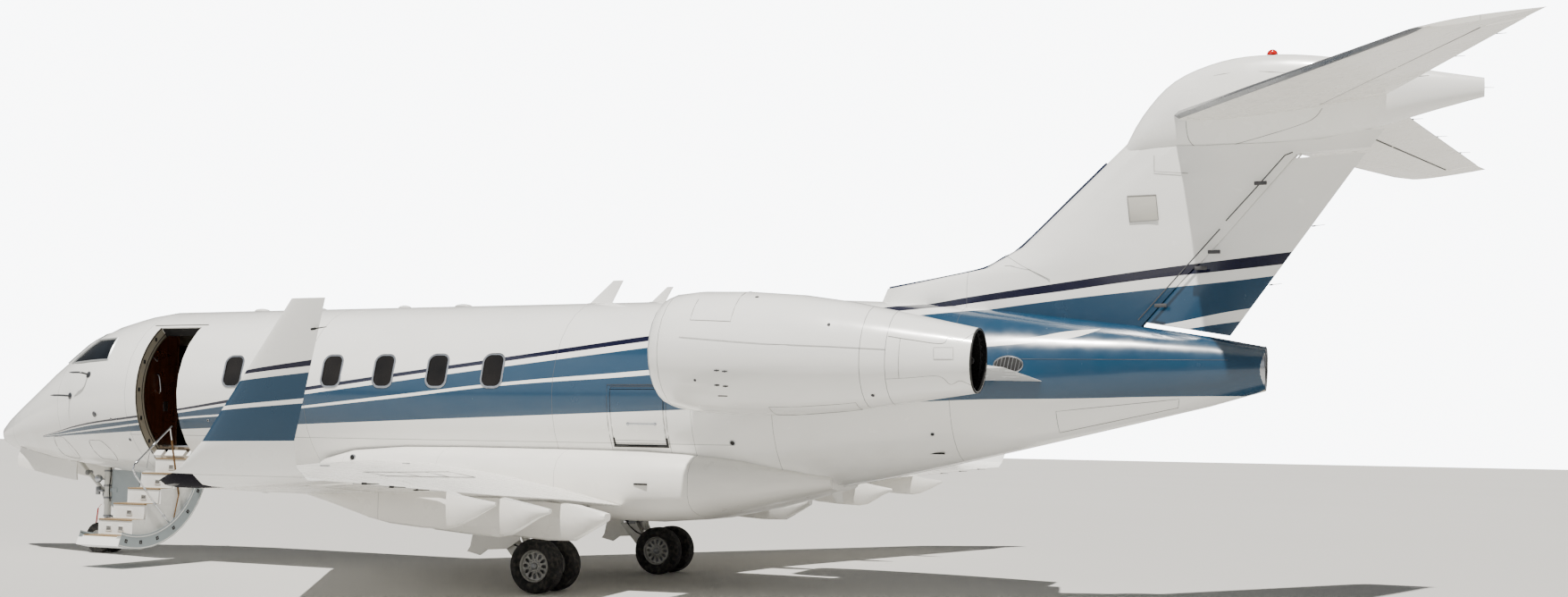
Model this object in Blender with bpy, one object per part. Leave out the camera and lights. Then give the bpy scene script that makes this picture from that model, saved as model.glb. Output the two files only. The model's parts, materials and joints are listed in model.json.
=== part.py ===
"""Business jet with a T-tail, two rear engines, winglets and an open airstair door.

Stations run aft from the nose tip along X, Y is positive to starboard and Z is up from the ground,
all in metres. An empty named aircraft_datum carries every piece and puts the origin under the
middle of the aircraft.
"""
import math

import bmesh
import bpy
from mathutils import Matrix, Vector

# Overall sizes
LENGTH = 20.92
FIT_GAP = 0.0003
DOOR_GAP = 0.008
PORT = -1
STARBOARD = 1

# Fuselage: station, top, bottom, height of the widest point, half width
FUSELAGE_RADIUS = 1.213
FUSELAGE_AXIS_Z = 2.35
FUSELAGE_POINTS = 32
FUSELAGE_STATIONS = (
    (0.00, 1.750, 1.690, 1.720, 0.035),
    (0.10, 1.880, 1.590, 1.757, 0.136),
    (0.30, 2.023, 1.519, 1.792, 0.251),
    (0.62, 2.213, 1.451, 1.860, 0.406),
    (0.94, 2.406, 1.400, 1.950, 0.529),
    (1.29, 2.625, 1.348, 2.050, 0.654),
    (1.60, 2.838, 1.312, 2.130, 0.752),
    (1.92, 3.037, 1.282, 2.200, 0.841),
    (2.29, 3.255, 1.246, 2.260, 0.965),
    (2.72, 3.408, 1.211, 2.310, 1.069),
    (3.15, 3.504, 1.180, 2.335, 1.146),
    (3.64, 3.563, 1.137, 2.350, 1.213),
    (6.72, 3.563, 1.137, 2.350, 1.213),
    (10.45, 3.563, 1.137, 2.350, 1.213),
    (12.30, 3.563, 1.137, 2.350, 1.213),
    (13.30, 3.555, 1.200, 2.370, 1.175),
    (14.40, 3.500, 1.410, 2.430, 1.030),
    (15.15, 3.435, 1.580, 2.490, 0.905),
    (15.90, 3.350, 1.760, 2.560, 0.760),
    (17.20, 3.180, 2.080, 2.650, 0.490),
    (18.00, 3.045, 2.280, 2.680, 0.330),
    (18.57, 2.930, 2.450, 2.700, 0.220),
)
RADOME_END = 0.62
COCKPIT_END = 3.64
FORWARD_CABIN_END = 6.72
CENTRE_CABIN_END = 10.45
AFT_CABIN_END = 13.30
TAIL_END = 18.57
COCKPIT_WALL = 0.060
CABIN_WALL = 0.100
TAIL_WALL = 0.040

# Cabin windows
WINDOW_FIRST_X = 5.503
WINDOW_PITCH = 0.815
WINDOW_COUNT = 6
WINDOW_Z = 2.639
WINDOW_WIDTH = 0.290
WINDOW_HEIGHT = 0.420
WINDOW_CORNER = 0.100
PANE_DEPTH = 0.012
LINING_DEPTH = 0.015

# Airstair door, hinged on gooseneck arms below its sill
DOOR_X0 = 3.840
DOOR_X1 = 4.565
DOOR_LOW_ANGLE = -45.3
DOOR_LOW_INNER_ANGLE = -43.9
DOOR_HIGH_ANGLE = 49.7
DOOR_OPEN_ANGLE = 121.6
DOOR_HINGE_Y = -0.631
DOOR_HINGE_Z = 1.413
DOOR_SEGMENTS = 10
HINGE_SWEEP_RADIUS = 0.240
STAIR_X0 = 3.910
STAIR_X1 = 4.500
TREAD_COUNT = 6
FIRST_TREAD = (-0.871, 1.440)
TREAD_STEP = (-0.2420, -0.2020)
HINGE_ARM_X = (4.010, 4.400)
HINGE_ARM_WIDTH = 0.050
HANDRAIL_X = 4.530
HANDRAIL_RADIUS = 0.012

# Baggage door on the port side
BAGGAGE_X0 = 11.245
BAGGAGE_X1 = 11.945
BAGGAGE_LOW_ANGLE = -28.2
BAGGAGE_HIGH_ANGLE = 2.4
BAGGAGE_HINGE_Y = -1.202
BAGGAGE_HINGE_Z = 2.381

# Floor and furniture
FLOOR_TOP = 1.620
FLOOR_DEPTH = 0.050
FLOOR_HALF_WIDTH = 0.770
COCKPIT_FLOOR_HALF_WIDTH = 0.560
FLOOR_BEAMS = (3.85, 5.40, 7.40, 9.40, 11.40)
STAIRWELL_EDGE_Y = -0.300
STAIRWELL_X0 = 3.780
STAIRWELL_X1 = 4.640
BAGGAGE_FLOOR_X0 = 9.900
BAGGAGE_FLOOR_RISE = 0.020

# Belly fairing: station, bottom, top, half width
FAIRING_STATIONS = (
    (6.50, 1.160, 1.440, 0.560),
    (6.90, 1.070, 1.560, 1.100),
    (7.40, 0.985, 1.680, 1.270),
    (8.20, 0.905, 1.740, 1.345),
    (9.20, 0.850, 1.750, 1.375),
    (10.60, 0.815, 1.750, 1.380),
    (11.60, 0.810, 1.750, 1.350),
    (12.20, 0.860, 1.730, 1.270),
    (12.80, 0.990, 1.660, 1.100),
    (13.40, 1.150, 1.540, 0.820),
    (13.80, 1.255, 1.450, 0.520),
)
FAIRING_POINTS = 24
FAIRING_POWER = 3.2

# Wing sections: span, leading edge x, trailing edge x, leading edge z, trailing edge z, thickness
WING_SECTIONS = (
    (1.00, 6.805, 11.450, 1.262, 1.010, 0.112),
    (3.04, 8.131, 11.700, 1.312, 1.150, 0.112),
    (5.14, 9.496, 12.270, 1.350, 1.255, 0.108),
    (7.20, 10.835, 12.870, 1.392, 1.365, 0.102),
    (9.10, 12.070, 13.430, 1.440, 1.475, 0.095),
)
WING_CAMBER = 0.014
TAIL_HALF_THICKNESS = 0.004
FLAP_FRONTS = ((1.00, 0.835), (3.04, 0.790), (5.14, 0.755), (7.20, 0.745))
FLAP_SPAN = (1.150, 6.520)
AILERON_HINGE = 0.760
AILERON_SPAN = (6.760, 8.640)
AILERON_END_GAP = 0.025
CONTROL_GAP = 0.012
PIN_RADIUS = 0.010
PIN_ROOT = 0.060
PIN_POINTS = 12
PIN_REACH = 0.987

# Jack pad under each wing: station, span and the height of its flat face
JACK_PAD = (9.600, 2.400, 1.040)
JACK_PAD_RADIUS = 0.040

# Flap track fairings: span, half width, rear z, then stations with the keel height and share of the width
TRACK_FAIRINGS = (
    (3.04, 0.125, 1.020, (
        (9.95, 1.060, 0.30), (10.50, 0.850, 0.85), (11.08, 0.743, 1.00), (11.53, 0.714, 1.00),
        (11.87, 0.722, 0.95), (12.00, 0.795, 0.85), (12.15, 0.885, 0.70), (12.235, 0.940, 0.55))),
    (5.14, 0.105, 1.150, (
        (10.85, 1.180, 0.30), (11.20, 1.000, 0.85), (11.55, 0.920, 1.00), (11.91, 0.892, 1.00),
        (12.25, 0.877, 0.95), (12.39, 0.903, 0.85), (12.53, 0.981, 0.70), (12.67, 1.067, 0.50),
        (12.78, 1.110, 0.25))),
    (6.64, 0.085, 1.262, (
        (11.30, 1.285, 0.30), (11.555, 1.209, 0.70), (11.925, 1.103, 0.95), (12.145, 1.060, 1.00),
        (12.455, 1.035, 1.00), (12.675, 1.028, 0.95), (12.805, 1.055, 0.80), (12.975, 1.133, 0.50),
        (13.155, 1.232, 0.15))),
)
TRACK_SINK = 0.050
TRACK_FLAP_GAP = 0.004
TRACK_LEAST_DEPTH = 0.030

# Winglet sections: y, z, leading edge x, trailing edge x, thickness, lean of the section normal
WINGLET_SECTIONS = (
    (9.100, 1.458, 12.070, 13.430, 0.095, 0.0),
    (9.290, 1.478, 12.310, 13.455, 0.085, 18.0),
    (9.430, 1.560, 12.560, 13.480, 0.078, 48.0),
    (9.510, 1.720, 12.800, 13.520, 0.075, 74.0),
    (9.715, 2.585, 13.640, 13.890, 0.075, 76.0),
)

# Fin sections: z, leading edge x, trailing edge x, greatest half thickness
FIN_SECTIONS = (
    (2.95, 14.00, 18.13, 0.150),
    (3.66, 14.30, 18.60, 0.150),
    (3.86, 15.45, 18.76, 0.148),
    (4.10, 15.90, 18.93, 0.145),
    (5.22, 17.08, 19.74, 0.130),
)
RUDDER_LOW = (17.345, 3.205)
RUDDER_HIGH = (18.880, 4.950)
RUDDER_RADIUS = (0.071, 0.066)
RUDDER_TRAIL = ((18.200, 3.052), (19.560, 4.980))
RUDDER_TOP_GAP = 0.070

# Bullet fairing on the fin top: station, bottom, top, half width
BULLET_STATIONS = (
    (17.11, 5.070, 5.290, 0.060),
    (17.25, 5.050, 5.520, 0.130),
    (17.60, 5.050, 5.890, 0.185),
    (18.10, 5.060, 6.075, 0.215),
    (18.60, 5.080, 6.105, 0.220),
    (19.10, 5.130, 6.050, 0.205),
    (19.70, 5.250, 5.920, 0.165),
    (20.25, 5.390, 5.790, 0.110),
    (20.69, 5.490, 5.690, 0.050),
)
BULLET_POINTS = 16

# Stabilizer sections: span, leading edge x, trailing edge x, leading edge z, trailing edge z, thickness
STABILIZER_SECTIONS = (
    (0.00, 17.480, 19.720, 5.480, 5.560, 0.095),
    (0.20, 17.620, 19.770, 5.470, 5.550, 0.095),
    (3.42, 19.850, 20.830, 5.315, 5.385, 0.085),
    (3.62, 20.060, 20.920, 5.306, 5.380, 0.060),
)
ELEVATOR_HINGE = 0.690
ELEVATOR_SPAN = (0.330, 3.330)
ELEVATOR_END_GAP = 0.020

# Engines
NACELLE_Y = 2.000
NACELLE_INLET = (12.410, 2.800)
NACELLE_EXHAUST = (15.920, 2.670)
NACELLE_OUTER = (
    (0.000, 0.545), (0.035, 0.585), (0.150, 0.632), (0.420, 0.667), (0.950, 0.673),
    (1.600, 0.645), (2.150, 0.580), (2.750, 0.475), (3.200, 0.390), (3.512, 0.332),
)
NACELLE_INNER = (
    (3.512, 0.318), (2.900, 0.385), (2.200, 0.430), (1.100, 0.445), (0.330, 0.440), (0.050, 0.505),
)
NACELLE_POINTS = 24
NACELLE_CUT_END = 4.200
FAN_FACE = 0.640
FAN_BLADES = 14
FAN_TIP = 0.430
FAN_HUB = 0.140
FAN_DEPTH = 0.130
PYLON_SECTIONS = (
    (0.60, 13.05, 16.30, 2.790, 2.520, 0.145),
    (1.90, 13.30, 16.05, 2.780, 2.640, 0.120),
)

# Landing gear
WHEEL_POINTS = 24
MAIN_AXLE = (10.650, 1.590, 0.320)
MAIN_TYRE_RADIUS = 0.320
MAIN_TYRE_WIDTH = 0.190
MAIN_WHEEL_OFFSET = 0.200
MAIN_SLEEVE_RADIUS = 0.050
MAIN_POST_X = 10.140
MAIN_POST_LOW = 0.620
WELL_X0 = 9.820
WELL_X1 = 11.050
WELL_Y0 = 0.450
WELL_Y1 = 1.340
LEG_SLOT_X1 = 10.600
LEG_SLOT_Y1 = 1.830
WELL_ROOF = 1.100
NOSE_WHEEL_POINTS = 20
NOSE_AXLE = (2.150, 0.0, 0.225)
NOSE_TYRE_RADIUS = 0.225
NOSE_TYRE_WIDTH = 0.130
NOSE_WHEEL_OFFSET = 0.125
NOSE_BAY_X0 = 0.640
NOSE_BAY_X1 = 2.620
NOSE_BAY_HALF_WIDTH = 0.280
NOSE_BAY_ROOF = 1.600
NOSE_BAY_WALL = 0.020
NOSE_DOOR_X0 = 0.652
NOSE_DOOR_X1 = 1.800
NOSE_DOOR_MIDDLE_Y = 0.140
NOSE_DOOR_DEPTH = 0.022
NOSE_DOOR_OPEN_ANGLE = 78.0
NOSE_COLLAR_LOW = 0.640
NOSE_COLLAR_HIGH = 0.720


def clear_scene():
    """Remove every object of the start-up scene."""
    for existing in list(bpy.data.objects):
        bpy.data.objects.remove(existing, do_unlink=True)


def make_material(name, colour, roughness, metallic=0.0):
    """A Principled material with one colour."""
    material = bpy.data.materials.new(name)
    material.use_nodes = True
    shader = material.node_tree.nodes["Principled BSDF"]
    shader.inputs["Base Color"].default_value = (*colour, 1.0)
    shader.inputs["Roughness"].default_value = roughness
    shader.inputs["Metallic"].default_value = metallic
    return material


clear_scene()

DATUM = bpy.data.objects.new("aircraft_datum", None)
bpy.context.collection.objects.link(DATUM)
DATUM.location = (-LENGTH / 2, 0.0, 0.0)

WHITE_PAINT = make_material("white_paint", (0.80, 0.79, 0.76), 0.25)
COMPOSITE_PAINT = make_material("composite_paint", (0.80, 0.79, 0.76), 0.28)
BELLY_PAINT = make_material("belly_paint", (0.62, 0.60, 0.56), 0.30)
RADOME_PAINT = make_material("radome_paint", (0.78, 0.77, 0.74), 0.30)
BARE_METAL = make_material("bare_metal", (0.62, 0.63, 0.65), 0.25, 1.0)
GEAR_METAL = make_material("gear_metal", (0.55, 0.56, 0.57), 0.40, 0.9)
ENGINE_METAL = make_material("engine_metal", (0.22, 0.21, 0.20), 0.45, 0.9)
TYRE_RUBBER = make_material("tyre_rubber", (0.03, 0.03, 0.03), 0.80)
DARK_GLASS = make_material("dark_glass", (0.05, 0.06, 0.07), 0.08)
CARPET = make_material("carpet", (0.30, 0.26, 0.22), 0.95)
CABIN_WOOD = make_material("cabin_wood", (0.12, 0.05, 0.03), 0.35)
SEAT_LEATHER = make_material("seat_leather", (0.55, 0.46, 0.36), 0.55)
PANEL_GREY = make_material("panel_grey", (0.10, 0.10, 0.11), 0.60)
STEP_PAINT = make_material("step_paint", (0.75, 0.74, 0.71), 0.45)


def build_mesh(name, points, faces):
    """A closed mesh with merged doubles and faces pointing out."""
    mesh = bpy.data.meshes.new(name)
    mesh.from_pydata([tuple(point) for point in points], [], faces)
    shape = bmesh.new()
    shape.from_mesh(mesh)
    bmesh.ops.remove_doubles(shape, verts=shape.verts, dist=0.00002)
    bmesh.ops.dissolve_degenerate(shape, edges=shape.edges, dist=0.00001)
    bmesh.ops.recalc_face_normals(shape, faces=shape.faces)
    if shape.calc_volume(signed=True) < 0:
        bmesh.ops.reverse_faces(shape, faces=shape.faces)
    shape.to_mesh(mesh)
    shape.free()
    mesh.shade_smooth()
    mesh.set_sharp_from_angle(angle=math.radians(35))
    return mesh


def place(name, mesh, material, origin=(0.0, 0.0, 0.0)):
    """An object on the aircraft datum whose origin is at the given station point."""
    mesh.transform(Matrix.Translation(-Vector(origin)))
    mesh.materials.clear()
    mesh.materials.append(material)
    piece = bpy.data.objects.new(name, mesh)
    bpy.context.collection.objects.link(piece)
    piece.parent = DATUM
    piece.location = origin
    return piece


def hide_tool(tool):
    """Mark a cutter or an added shape as a tool that isn't part of the model."""
    tool.hide_render = True
    tool.display_type = "WIRE"
    return tool


def make_tool(name, mesh, origin=(0.0, 0.0, 0.0)):
    """A hidden shape for a Boolean modifier."""
    return hide_tool(place(name, mesh, PANEL_GREY, origin))


def combine(piece, tool, operation="DIFFERENCE"):
    """Cut, join or keep a piece by a tool with an exact Boolean."""
    modifier = piece.modifiers.new(f"{operation.lower()}_{tool.name}", "BOOLEAN")
    modifier.operation = operation
    modifier.solver = "EXACT"
    modifier.object = tool


def loft(rings, cap_start=True, cap_end=True, close_path=False):
    """Points and triangles of a skin through closed rings of equal point counts."""
    count = len(rings[0])
    points = [point for ring in rings for point in ring]
    faces = []
    last = len(rings) if close_path else len(rings) - 1
    for index in range(last):
        near = index * count
        far = ((index + 1) % len(rings)) * count
        for step in range(count):
            following = (step + 1) % count
            faces.append((near + step, near + following, far + following))
            faces.append((near + step, far + following, far + step))
    if cap_start and not close_path:
        faces.append(tuple(range(count)))
    if cap_end and not close_path:
        start = (len(rings) - 1) * count
        faces.append(tuple(range(start, start + count)))
    return points, faces


def loft_mesh(name, rings, **options):
    """A closed mesh lofted through rings."""
    points, faces = loft(rings, **options)
    return build_mesh(name, points, faces)


def shell_mesh(name, outer_rings, inner_rings):
    """A tube with a wall: the outer rings forward, the inner rings back, and ring-shaped ends."""
    return loft_mesh(name, list(outer_rings) + list(reversed(inner_rings)), close_path=True)


def box_mesh(name, low, high):
    """A box between two corners."""
    ring_low = [(low[0], low[1], low[2]), (high[0], low[1], low[2]),
                (high[0], high[1], low[2]), (low[0], high[1], low[2])]
    ring_high = [(x, y, high[2]) for x, y, _ in ring_low]
    return loft_mesh(name, [ring_low, ring_high])


def circle_ring(centre, radius, axis, count, phase=0.0):
    """Points of a circle about a centre, square to an axis direction."""
    axis = Vector(axis).normalized()
    helper = Vector((0, 0, 1)) if abs(axis.z) < 0.9 else Vector((1, 0, 0))
    side = axis.cross(helper).normalized()
    up = side.cross(axis)
    ring = []
    for step in range(count):
        angle = phase + 2 * math.pi * step / count
        ring.append(Vector(centre) + radius * (math.cos(angle) * side + math.sin(angle) * up))
    return ring


def rod_mesh(name, start, end, radius, count=16, end_radius=None):
    """A round rod between two points."""
    start = Vector(start)
    end = Vector(end)
    axis = end - start
    far_radius = radius if end_radius is None else end_radius
    return loft_mesh(name, [circle_ring(start, radius, axis, count),
                            circle_ring(end, far_radius, axis, count)])


def tube_path_mesh(name, points, radius, count=8):
    """A round bar through a list of points, mitred at each bend."""
    path = [Vector(point) for point in points]
    rings = []
    for index, point in enumerate(path):
        before = (point - path[index - 1]).normalized() if index else None
        after = (path[index + 1] - point).normalized() if index < len(path) - 1 else None
        direction = (before or after) if before is None or after is None else (before + after).normalized()
        side = Vector((1, 0, 0))
        up = direction.cross(side).normalized()
        stretch = 1.0
        if before is not None and after is not None:
            stretch = 1.0 / max(math.cos(before.angle(after) / 2), 0.5)
        ring = []
        for step in range(count):
            angle = 2 * math.pi * (step + 0.5) / count
            ring.append(point + radius * (math.cos(angle) * side + math.sin(angle) * stretch * up))
        rings.append(ring)
    return loft_mesh(name, rings)


def lathe_mesh(name, profile, count, centre, axis, closed=False):
    """A turned shape: profile pairs of distance along the axis and radius."""
    axis = Vector(axis).normalized()
    rings = [circle_ring(Vector(centre) + along * axis, max(radius, 0.000001), axis, count)
             for along, radius in profile]
    return loft_mesh(name, rings, cap_start=not closed, cap_end=not closed, close_path=closed)


def prism_mesh(name, outline, offset, depth):
    """A flat outline of points moved by offset and extruded by the vector depth."""
    near = [Vector(point) + Vector(offset) for point in outline]
    far = [point + Vector(depth) for point in near]
    return loft_mesh(name, [near, far])


def fuselage_row(station):
    """The fuselage sizes at a station, straight between the listed stations."""
    for before, after in zip(FUSELAGE_STATIONS, FUSELAGE_STATIONS[1:]):
        if before[0] <= station <= after[0]:
            share = (station - before[0]) / (after[0] - before[0])
            return tuple(a + share * (b - a) for a, b in zip(before, after))
    return FUSELAGE_STATIONS[-1]


def fuselage_ring(station, grow=0.0, at=None):
    """One cross-section of the fuselage, grown outwards by a distance."""
    _, top, bottom, middle, half_width = fuselage_row(station)
    ring = []
    for step in range(FUSELAGE_POINTS):
        angle = 2 * math.pi * step / FUSELAGE_POINTS
        height = (top - middle) if math.cos(angle) > 0 else (middle - bottom)
        y = (half_width + grow) * math.sin(angle)
        z = middle + (height + grow) * math.cos(angle)
        ring.append((station if at is None else at, y, z))
    return ring


def stations_between(start, end):
    """The listed fuselage stations from start to end, both included."""
    return [row[0] for row in FUSELAGE_STATIONS if start <= row[0] <= end]


def barrel_rings(start, end, grow, every=1):
    """Fuselage cross-sections of one barrel, pulled in by half the fit gap at its two ends."""
    rings = []
    listed = stations_between(start, end)
    for station in listed[:-1:every] + listed[-1:]:
        shift = FIT_GAP / 2 * ((station == start) - (station == end))
        rings.append(fuselage_ring(station, grow, station + shift))
    return rings


def fuselage_solid(name, grow):
    """The whole fuselage as a solid tool, grown by a distance."""
    rings = [fuselage_ring(row[0], grow) for row in FUSELAGE_STATIONS[1:]]
    return make_tool(name, loft_mesh(name, rings))


def superellipse_ring(station, bottom, top, half_width, power, count, grow=0.0):
    """A rounded box-like cross-section."""
    middle = (top + bottom) / 2
    half_height = (top - bottom) / 2 + grow
    ring = []
    for step in range(count):
        angle = 2 * math.pi * (step + 0.5) / count
        across = math.sin(angle)
        upward = math.cos(angle)
        y = (half_width + grow) * math.copysign(abs(across) ** (2 / power), across)
        z = middle + half_height * math.copysign(abs(upward) ** (2 / power), upward)
        ring.append((station, y, z))
    return ring


def skin_point(angle_degrees, radius, station, side):
    """A point on the round cabin section, by its angle above the widest point."""
    angle = math.radians(angle_degrees)
    return (station, side * radius * math.cos(angle), FUSELAGE_AXIS_Z + radius * math.sin(angle))


def sector_mesh(name, x0, x1, inner, outer, low, high, segments, side, turn=None, low_inner=None):
    """A piece of curved wall between two stations, two radii and two angles."""
    rings = []
    for step in range(segments + 1):
        angle = low + (high - low) * step / segments
        inner_angle = low_inner if step == 0 and low_inner is not None else angle
        rings.append([skin_point(inner_angle, inner, x0, side), skin_point(angle, outer, x0, side),
                      skin_point(angle, outer, x1, side), skin_point(inner_angle, inner, x1, side)])
    if turn is not None:
        rings = [[turn @ Vector(point) for point in ring] for ring in rings]
    return loft_mesh(name, rings)


def turn_about_x(y, z, degrees):
    """The matrix that turns points about a line along X."""
    return (Matrix.Translation((0, y, z)) @ Matrix.Rotation(math.radians(degrees), 4, "X")
            @ Matrix.Translation((0, -y, -z)))


def window_outline(width, height, corner, corner_points=3):
    """A rounded rectangle in local width and height."""
    outline = []
    corners = ((1, 1, 0), (-1, 1, 90), (-1, -1, 180), (1, -1, 270))
    for across, upward, start in corners:
        for step in range(corner_points):
            angle = math.radians(start + 90 * step / (corner_points - 1))
            outline.append((across * (width / 2 - corner) + corner * math.cos(angle),
                            upward * (height / 2 - corner) + corner * math.sin(angle)))
    return outline


def window_plug(name, station, side, inner, outer, shrink):
    """A window-shaped plug square to the cabin wall between two radii."""
    tilt = math.asin((WINDOW_Z - FUSELAGE_AXIS_Z) / FUSELAGE_RADIUS)
    normal = Vector((0, side * math.cos(tilt), math.sin(tilt)))
    upward = Vector((0, -side * math.sin(tilt), math.cos(tilt)))
    centre = Vector((station, 0, FUSELAGE_AXIS_Z))
    outline = window_outline(WINDOW_WIDTH - 2 * shrink, WINDOW_HEIGHT - 2 * shrink, WINDOW_CORNER - shrink)
    near = [centre + inner * normal + across * Vector((1, 0, 0)) + along * upward
            for across, along in outline]
    far = [point + (outer - inner) * normal for point in near]
    return loft_mesh(name, [near, far])


def window_station(index):
    """The centre of one cabin window along the fuselage."""
    return WINDOW_FIRST_X + WINDOW_PITCH * index


def build_radome():
    """The closed nose cone."""
    rings = barrel_rings(0.0, RADOME_END, 0.0)
    place("radome", loft_mesh("radome", rings), RADOME_PAINT)


COCKPIT_PANES = {
    "windshield": ((0.045, 2.905), (0.560, 2.800), (0.520, 3.190), (0.045, 3.290)),
    "side_window": ((2.170, 2.775), (3.140, 2.812), (3.085, 3.130), (2.560, 3.120)),
}


def windshield_outline(side, shrink):
    """The windshield seen from ahead, in y and z."""
    corners = [Vector((0, side * y, z)) for y, z in COCKPIT_PANES["windshield"]]
    return shrink_outline(corners, shrink)


def side_window_outline(shrink):
    """The side window seen from the side, in x and z."""
    corners = [Vector((x, 0, z)) for x, z in COCKPIT_PANES["side_window"]]
    return shrink_outline(corners, shrink)


def shrink_outline(corners, shrink):
    """Corners moved towards their centre by a distance."""
    centre = sum(corners, Vector()) / len(corners)
    return [corner - (corner - centre).normalized() * shrink for corner in corners]


def windshield_prism(name, side, shrink):
    """The block that cuts or bounds one windshield."""
    return prism_mesh(name, windshield_outline(side, shrink), (1.35, 0, 0), (1.30, 0, 0))


def side_window_prism(name, side, shrink):
    """The block that cuts or bounds one side window."""
    return prism_mesh(name, side_window_outline(shrink), (0, side * 0.56, 0), (0, side * 0.80, 0))


def build_cockpit_shell():
    """The fuselage from the radome to the cabin, with its windows and the nose gear bay open."""
    outer = barrel_rings(RADOME_END, COCKPIT_END, 0.0)
    inner = barrel_rings(RADOME_END, COCKPIT_END, -COCKPIT_WALL, 2)
    shell = place("cockpit_shell", shell_mesh("cockpit_shell", outer, inner), WHITE_PAINT)
    for side, label in ((PORT, "port"), (STARBOARD, "starboard")):
        for kind, prism in (("windshield", windshield_prism), ("side_window", side_window_prism)):
            cutter = make_tool(f"cut_{kind}_{label}", prism(f"cut_{kind}_{label}", side, 0.0))
            combine(shell, cutter)
            glass = shell_mesh(f"{kind}_{label}", barrel_rings(RADOME_END, COCKPIT_END, -0.004),
                               barrel_rings(RADOME_END, COCKPIT_END, -0.030))
            pane = place(f"{kind}_{label}", glass, DARK_GLASS)
            bounds = make_tool(f"bound_{kind}_{label}", prism(f"bound_{kind}_{label}", side, 0.0006))
            combine(pane, bounds, "INTERSECT")
    bay_cut = box_mesh("cut_nose_bay", (NOSE_BAY_X0, -NOSE_BAY_HALF_WIDTH, 0.9),
                       (NOSE_BAY_X1, NOSE_BAY_HALF_WIDTH, NOSE_BAY_ROOF))
    combine(shell, make_tool("cut_nose_bay", bay_cut))


def build_nose_bay():
    """The open-bottomed box that holds the nose leg."""
    roof = NOSE_BAY_ROOF - FIT_GAP
    half = NOSE_BAY_HALF_WIDTH - FIT_GAP
    bay = place("nose_gear_bay", box_mesh("nose_gear_bay", (NOSE_BAY_X0 + FIT_GAP, -half, 1.0),
                                         (NOSE_BAY_X1 - FIT_GAP, half, roof)), GEAR_METAL)
    hollow = box_mesh("cut_bay_hollow", (NOSE_BAY_X0 + NOSE_BAY_WALL, -half + NOSE_BAY_WALL, 0.8),
                      (NOSE_BAY_X1 - NOSE_BAY_WALL, half - NOSE_BAY_WALL, roof - NOSE_BAY_WALL))
    combine(bay, make_tool("cut_bay_hollow", hollow))
    combine(bay, BAY_LINE, "INTERSECT")


def add_window_cuts(shell, start, end):
    """Cut the cabin windows that lie between two stations."""
    for index in range(WINDOW_COUNT):
        station = window_station(index)
        if start < station < end:
            for side, label in ((PORT, "port"), (STARBOARD, "starboard")):
                name = f"cut_window_{label}_{index}"
                combine(shell, make_tool(name, window_plug(name, station, side, 0.95, 1.35, 0.0)))


def build_cabin_shells():
    """Three round barrels with the cabin windows, the airstair opening and the baggage opening."""
    spans = (("forward_cabin_shell", COCKPIT_END, FORWARD_CABIN_END),
             ("centre_cabin_shell", FORWARD_CABIN_END, CENTRE_CABIN_END),
             ("aft_cabin_shell", CENTRE_CABIN_END, AFT_CABIN_END))
    shells = {}
    for name, start, end in spans:
        mesh = shell_mesh(name, barrel_rings(start, end, 0.0), barrel_rings(start, end, -CABIN_WALL))
        shells[name] = place(name, mesh, WHITE_PAINT)
        add_window_cuts(shells[name], start, end)
    gap_angle = math.degrees(DOOR_GAP / FUSELAGE_RADIUS)
    doorway = sector_mesh("cut_doorway", DOOR_X0 - DOOR_GAP, DOOR_X1 + DOOR_GAP, 1.00, 1.35,
                          DOOR_LOW_ANGLE - gap_angle, DOOR_HIGH_ANGLE + gap_angle, DOOR_SEGMENTS, PORT)
    combine(shells["forward_cabin_shell"], make_tool("cut_doorway", doorway))
    for index, arm_x in enumerate(HINGE_ARM_X):
        name = f"cut_hinge_slot_{index}"
        half = HINGE_ARM_WIDTH / 2 + DOOR_GAP
        slot = sector_mesh(name, arm_x - half, arm_x + half, 1.00, 1.35, DOOR_LOW_ANGLE - 18.0,
                           DOOR_LOW_ANGLE + 2.0, 2, PORT)
        combine(shells["forward_cabin_shell"], make_tool(name, slot))
    hatch = sector_mesh("cut_baggage", BAGGAGE_X0 - DOOR_GAP, BAGGAGE_X1 + DOOR_GAP, 1.00, 1.35,
                        BAGGAGE_LOW_ANGLE - gap_angle, BAGGAGE_HIGH_ANGLE + gap_angle, 6, PORT)
    combine(shells["aft_cabin_shell"], make_tool("cut_baggage", hatch))


def build_tail_shell():
    """The tapering tail, open at both ends."""
    rings = barrel_rings(AFT_CABIN_END, TAIL_END, 0.0)
    inner = barrel_rings(AFT_CABIN_END, TAIL_END, -TAIL_WALL, 2)
    place("tail_shell", shell_mesh("tail_shell", rings, inner), WHITE_PAINT)


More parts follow.
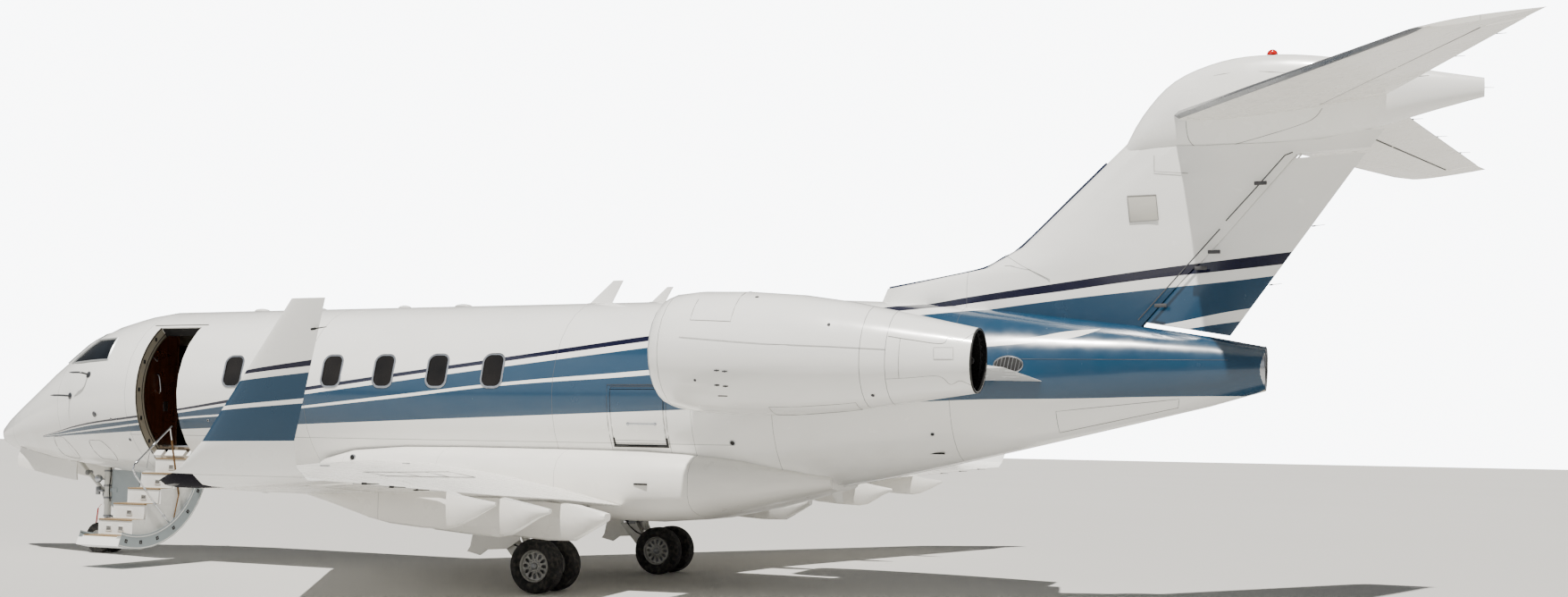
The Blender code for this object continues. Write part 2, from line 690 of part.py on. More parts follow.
def build_airstair():
    """The main door shell, its steps and its handrail, all open as the aircraft stands."""
    turn = turn_about_x(DOOR_HINGE_Y, DOOR_HINGE_Z, DOOR_OPEN_ANGLE)
    hinge = ((DOOR_X0 + DOOR_X1) / 2, DOOR_HINGE_Y, DOOR_HINGE_Z)
    inner = FUSELAGE_RADIUS - CABIN_WALL
    shell_piece = sector_mesh("airstair_door", DOOR_X0, DOOR_X1, inner, FUSELAGE_RADIUS, DOOR_LOW_ANGLE,
                              DOOR_HIGH_ANGLE, DOOR_SEGMENTS, PORT, turn, DOOR_LOW_INNER_ANGLE)
    door = place("airstair_door", shell_piece, WHITE_PAINT, hinge)
    for index, arm_x in enumerate(HINGE_ARM_X):
        name = f"add_hinge_arm_{index}"
        combine(door, make_tool(name, hinge_arm_mesh(name, arm_x, turn)), "UNION")
        pin_name = f"add_hinge_pin_{index}"
        reach = HINGE_ARM_WIDTH / 2 + DOOR_GAP - FIT_GAP
        pin = rod_mesh(pin_name, (arm_x - reach, DOOR_HINGE_Y, DOOR_HINGE_Z),
                       (arm_x + reach, DOOR_HINGE_Y, DOOR_HINGE_Z), 0.012, 12)
        combine(door, make_tool(pin_name, pin), "UNION")
    build_steps(turn, inner, hinge)
    build_handrail(turn, inner, hinge)


def hinge_arm_mesh(name, arm_x, turn):
    """One gooseneck from the hinge line to the door's lower end, as it lies with the door open."""
    low_end = turn @ Vector(skin_point(DOOR_LOW_ANGLE + 1.5, FUSELAGE_RADIUS - 0.030, 0, PORT))
    low_inner = turn @ Vector(skin_point(DOOR_LOW_ANGLE + 1.5, FUSELAGE_RADIUS - 0.085, 0, PORT))
    outline = [(0, DOOR_HINGE_Y + 0.026, DOOR_HINGE_Z), (0, DOOR_HINGE_Y + 0.016, DOOR_HINGE_Z + 0.022),
               (0, DOOR_HINGE_Y - 0.016, DOOR_HINGE_Z + 0.022), (0, DOOR_HINGE_Y - 0.026, DOOR_HINGE_Z),
               (0, low_inner.y, low_inner.z), (0, low_end.y, low_end.z)]
    return prism_mesh(name, outline, (arm_x - HINGE_ARM_WIDTH / 2, 0, 0), (HINGE_ARM_WIDTH, 0, 0))


def build_steps(turn, inner, hinge):
    """The stair block: six treads over a curved back that follows the door, clear of the sill."""
    outline = []
    for step in range(TREAD_COUNT):
        edge_y = FIRST_TREAD[0] + TREAD_STEP[0] * step
        edge_z = FIRST_TREAD[1] + TREAD_STEP[1] * step
        outline.append((edge_y, edge_z))
        if step < TREAD_COUNT - 1:
            outline.append((edge_y, edge_z + TREAD_STEP[1]))
    back_radius = inner - FIT_GAP
    angles = [DOOR_LOW_INNER_ANGLE]
    angles += [DOOR_LOW_ANGLE + (DOOR_HIGH_ANGLE - DOOR_LOW_ANGLE) * step / DOOR_SEGMENTS
               for step in range(1, DOOR_SEGMENTS + 1)]
    back = [turn @ Vector(skin_point(angle, back_radius, 0, PORT)) for angle in angles]
    outline.extend((point.y, point.z) for point in reversed(back))
    near = math.degrees(math.atan2(back[0].z - DOOR_HINGE_Z, back[0].y - DOOR_HINGE_Y)) % 360
    top = math.degrees(math.atan2(FIRST_TREAD[1] - DOOR_HINGE_Z, FIRST_TREAD[0] - DOOR_HINGE_Y)) % 360
    for step in range(5):
        angle = math.radians(near + (top - near) * (step + 0.5) / 5)
        outline.append((DOOR_HINGE_Y + HINGE_SWEEP_RADIUS * math.cos(angle),
                        DOOR_HINGE_Z + HINGE_SWEEP_RADIUS * math.sin(angle)))
    steps = prism_mesh("airstair_steps", [(0, y, z) for y, z in outline], (STAIR_X0, 0, 0),
                       (STAIR_X1 - STAIR_X0, 0, 0))
    place("airstair_steps", steps, STEP_PAINT, hinge)


def build_handrail(turn, inner, hinge):
    """The bent rail and its stay, standing on the aft edge of the door."""
    foot = (HANDRAIL_X, -1.165, 0.520)
    rail_points = [foot, (HANDRAIL_X, -1.460, 0.810), (HANDRAIL_X, -1.845, 1.225),
                   (HANDRAIL_X, -1.885, 1.300), (HANDRAIL_X, -1.870, 1.360), (HANDRAIL_X, -1.230, 1.885)]
    rail = place("airstair_handrail", tube_path_mesh("airstair_handrail", rail_points, HANDRAIL_RADIUS),
                 BARE_METAL, hinge)
    stay_points = [foot, (HANDRAIL_X, -1.060, 0.960), (HANDRAIL_X, -1.262, 1.860)]
    stay = tube_path_mesh("add_handrail_stay", stay_points, 0.008, 6)
    combine(rail, make_tool("add_handrail_stay", stay), "UNION")
    shoe = box_mesh("add_handrail_shoe", (HANDRAIL_X - 0.018, -1.205, 0.470),
                    (HANDRAIL_X + 0.018, -1.125, 0.540))
    combine(rail, make_tool("add_handrail_shoe", shoe), "UNION")
    seat = sector_mesh("cut_rail_seat", DOOR_X0, DOOR_X1 + 0.01, inner - FIT_GAP, FUSELAGE_RADIUS + 0.05,
                       DOOR_LOW_ANGLE, DOOR_HIGH_ANGLE, DOOR_SEGMENTS, PORT, turn)
    combine(rail, make_tool("cut_rail_seat", seat))


def build_baggage_door():
    """The baggage hatch, closed, hinged along its upper edge."""
    hinge = ((BAGGAGE_X0 + BAGGAGE_X1) / 2, BAGGAGE_HINGE_Y, BAGGAGE_HINGE_Z)
    mesh = sector_mesh("baggage_door", BAGGAGE_X0, BAGGAGE_X1, FUSELAGE_RADIUS - CABIN_WALL + 0.020,
                       FUSELAGE_RADIUS, BAGGAGE_LOW_ANGLE, BAGGAGE_HIGH_ANGLE, 6, PORT)
    door = place("baggage_door", mesh, WHITE_PAINT, hinge)
    for index, (end, out) in enumerate(((BAGGAGE_X0, -1), (BAGGAGE_X1, 1))):
        pin_name = f"add_baggage_pin_{index}"
        pin = rod_mesh(pin_name, (end - out * 0.020, BAGGAGE_HINGE_Y, BAGGAGE_HINGE_Z),
                       (end + out * (DOOR_GAP - FIT_GAP), BAGGAGE_HINGE_Y, BAGGAGE_HINGE_Z), 0.006, 10)
        combine(door, make_tool(pin_name, pin), "UNION")


def build_floor():
    """The cabin and cockpit floor with the stairwell cut out beside the door."""
    low = FLOOR_TOP - FLOOR_DEPTH
    floor = place("cabin_floor", box_mesh("cabin_floor", (3.60, -FLOOR_HALF_WIDTH, low),
                                         (12.20, FLOOR_HALF_WIDTH, FLOOR_TOP)), CARPET)
    cockpit = box_mesh("add_cockpit_floor", (2.66, -COCKPIT_FLOOR_HALF_WIDTH, low),
                       (3.62, COCKPIT_FLOOR_HALF_WIDTH, FLOOR_TOP))
    combine(floor, make_tool("add_cockpit_floor", cockpit), "UNION")
    raised = box_mesh("add_baggage_floor", (BAGGAGE_FLOOR_X0, -FLOOR_HALF_WIDTH, low),
                      (12.20, FLOOR_HALF_WIDTH, FLOOR_TOP + BAGGAGE_FLOOR_RISE))
    combine(floor, make_tool("add_baggage_floor", raised), "UNION")
    well = box_mesh("cut_stairwell", (STAIRWELL_X0, -1.2, 1.0), (STAIRWELL_X1, STAIRWELL_EDGE_Y, 2.0))
    combine(floor, make_tool("cut_stairwell", well))
    inner = FUSELAGE_RADIUS - CABIN_WALL - FIT_GAP
    for index, x in enumerate(FLOOR_BEAMS):
        name = f"add_floor_beam_{index}"
        outline = []
        for step in range(-2, 3):
            angle = 2 * math.pi * step / FUSELAGE_POINTS
            outline.append((x - 0.03, inner * math.sin(angle), FUSELAGE_AXIS_Z - inner * math.cos(angle)))
        outline += [(x - 0.03, outline[-1][1], FLOOR_TOP - 0.01), (x - 0.03, outline[0][1], FLOOR_TOP - 0.01)]
        combine(floor, make_tool(name, prism_mesh(name, outline, (0, 0, 0), (0.06, 0, 0))), "UNION")


def seat_outline(back_x, facing):
    """The side view of a seat: base, cushion, back and headrest, in x and z."""
    shape = ((0.00, 0.00), (0.34, 0.00), (0.34, 0.24), (0.50, 0.26), (0.52, 0.40), (0.10, 0.42),
             (-0.04, 1.02), (-0.16, 1.00), (-0.10, 0.30), (0.00, 0.24))
    return [(back_x + facing * x, FLOOR_TOP + FIT_GAP + z) for x, z in shape]


def build_seats(name, places, half_width, rail_y, rails):
    """Seats on two long rails, joined into one piece."""
    rail_low = FLOOR_TOP + FIT_GAP
    mesh = box_mesh(name, (rails[0], rail_y[0] - 0.02, rail_low),
                    (rails[1], rail_y[0] + 0.02, rail_low + 0.02))
    seats = place(name, mesh, SEAT_LEATHER)
    for index, rail in enumerate(rail_y[1:]):
        tool = f"add_{name}_rail_{index}"
        combine(seats, make_tool(tool, box_mesh(tool, (rails[0], rail - 0.02, rail_low),
                                                (rails[1], rail + 0.02, rail_low + 0.02))), "UNION")
    cross = f"add_{name}_cross"
    combine(seats, make_tool(cross, box_mesh(cross, (rails[1] - 0.04, min(rail_y) - 0.02, rail_low),
                                             (rails[1], max(rail_y) + 0.02, rail_low + 0.02))), "UNION")
    for index, (back_x, y, facing) in enumerate(places):
        tool = f"add_{name}_{index}"
        outline = [(x, 0, z) for x, z in seat_outline(back_x, facing)]
        shape = prism_mesh(tool, outline, (0, y - half_width, 0), (0, 2 * half_width, 0))
        combine(seats, make_tool(tool, shape), "UNION")


def build_interior():
    """Seats, the instrument panel and the wooden partitions of the entrance."""
    cabin_places = []
    for pair in range(2):
        for y in (-0.46, 0.46):
            cabin_places.append((5.35 + 2.05 * pair, y, 1))
            cabin_places.append((6.95 + 2.05 * pair, y, -1))
    build_seats("cabin_seats", cabin_places, 0.25, (-0.46, 0.46), (4.95, 9.70))
    build_seats("cockpit_seats", [(3.22, -0.42, -1), (3.22, 0.42, -1)], 0.23, (-0.42, 0.42), (2.70, 3.30))
    board = box_mesh("instrument_panel", (2.05, -0.72, 2.05), (2.30, 0.72, 2.62))
    panel = place("instrument_panel", board, PANEL_GREY)
    pedestal = box_mesh("add_pedestal", (2.20, -0.13, FLOOR_TOP + FIT_GAP), (2.95, 0.13, 2.12))
    combine(panel, make_tool("add_pedestal", pedestal), "UNION")
    combine(panel, LINING_LINE, "INTERSECT")
    for name, x0, x1 in (("cockpit_partition", 3.655, 3.700), ("cabin_partition", 4.680, 4.740)):
        wall = place(name, box_mesh(name, (x0, -1.2, FLOOR_TOP + FIT_GAP), (x1, 1.2, 3.50)), CABIN_WOOD)
        if name == "cockpit_partition":
            cabinet = box_mesh("add_galley_cabinet", (x1 - 0.02, 0.42, FLOOR_TOP + FIT_GAP),
                               (4.45, 1.2, 3.30))
            combine(wall, make_tool("add_galley_cabinet", cabinet), "UNION")
        combine(wall, LINING_LINE, "INTERSECT")
        walkway = box_mesh(f"cut_{name}", (x0 - 0.1, -0.28, 1.0), (x1 + 0.1, 0.28, 3.30))
        combine(wall, make_tool(f"cut_{name}", walkway))


def build_window_belts():
    """One lining strip a side, with a pane that fills each window opening."""
    inner = FUSELAGE_RADIUS - CABIN_WALL
    x0 = window_station(0) - 0.30
    x1 = window_station(WINDOW_COUNT - 1) + 0.30
    for side, label in ((PORT, "port"), (STARBOARD, "starboard")):
        name = f"window_belt_{label}"
        rings = []
        for step in range(5):
            ring_angle = -11.25 + 11.25 * step
            outer = inner - 0.0006
            thin = inner - LINING_DEPTH
            rings.append([skin_point(ring_angle, thin, x0, side), skin_point(ring_angle, outer, x0, side),
                          skin_point(ring_angle, outer, x1, side), skin_point(ring_angle, thin, x1, side)])
        belt = place(name, loft_mesh(name, rings), DARK_GLASS)
        for index in range(WINDOW_COUNT):
            tool = f"add_pane_{label}_{index}"
            plug = window_plug(tool, window_station(index), side, inner - PANE_DEPTH,
                               FUSELAGE_RADIUS - 0.014, 0.0006)
            combine(belt, make_tool(tool, plug), "UNION")


def build_belly_fairing():
    """The wing and belly fairing around the keel, with the two wheel wells."""
    fairing = place("belly_fairing", fairing_mesh("belly_fairing", 0.0), BELLY_PAINT)
    combine(fairing, BODY_CUT)
    for tools in WELL_CUTS.values():
        for tool in tools:
            combine(fairing, tool)


def fairing_mesh(name, grow):
    """The belly fairing's outer form."""
    rings = [superellipse_ring(x, bottom, top, half, FAIRING_POWER, FAIRING_POINTS, grow)
             for x, bottom, top, half in FAIRING_STATIONS]
    return loft_mesh(name, rings)


def airfoil_half_thickness(share, thickness):
    """Half the thickness of a section at a share of its chord, over the chord."""
    return 5 * thickness * (0.2969 * math.sqrt(share) - 0.1260 * share - 0.3516 * share ** 2
                            + 0.2843 * share ** 3 - 0.1015 * share ** 4)


AIRFOIL_SHARES = (1.0, 0.82, 0.62, 0.42, 0.24, 0.10, 0.025, 0.0)


def airfoil_outline(thickness, camber):
    """Shares along and heights across the chord, from the tail over the top to the tail again."""
    upper = []
    lower = []
    for share in AIRFOIL_SHARES:
        arch = 4 * camber * share * (1 - share)
        half = airfoil_half_thickness(share, thickness)
        upper.append((share, arch + half))
        if share > 0:
            lower.append((share, arch - half))
    return upper + list(reversed(lower))


def section_row(sections, span):
    """The section sizes at a span, straight between the listed ones."""
    for before, after in zip(sections, sections[1:]):
        if before[0] <= span <= after[0]:
            share = (span - before[0]) / (after[0] - before[0])
            return tuple(a + share * (b - a) for a, b in zip(before, after))
    return sections[0] if span < sections[0][0] else sections[-1]


def lifting_point(row, side, share, height):
    """A point of a wing-like section by its share of the chord and height over the chord."""
    span, lead_x, trail_x, lead_z, trail_z, _ = row
    chord = trail_x - lead_x
    return (lead_x + share * chord, side * span, lead_z + share * (trail_z - lead_z) + height * chord)


def lifting_ring(row, side, camber):
    """One closed section of a wing or stabilizer."""
    return [lifting_point(row, side, share, height) for share, height in airfoil_outline(row[5], camber)]


def lower_surface(sections, span, station, camber):
    """The height of the wing's lower surface at a span and station."""
    row = section_row(sections, span)
    share = min(max((station - row[1]) / (row[2] - row[1]), 0.0), 1.0)
    height = 4 * camber * share * (1 - share) - airfoil_half_thickness(share, row[5])
    return lifting_point(row, 1, share, height)[2]


def hinge_row(sections, span, share, camber):
    """The hinge point and nose radius of a control surface at a span."""
    row = section_row(sections, span)
    arch = 4 * camber * share * (1 - share)
    x, _, z = lifting_point(row, 1, share, arch)
    radius = airfoil_half_thickness(share, row[5]) * (row[2] - row[1])
    return x, z, radius, row[2], row[4]


def nose_arc(x, z, radius, steps=6):
    """Points of the round nose of a control surface, from its top round to its underside."""
    points = []
    for step in range(steps + 1):
        angle = math.radians(90 + 180 * step / steps)
        points.append((x + radius * math.cos(angle), z + radius * math.sin(angle)))
    return points


def control_rings(sections, spans, share, camber, side, gap=None):
    """Rings of a control surface, or with a gap those of the tool that makes room for it."""
    rings = []
    for span in spans:
        x, z, radius, trail_x, trail_z = hinge_row(sections, span, share, camber)
        if gap is None:
            outline = nose_arc(x, z, radius)
            outline += [(trail_x, trail_z - TAIL_HALF_THICKNESS), (trail_x, trail_z + TAIL_HALF_THICKNESS)]
        else:
            reach = 0.5
            outline = nose_arc(x, z, (radius + gap) / math.cos(math.radians(15)))
            outline += [(x, z - reach), (trail_x + reach, z - reach)]
            outline += [(trail_x + reach, z + reach), (x, z + reach)]
        rings.append([(px, side * span, pz) for px, pz in outline])
    return rings


def flap_front(span):
    """The share of the chord at which the flap begins, which lies further aft near the root."""
    for before, after in zip(FLAP_FRONTS, FLAP_FRONTS[1:]):
        if before[0] <= span <= after[0]:
            return before[1] + (span - before[0]) / (after[0] - before[0]) * (after[1] - before[1])
    return FLAP_FRONTS[0][1]


def build_wing(side, label):
    """One wing with its flap, its aileron and its track fairings."""
    mesh = loft_mesh(f"wing_{label}", [lifting_ring(row, side, WING_CAMBER) for row in WING_SECTIONS])
    wing = place(f"wing_{label}", mesh, WHITE_PAINT)
    combine(wing, FAIRING_CUT)
    combine(wing, BODY_CUT)
    flap_cut = make_tool(f"cut_flap_{label}", flap_mesh(f"cut_flap_{label}", side, True))
    combine(wing, flap_cut)
    aileron_spans = (AILERON_SPAN[0] - AILERON_END_GAP, AILERON_SPAN[1] + AILERON_END_GAP)
    room_spans = with_breaks(WING_SECTIONS, aileron_spans)
    room = loft_mesh(f"cut_aileron_{label}", control_rings(WING_SECTIONS, room_spans, AILERON_HINGE,
                                                           WING_CAMBER, side, CONTROL_GAP))
    combine(wing, make_tool(f"cut_aileron_{label}", room))
    for tool in WELL_CUTS[label]:
        combine(wing, tool)
    for index, fairing in enumerate(TRACK_FAIRINGS):
        name = f"add_track_{label}_{index}"
        combine(wing, make_tool(name, track_fairing_mesh(name, side, fairing)), "UNION")
    pad = rod_mesh(f"add_jack_pad_{label}", (JACK_PAD[0], side * JACK_PAD[1], JACK_PAD[2]),
                   (JACK_PAD[0], side * JACK_PAD[1], JACK_PAD[2] + 0.080), JACK_PAD_RADIUS, 12)
    combine(wing, make_tool(f"add_jack_pad_{label}", pad), "UNION")
    flap = place(f"flap_{label}", flap_mesh(f"flap_{label}", side, False), WHITE_PAINT)
    combine(flap, FAIRING_CUT)
    build_aileron(side, label)


def hinge_pin_mesh(name, start, end, radius, clearance):
    """A round pin with a domed end that stops short of a face by its own radius and the clearance."""
    start = Vector(start)
    axis = Vector(end) - start
    length = axis.length - clearance - radius
    profile = [(0.0, radius), (length, radius), (length + 0.5 * radius, 0.866 * radius),
               (length + 0.866 * radius, 0.5 * radius), (length + radius, 0.0)]
    return lathe_mesh(name, profile, PIN_POINTS, start, axis)


def add_hinge_pins(surface, side, sections, spans, reach, share, camber):
    """Two domed pins on the hinge line of a control surface, one at each end."""
    ends = []
    for span in spans:
        x, z = hinge_row(sections, span, share, camber)[:2]
        ends.append(Vector((x, side * span, z)))
    line = ends[1] - ends[0]
    for index, (end, direction) in enumerate(((ends[0], -line), (ends[1], line))):
        slant = abs(direction.normalized().y)
        out = direction.normalized()
        near = end - out * PIN_ROOT
        face = end + out * (reach / slant)
        clearance = (FIT_GAP + PIN_REACH * PIN_RADIUS) / slant - PIN_RADIUS
        name = f"add_pin_{surface.name}_{index}"
        combine(surface, make_tool(name, hinge_pin_mesh(name, near, face, PIN_RADIUS, clearance)), "UNION")


def with_breaks(sections, spans):
    """A span range with the listed sections that lie inside it."""
    return [spans[0]] + [row[0] for row in sections if spans[0] < row[0] < spans[1]] + [spans[1]]


def flap_mesh(name, side, as_tool):
    """The flap, or the tool that clears its bay in the wing."""
    rings = []
    low, high = FLAP_SPAN
    spans = with_breaks(WING_SECTIONS, (low, high if as_tool else high - FIT_GAP))
    if as_tool:
        spans.insert(0, low - 0.2)
    for span in spans:
        row = section_row(WING_SECTIONS, span)
        chord = row[2] - row[1]
        if as_tool:
            front = row[1] + flap_front(span) * chord - FIT_GAP
            outline = [(front, row[4] - 0.6), (front, row[4] + 0.6), (row[2] + 0.4, row[4] + 0.6),
                       (row[2] + 0.4, row[4] - 0.6)]
            rings.append([(x, side * span, z) for x, z in outline])
            continue
        ring = []
        for share in (flap_front(span), 0.92, 1.0):
            arch = 4 * WING_CAMBER * share * (1 - share)
            ring.append(lifting_point(row, side, share, arch + airfoil_half_thickness(share, row[5])))
        for share in (1.0, 0.92, flap_front(span)):
            arch = 4 * WING_CAMBER * share * (1 - share)
            ring.append(lifting_point(row, side, share, arch - airfoil_half_thickness(share, row[5])))
        rings.append(ring)
    return loft_mesh(name, rings)


def build_aileron(side, label):
    """The aileron, with its origin on its hinge line."""
    name = f"aileron_{label}"
    spans = with_breaks(WING_SECTIONS, AILERON_SPAN)
    x, z = hinge_row(WING_SECTIONS, AILERON_SPAN[0], AILERON_HINGE, WING_CAMBER)[:2]
    mesh = loft_mesh(name, control_rings(WING_SECTIONS, spans, AILERON_HINGE, WING_CAMBER, side))
    aileron = place(name, mesh, WHITE_PAINT, (x, side * AILERON_SPAN[0], z))
    add_hinge_pins(aileron, side, WING_SECTIONS, AILERON_SPAN, AILERON_END_GAP, AILERON_HINGE, WING_CAMBER)


TRACK_SECTION = ((-0.75, 1.0), (0.75, 1.0), (1.0, 0.72), (0.95, 0.35), (0.60, 0.06),
                 (0.0, 0.0), (-0.60, 0.06), (-0.95, 0.35), (-1.0, 0.72))


def track_row(rows, x):
    """The keel height and share of the width of a track fairing at a station."""
    for before, after in zip(rows, rows[1:]):
        if before[0] <= x <= after[0]:
            part = (x - before[0]) / (after[0] - before[0])
            return before[1] + part * (after[1] - before[1]), before[2] + part * (after[2] - before[2])
    return rows[-1][1:]


def track_fairing_mesh(name, side, fairing):
    """One keel-like flap track fairing, its top inside the wing and just under the flap behind it."""
    span, half, rear_z, rows = fairing
    inner_span = max(span - half, 0.0)
    inner_row = section_row(WING_SECTIONS, inner_span)
    under_flap = inner_span < FLAP_SPAN[1]
    step_x = inner_row[1] + flap_front(inner_span) * (inner_row[2] - inner_row[1]) - CONTROL_GAP
    stations = [row[0] for row in rows]
    if under_flap:
        stations = sorted(stations + [step_x, step_x + 0.002])
    rings = []
    for x in stations:
        keel, width = track_row(rows, x)
        under = min(lower_surface(WING_SECTIONS, span - half, min(x, inner_row[2]), WING_CAMBER),
                    lower_surface(WING_SECTIONS, span + half, min(x, inner_row[2]), WING_CAMBER))
        sunk = x <= step_x or not under_flap
        top = under + TRACK_SINK / 2 if sunk else under - TRACK_FLAP_GAP
        if x > inner_row[2]:
            drop = (x - inner_row[2]) / (rows[-1][0] - inner_row[2])
            top = under - TRACK_FLAP_GAP - (under - TRACK_FLAP_GAP - rear_z) * drop
        bottom = min(keel, top - TRACK_LEAST_DEPTH)
        rings.append([(x, side * (span + across * half * width), bottom + upward * (top - bottom))
                      for across, upward in TRACK_SECTION])
    return loft_mesh(name, rings)


def build_winglet(side, label):
    """The blended winglet, set against the wing's tip."""
    name = f"winglet_{label}"
    rings = []
    for index, (y, z, lead, trail, thickness, lean) in enumerate(WINGLET_SECTIONS):
        chord = trail - lead
        lean_angle = math.radians(lean)
        offset = FIT_GAP if index == 0 else 0.0
        ring = []
        for share, height in airfoil_outline(thickness, WING_CAMBER if index == 0 else 0.0):
            rise = 0.0
            if index == 0:
                rise = -0.018 + share * 0.035
            ring.append((lead + share * chord, side * (y + offset - height * chord * math.sin(lean_angle)),
                         z + rise + height * chord * math.cos(lean_angle)))
        rings.append(ring)
    place(name, loft_mesh(name, rings), COMPOSITE_PAINT)


def fin_ring(row):
    """One level section of the fin."""
    z, lead, trail, half = row
    chord = trail - lead
    ring = []
    for share, height in airfoil_outline(2 * half / chord, 0.0):
        ring.append((lead + share * chord, height * chord, z))
    return ring


def rudder_rings(gap=None):
    """Rings of the rudder, square to its hinge line, or of the tool that clears room for it."""
    low = Vector((RUDDER_LOW[0], 0, RUDDER_LOW[1]))
    high = Vector((RUDDER_HIGH[0], 0, RUDDER_HIGH[1]))
    rings = []
    for point, radius, trail in zip((low, high), RUDDER_RADIUS, RUDDER_TRAIL):
        trail_point = Vector((trail[0], 0, trail[1]))
        aft = (trail_point - point).normalized()
        ring = []
        wide = radius if gap is None else (radius + gap) / math.cos(math.radians(15))
        for step in range(7):
            angle = math.radians(90 + 30 * step)
            ring.append(point + aft * wide * math.cos(angle) + Vector((0, wide * math.sin(angle), 0)))
        if gap is None:
            ring.append(trail_point + Vector((0, -0.005, 0)))
            ring.append(trail_point + Vector((0, 0.005, 0)))
        else:
            far = trail_point + aft * 0.6
            ring.append(point + Vector((0, -0.4, 0)))
            ring.append(far + Vector((0, -0.4, 0)))
            ring.append(far + Vector((0, 0.4, 0)))
            ring.append(point + Vector((0, 0.4, 0)))
        rings.append(ring)
    if gap is not None:
        line = (high - low).normalized()
        rings[0] = [point - line * 0.03 for point in rings[0]]
        rings[1] = [point + line * RUDDER_TOP_GAP for point in rings[1]]
        rings.insert(0, [point - line * 0.9 for point in rings[0]])
    return rings


def build_fin():
    """The fin and its rudder."""
    fin = place("fin", loft_mesh("fin", [fin_ring(row) for row in FIN_SECTIONS]), WHITE_PAINT)
    combine(fin, BODY_CUT)
    combine(fin, make_tool("cut_bullet_seat", bullet_mesh("cut_bullet_seat", FIT_GAP)))
    combine(fin, make_tool("cut_rudder", loft_mesh("cut_rudder", rudder_rings(CONTROL_GAP))))
    low = Vector((RUDDER_LOW[0], 0, RUDDER_LOW[1]))
    high = Vector((RUDDER_HIGH[0], 0, RUDDER_HIGH[1]))
    rudder = place("rudder", loft_mesh("rudder", rudder_rings()), COMPOSITE_PAINT, low)
    line = (high - low).normalized()
    aft = (Vector((RUDDER_TRAIL[1][0], 0, RUDDER_TRAIL[1][1])) - high).normalized()
    square = math.sqrt(1 - line.dot(aft) ** 2)
    clearance = (FIT_GAP + 0.998 * PIN_RADIUS) / square - PIN_RADIUS
    top_pin = hinge_pin_mesh("add_rudder_top_pin", high - line * PIN_ROOT, high + line * RUDDER_TOP_GAP,
                             PIN_RADIUS, clearance)
    combine(rudder, make_tool("add_rudder_top_pin", top_pin), "UNION")


def bullet_mesh(name, grow):
    """The fairing over the fin top."""
    rings = [superellipse_ring(x, bottom, top, half, 2.4, BULLET_POINTS, grow)
             for x, bottom, top, half in BULLET_STATIONS]
    return loft_mesh(name, rings)


def stabilizer_rings(grow=0.0):
    """Sections of the whole stabilizer from the port tip to the starboard tip."""
    rows = [(PORT, row) for row in reversed(STABILIZER_SECTIONS)]
    rows += [(STARBOARD, row) for row in STABILIZER_SECTIONS[1:]]
    rings = []
    for side, row in rows:
        ring = []
        for share, height in airfoil_outline(row[5], 0.0):
            x, y, z = lifting_point(row, side, share, height)
            ring.append((x + grow * (2 * share - 1), y, z + math.copysign(grow, height) if height else z))
        rings.append(ring)
    return rings


def build_stabilizer():
    """The stabilizer through the bullet fairing, and its two elevators."""
    bullet = place("bullet_fairing", bullet_mesh("bullet_fairing", 0.0), COMPOSITE_PAINT)
    slot = loft_mesh("cut_stabilizer_slot", stabilizer_rings(FIT_GAP * 2))
    combine(bullet, make_tool("cut_stabilizer_slot", slot))
    stabilizer = place("stabilizer", loft_mesh("stabilizer", stabilizer_rings()), COMPOSITE_PAINT)
    room_spans = with_breaks(STABILIZER_SECTIONS, (ELEVATOR_SPAN[0] - ELEVATOR_END_GAP,
                                                   ELEVATOR_SPAN[1] + ELEVATOR_END_GAP))
    spans = with_breaks(STABILIZER_SECTIONS, ELEVATOR_SPAN)
    for side, label in ((PORT, "port"), (STARBOARD, "starboard")):
        room = control_rings(STABILIZER_SECTIONS, room_spans, ELEVATOR_HINGE, 0.0, side, CONTROL_GAP)
        tool = f"cut_elevator_{label}"
        combine(stabilizer, make_tool(tool, loft_mesh(tool, room)))
        x, z = hinge_row(STABILIZER_SECTIONS, ELEVATOR_SPAN[0], ELEVATOR_HINGE, 0.0)[:2]
        name = f"elevator_{label}"
        mesh = loft_mesh(name, control_rings(STABILIZER_SECTIONS, spans, ELEVATOR_HINGE, 0.0, side))
        elevator = place(name, mesh, COMPOSITE_PAINT, (x, side * ELEVATOR_SPAN[0], z))
        add_hinge_pins(elevator, side, STABILIZER_SECTIONS, ELEVATOR_SPAN, ELEVATOR_END_GAP,
                       ELEVATOR_HINGE, 0.0)


def nacelle_axis():
    """The unit direction of an engine's axis, aft along the aircraft and slightly down."""
    drop = NACELLE_EXHAUST[1] - NACELLE_INLET[1]
    return Vector((NACELLE_EXHAUST[0] - NACELLE_INLET[0], 0, drop)).normalized()


def nacelle_point(side, along):
    """A point on an engine's axis at a distance behind the inlet."""
    return Vector((NACELLE_INLET[0], side * NACELLE_Y, NACELLE_INLET[1])) + along * nacelle_axis()


def build_engine(side, label):
    """One nacelle, its engine block, its fan and its pylon."""
    axis = nacelle_axis()
    inlet = nacelle_point(side, 0.0)
    profile = list(NACELLE_OUTER) + list(NACELLE_INNER)
    cowl = lathe_mesh(f"nacelle_{label}", profile, NACELLE_POINTS, inlet, axis, True)
    place(f"nacelle_{label}", cowl, COMPOSITE_PAINT)
    grown = [(along, radius + FIT_GAP) for along, radius in NACELLE_OUTER]
    grown.append((NACELLE_CUT_END, grown[-1][1]))
    solid = lathe_mesh(f"cut_nacelle_{label}", grown, NACELLE_POINTS, inlet, axis)
    tool = make_tool(f"cut_nacelle_{label}", solid)
    build_pylon(side, label, tool)
    build_core(side, label, inlet, axis)
    build_fan(side, label)


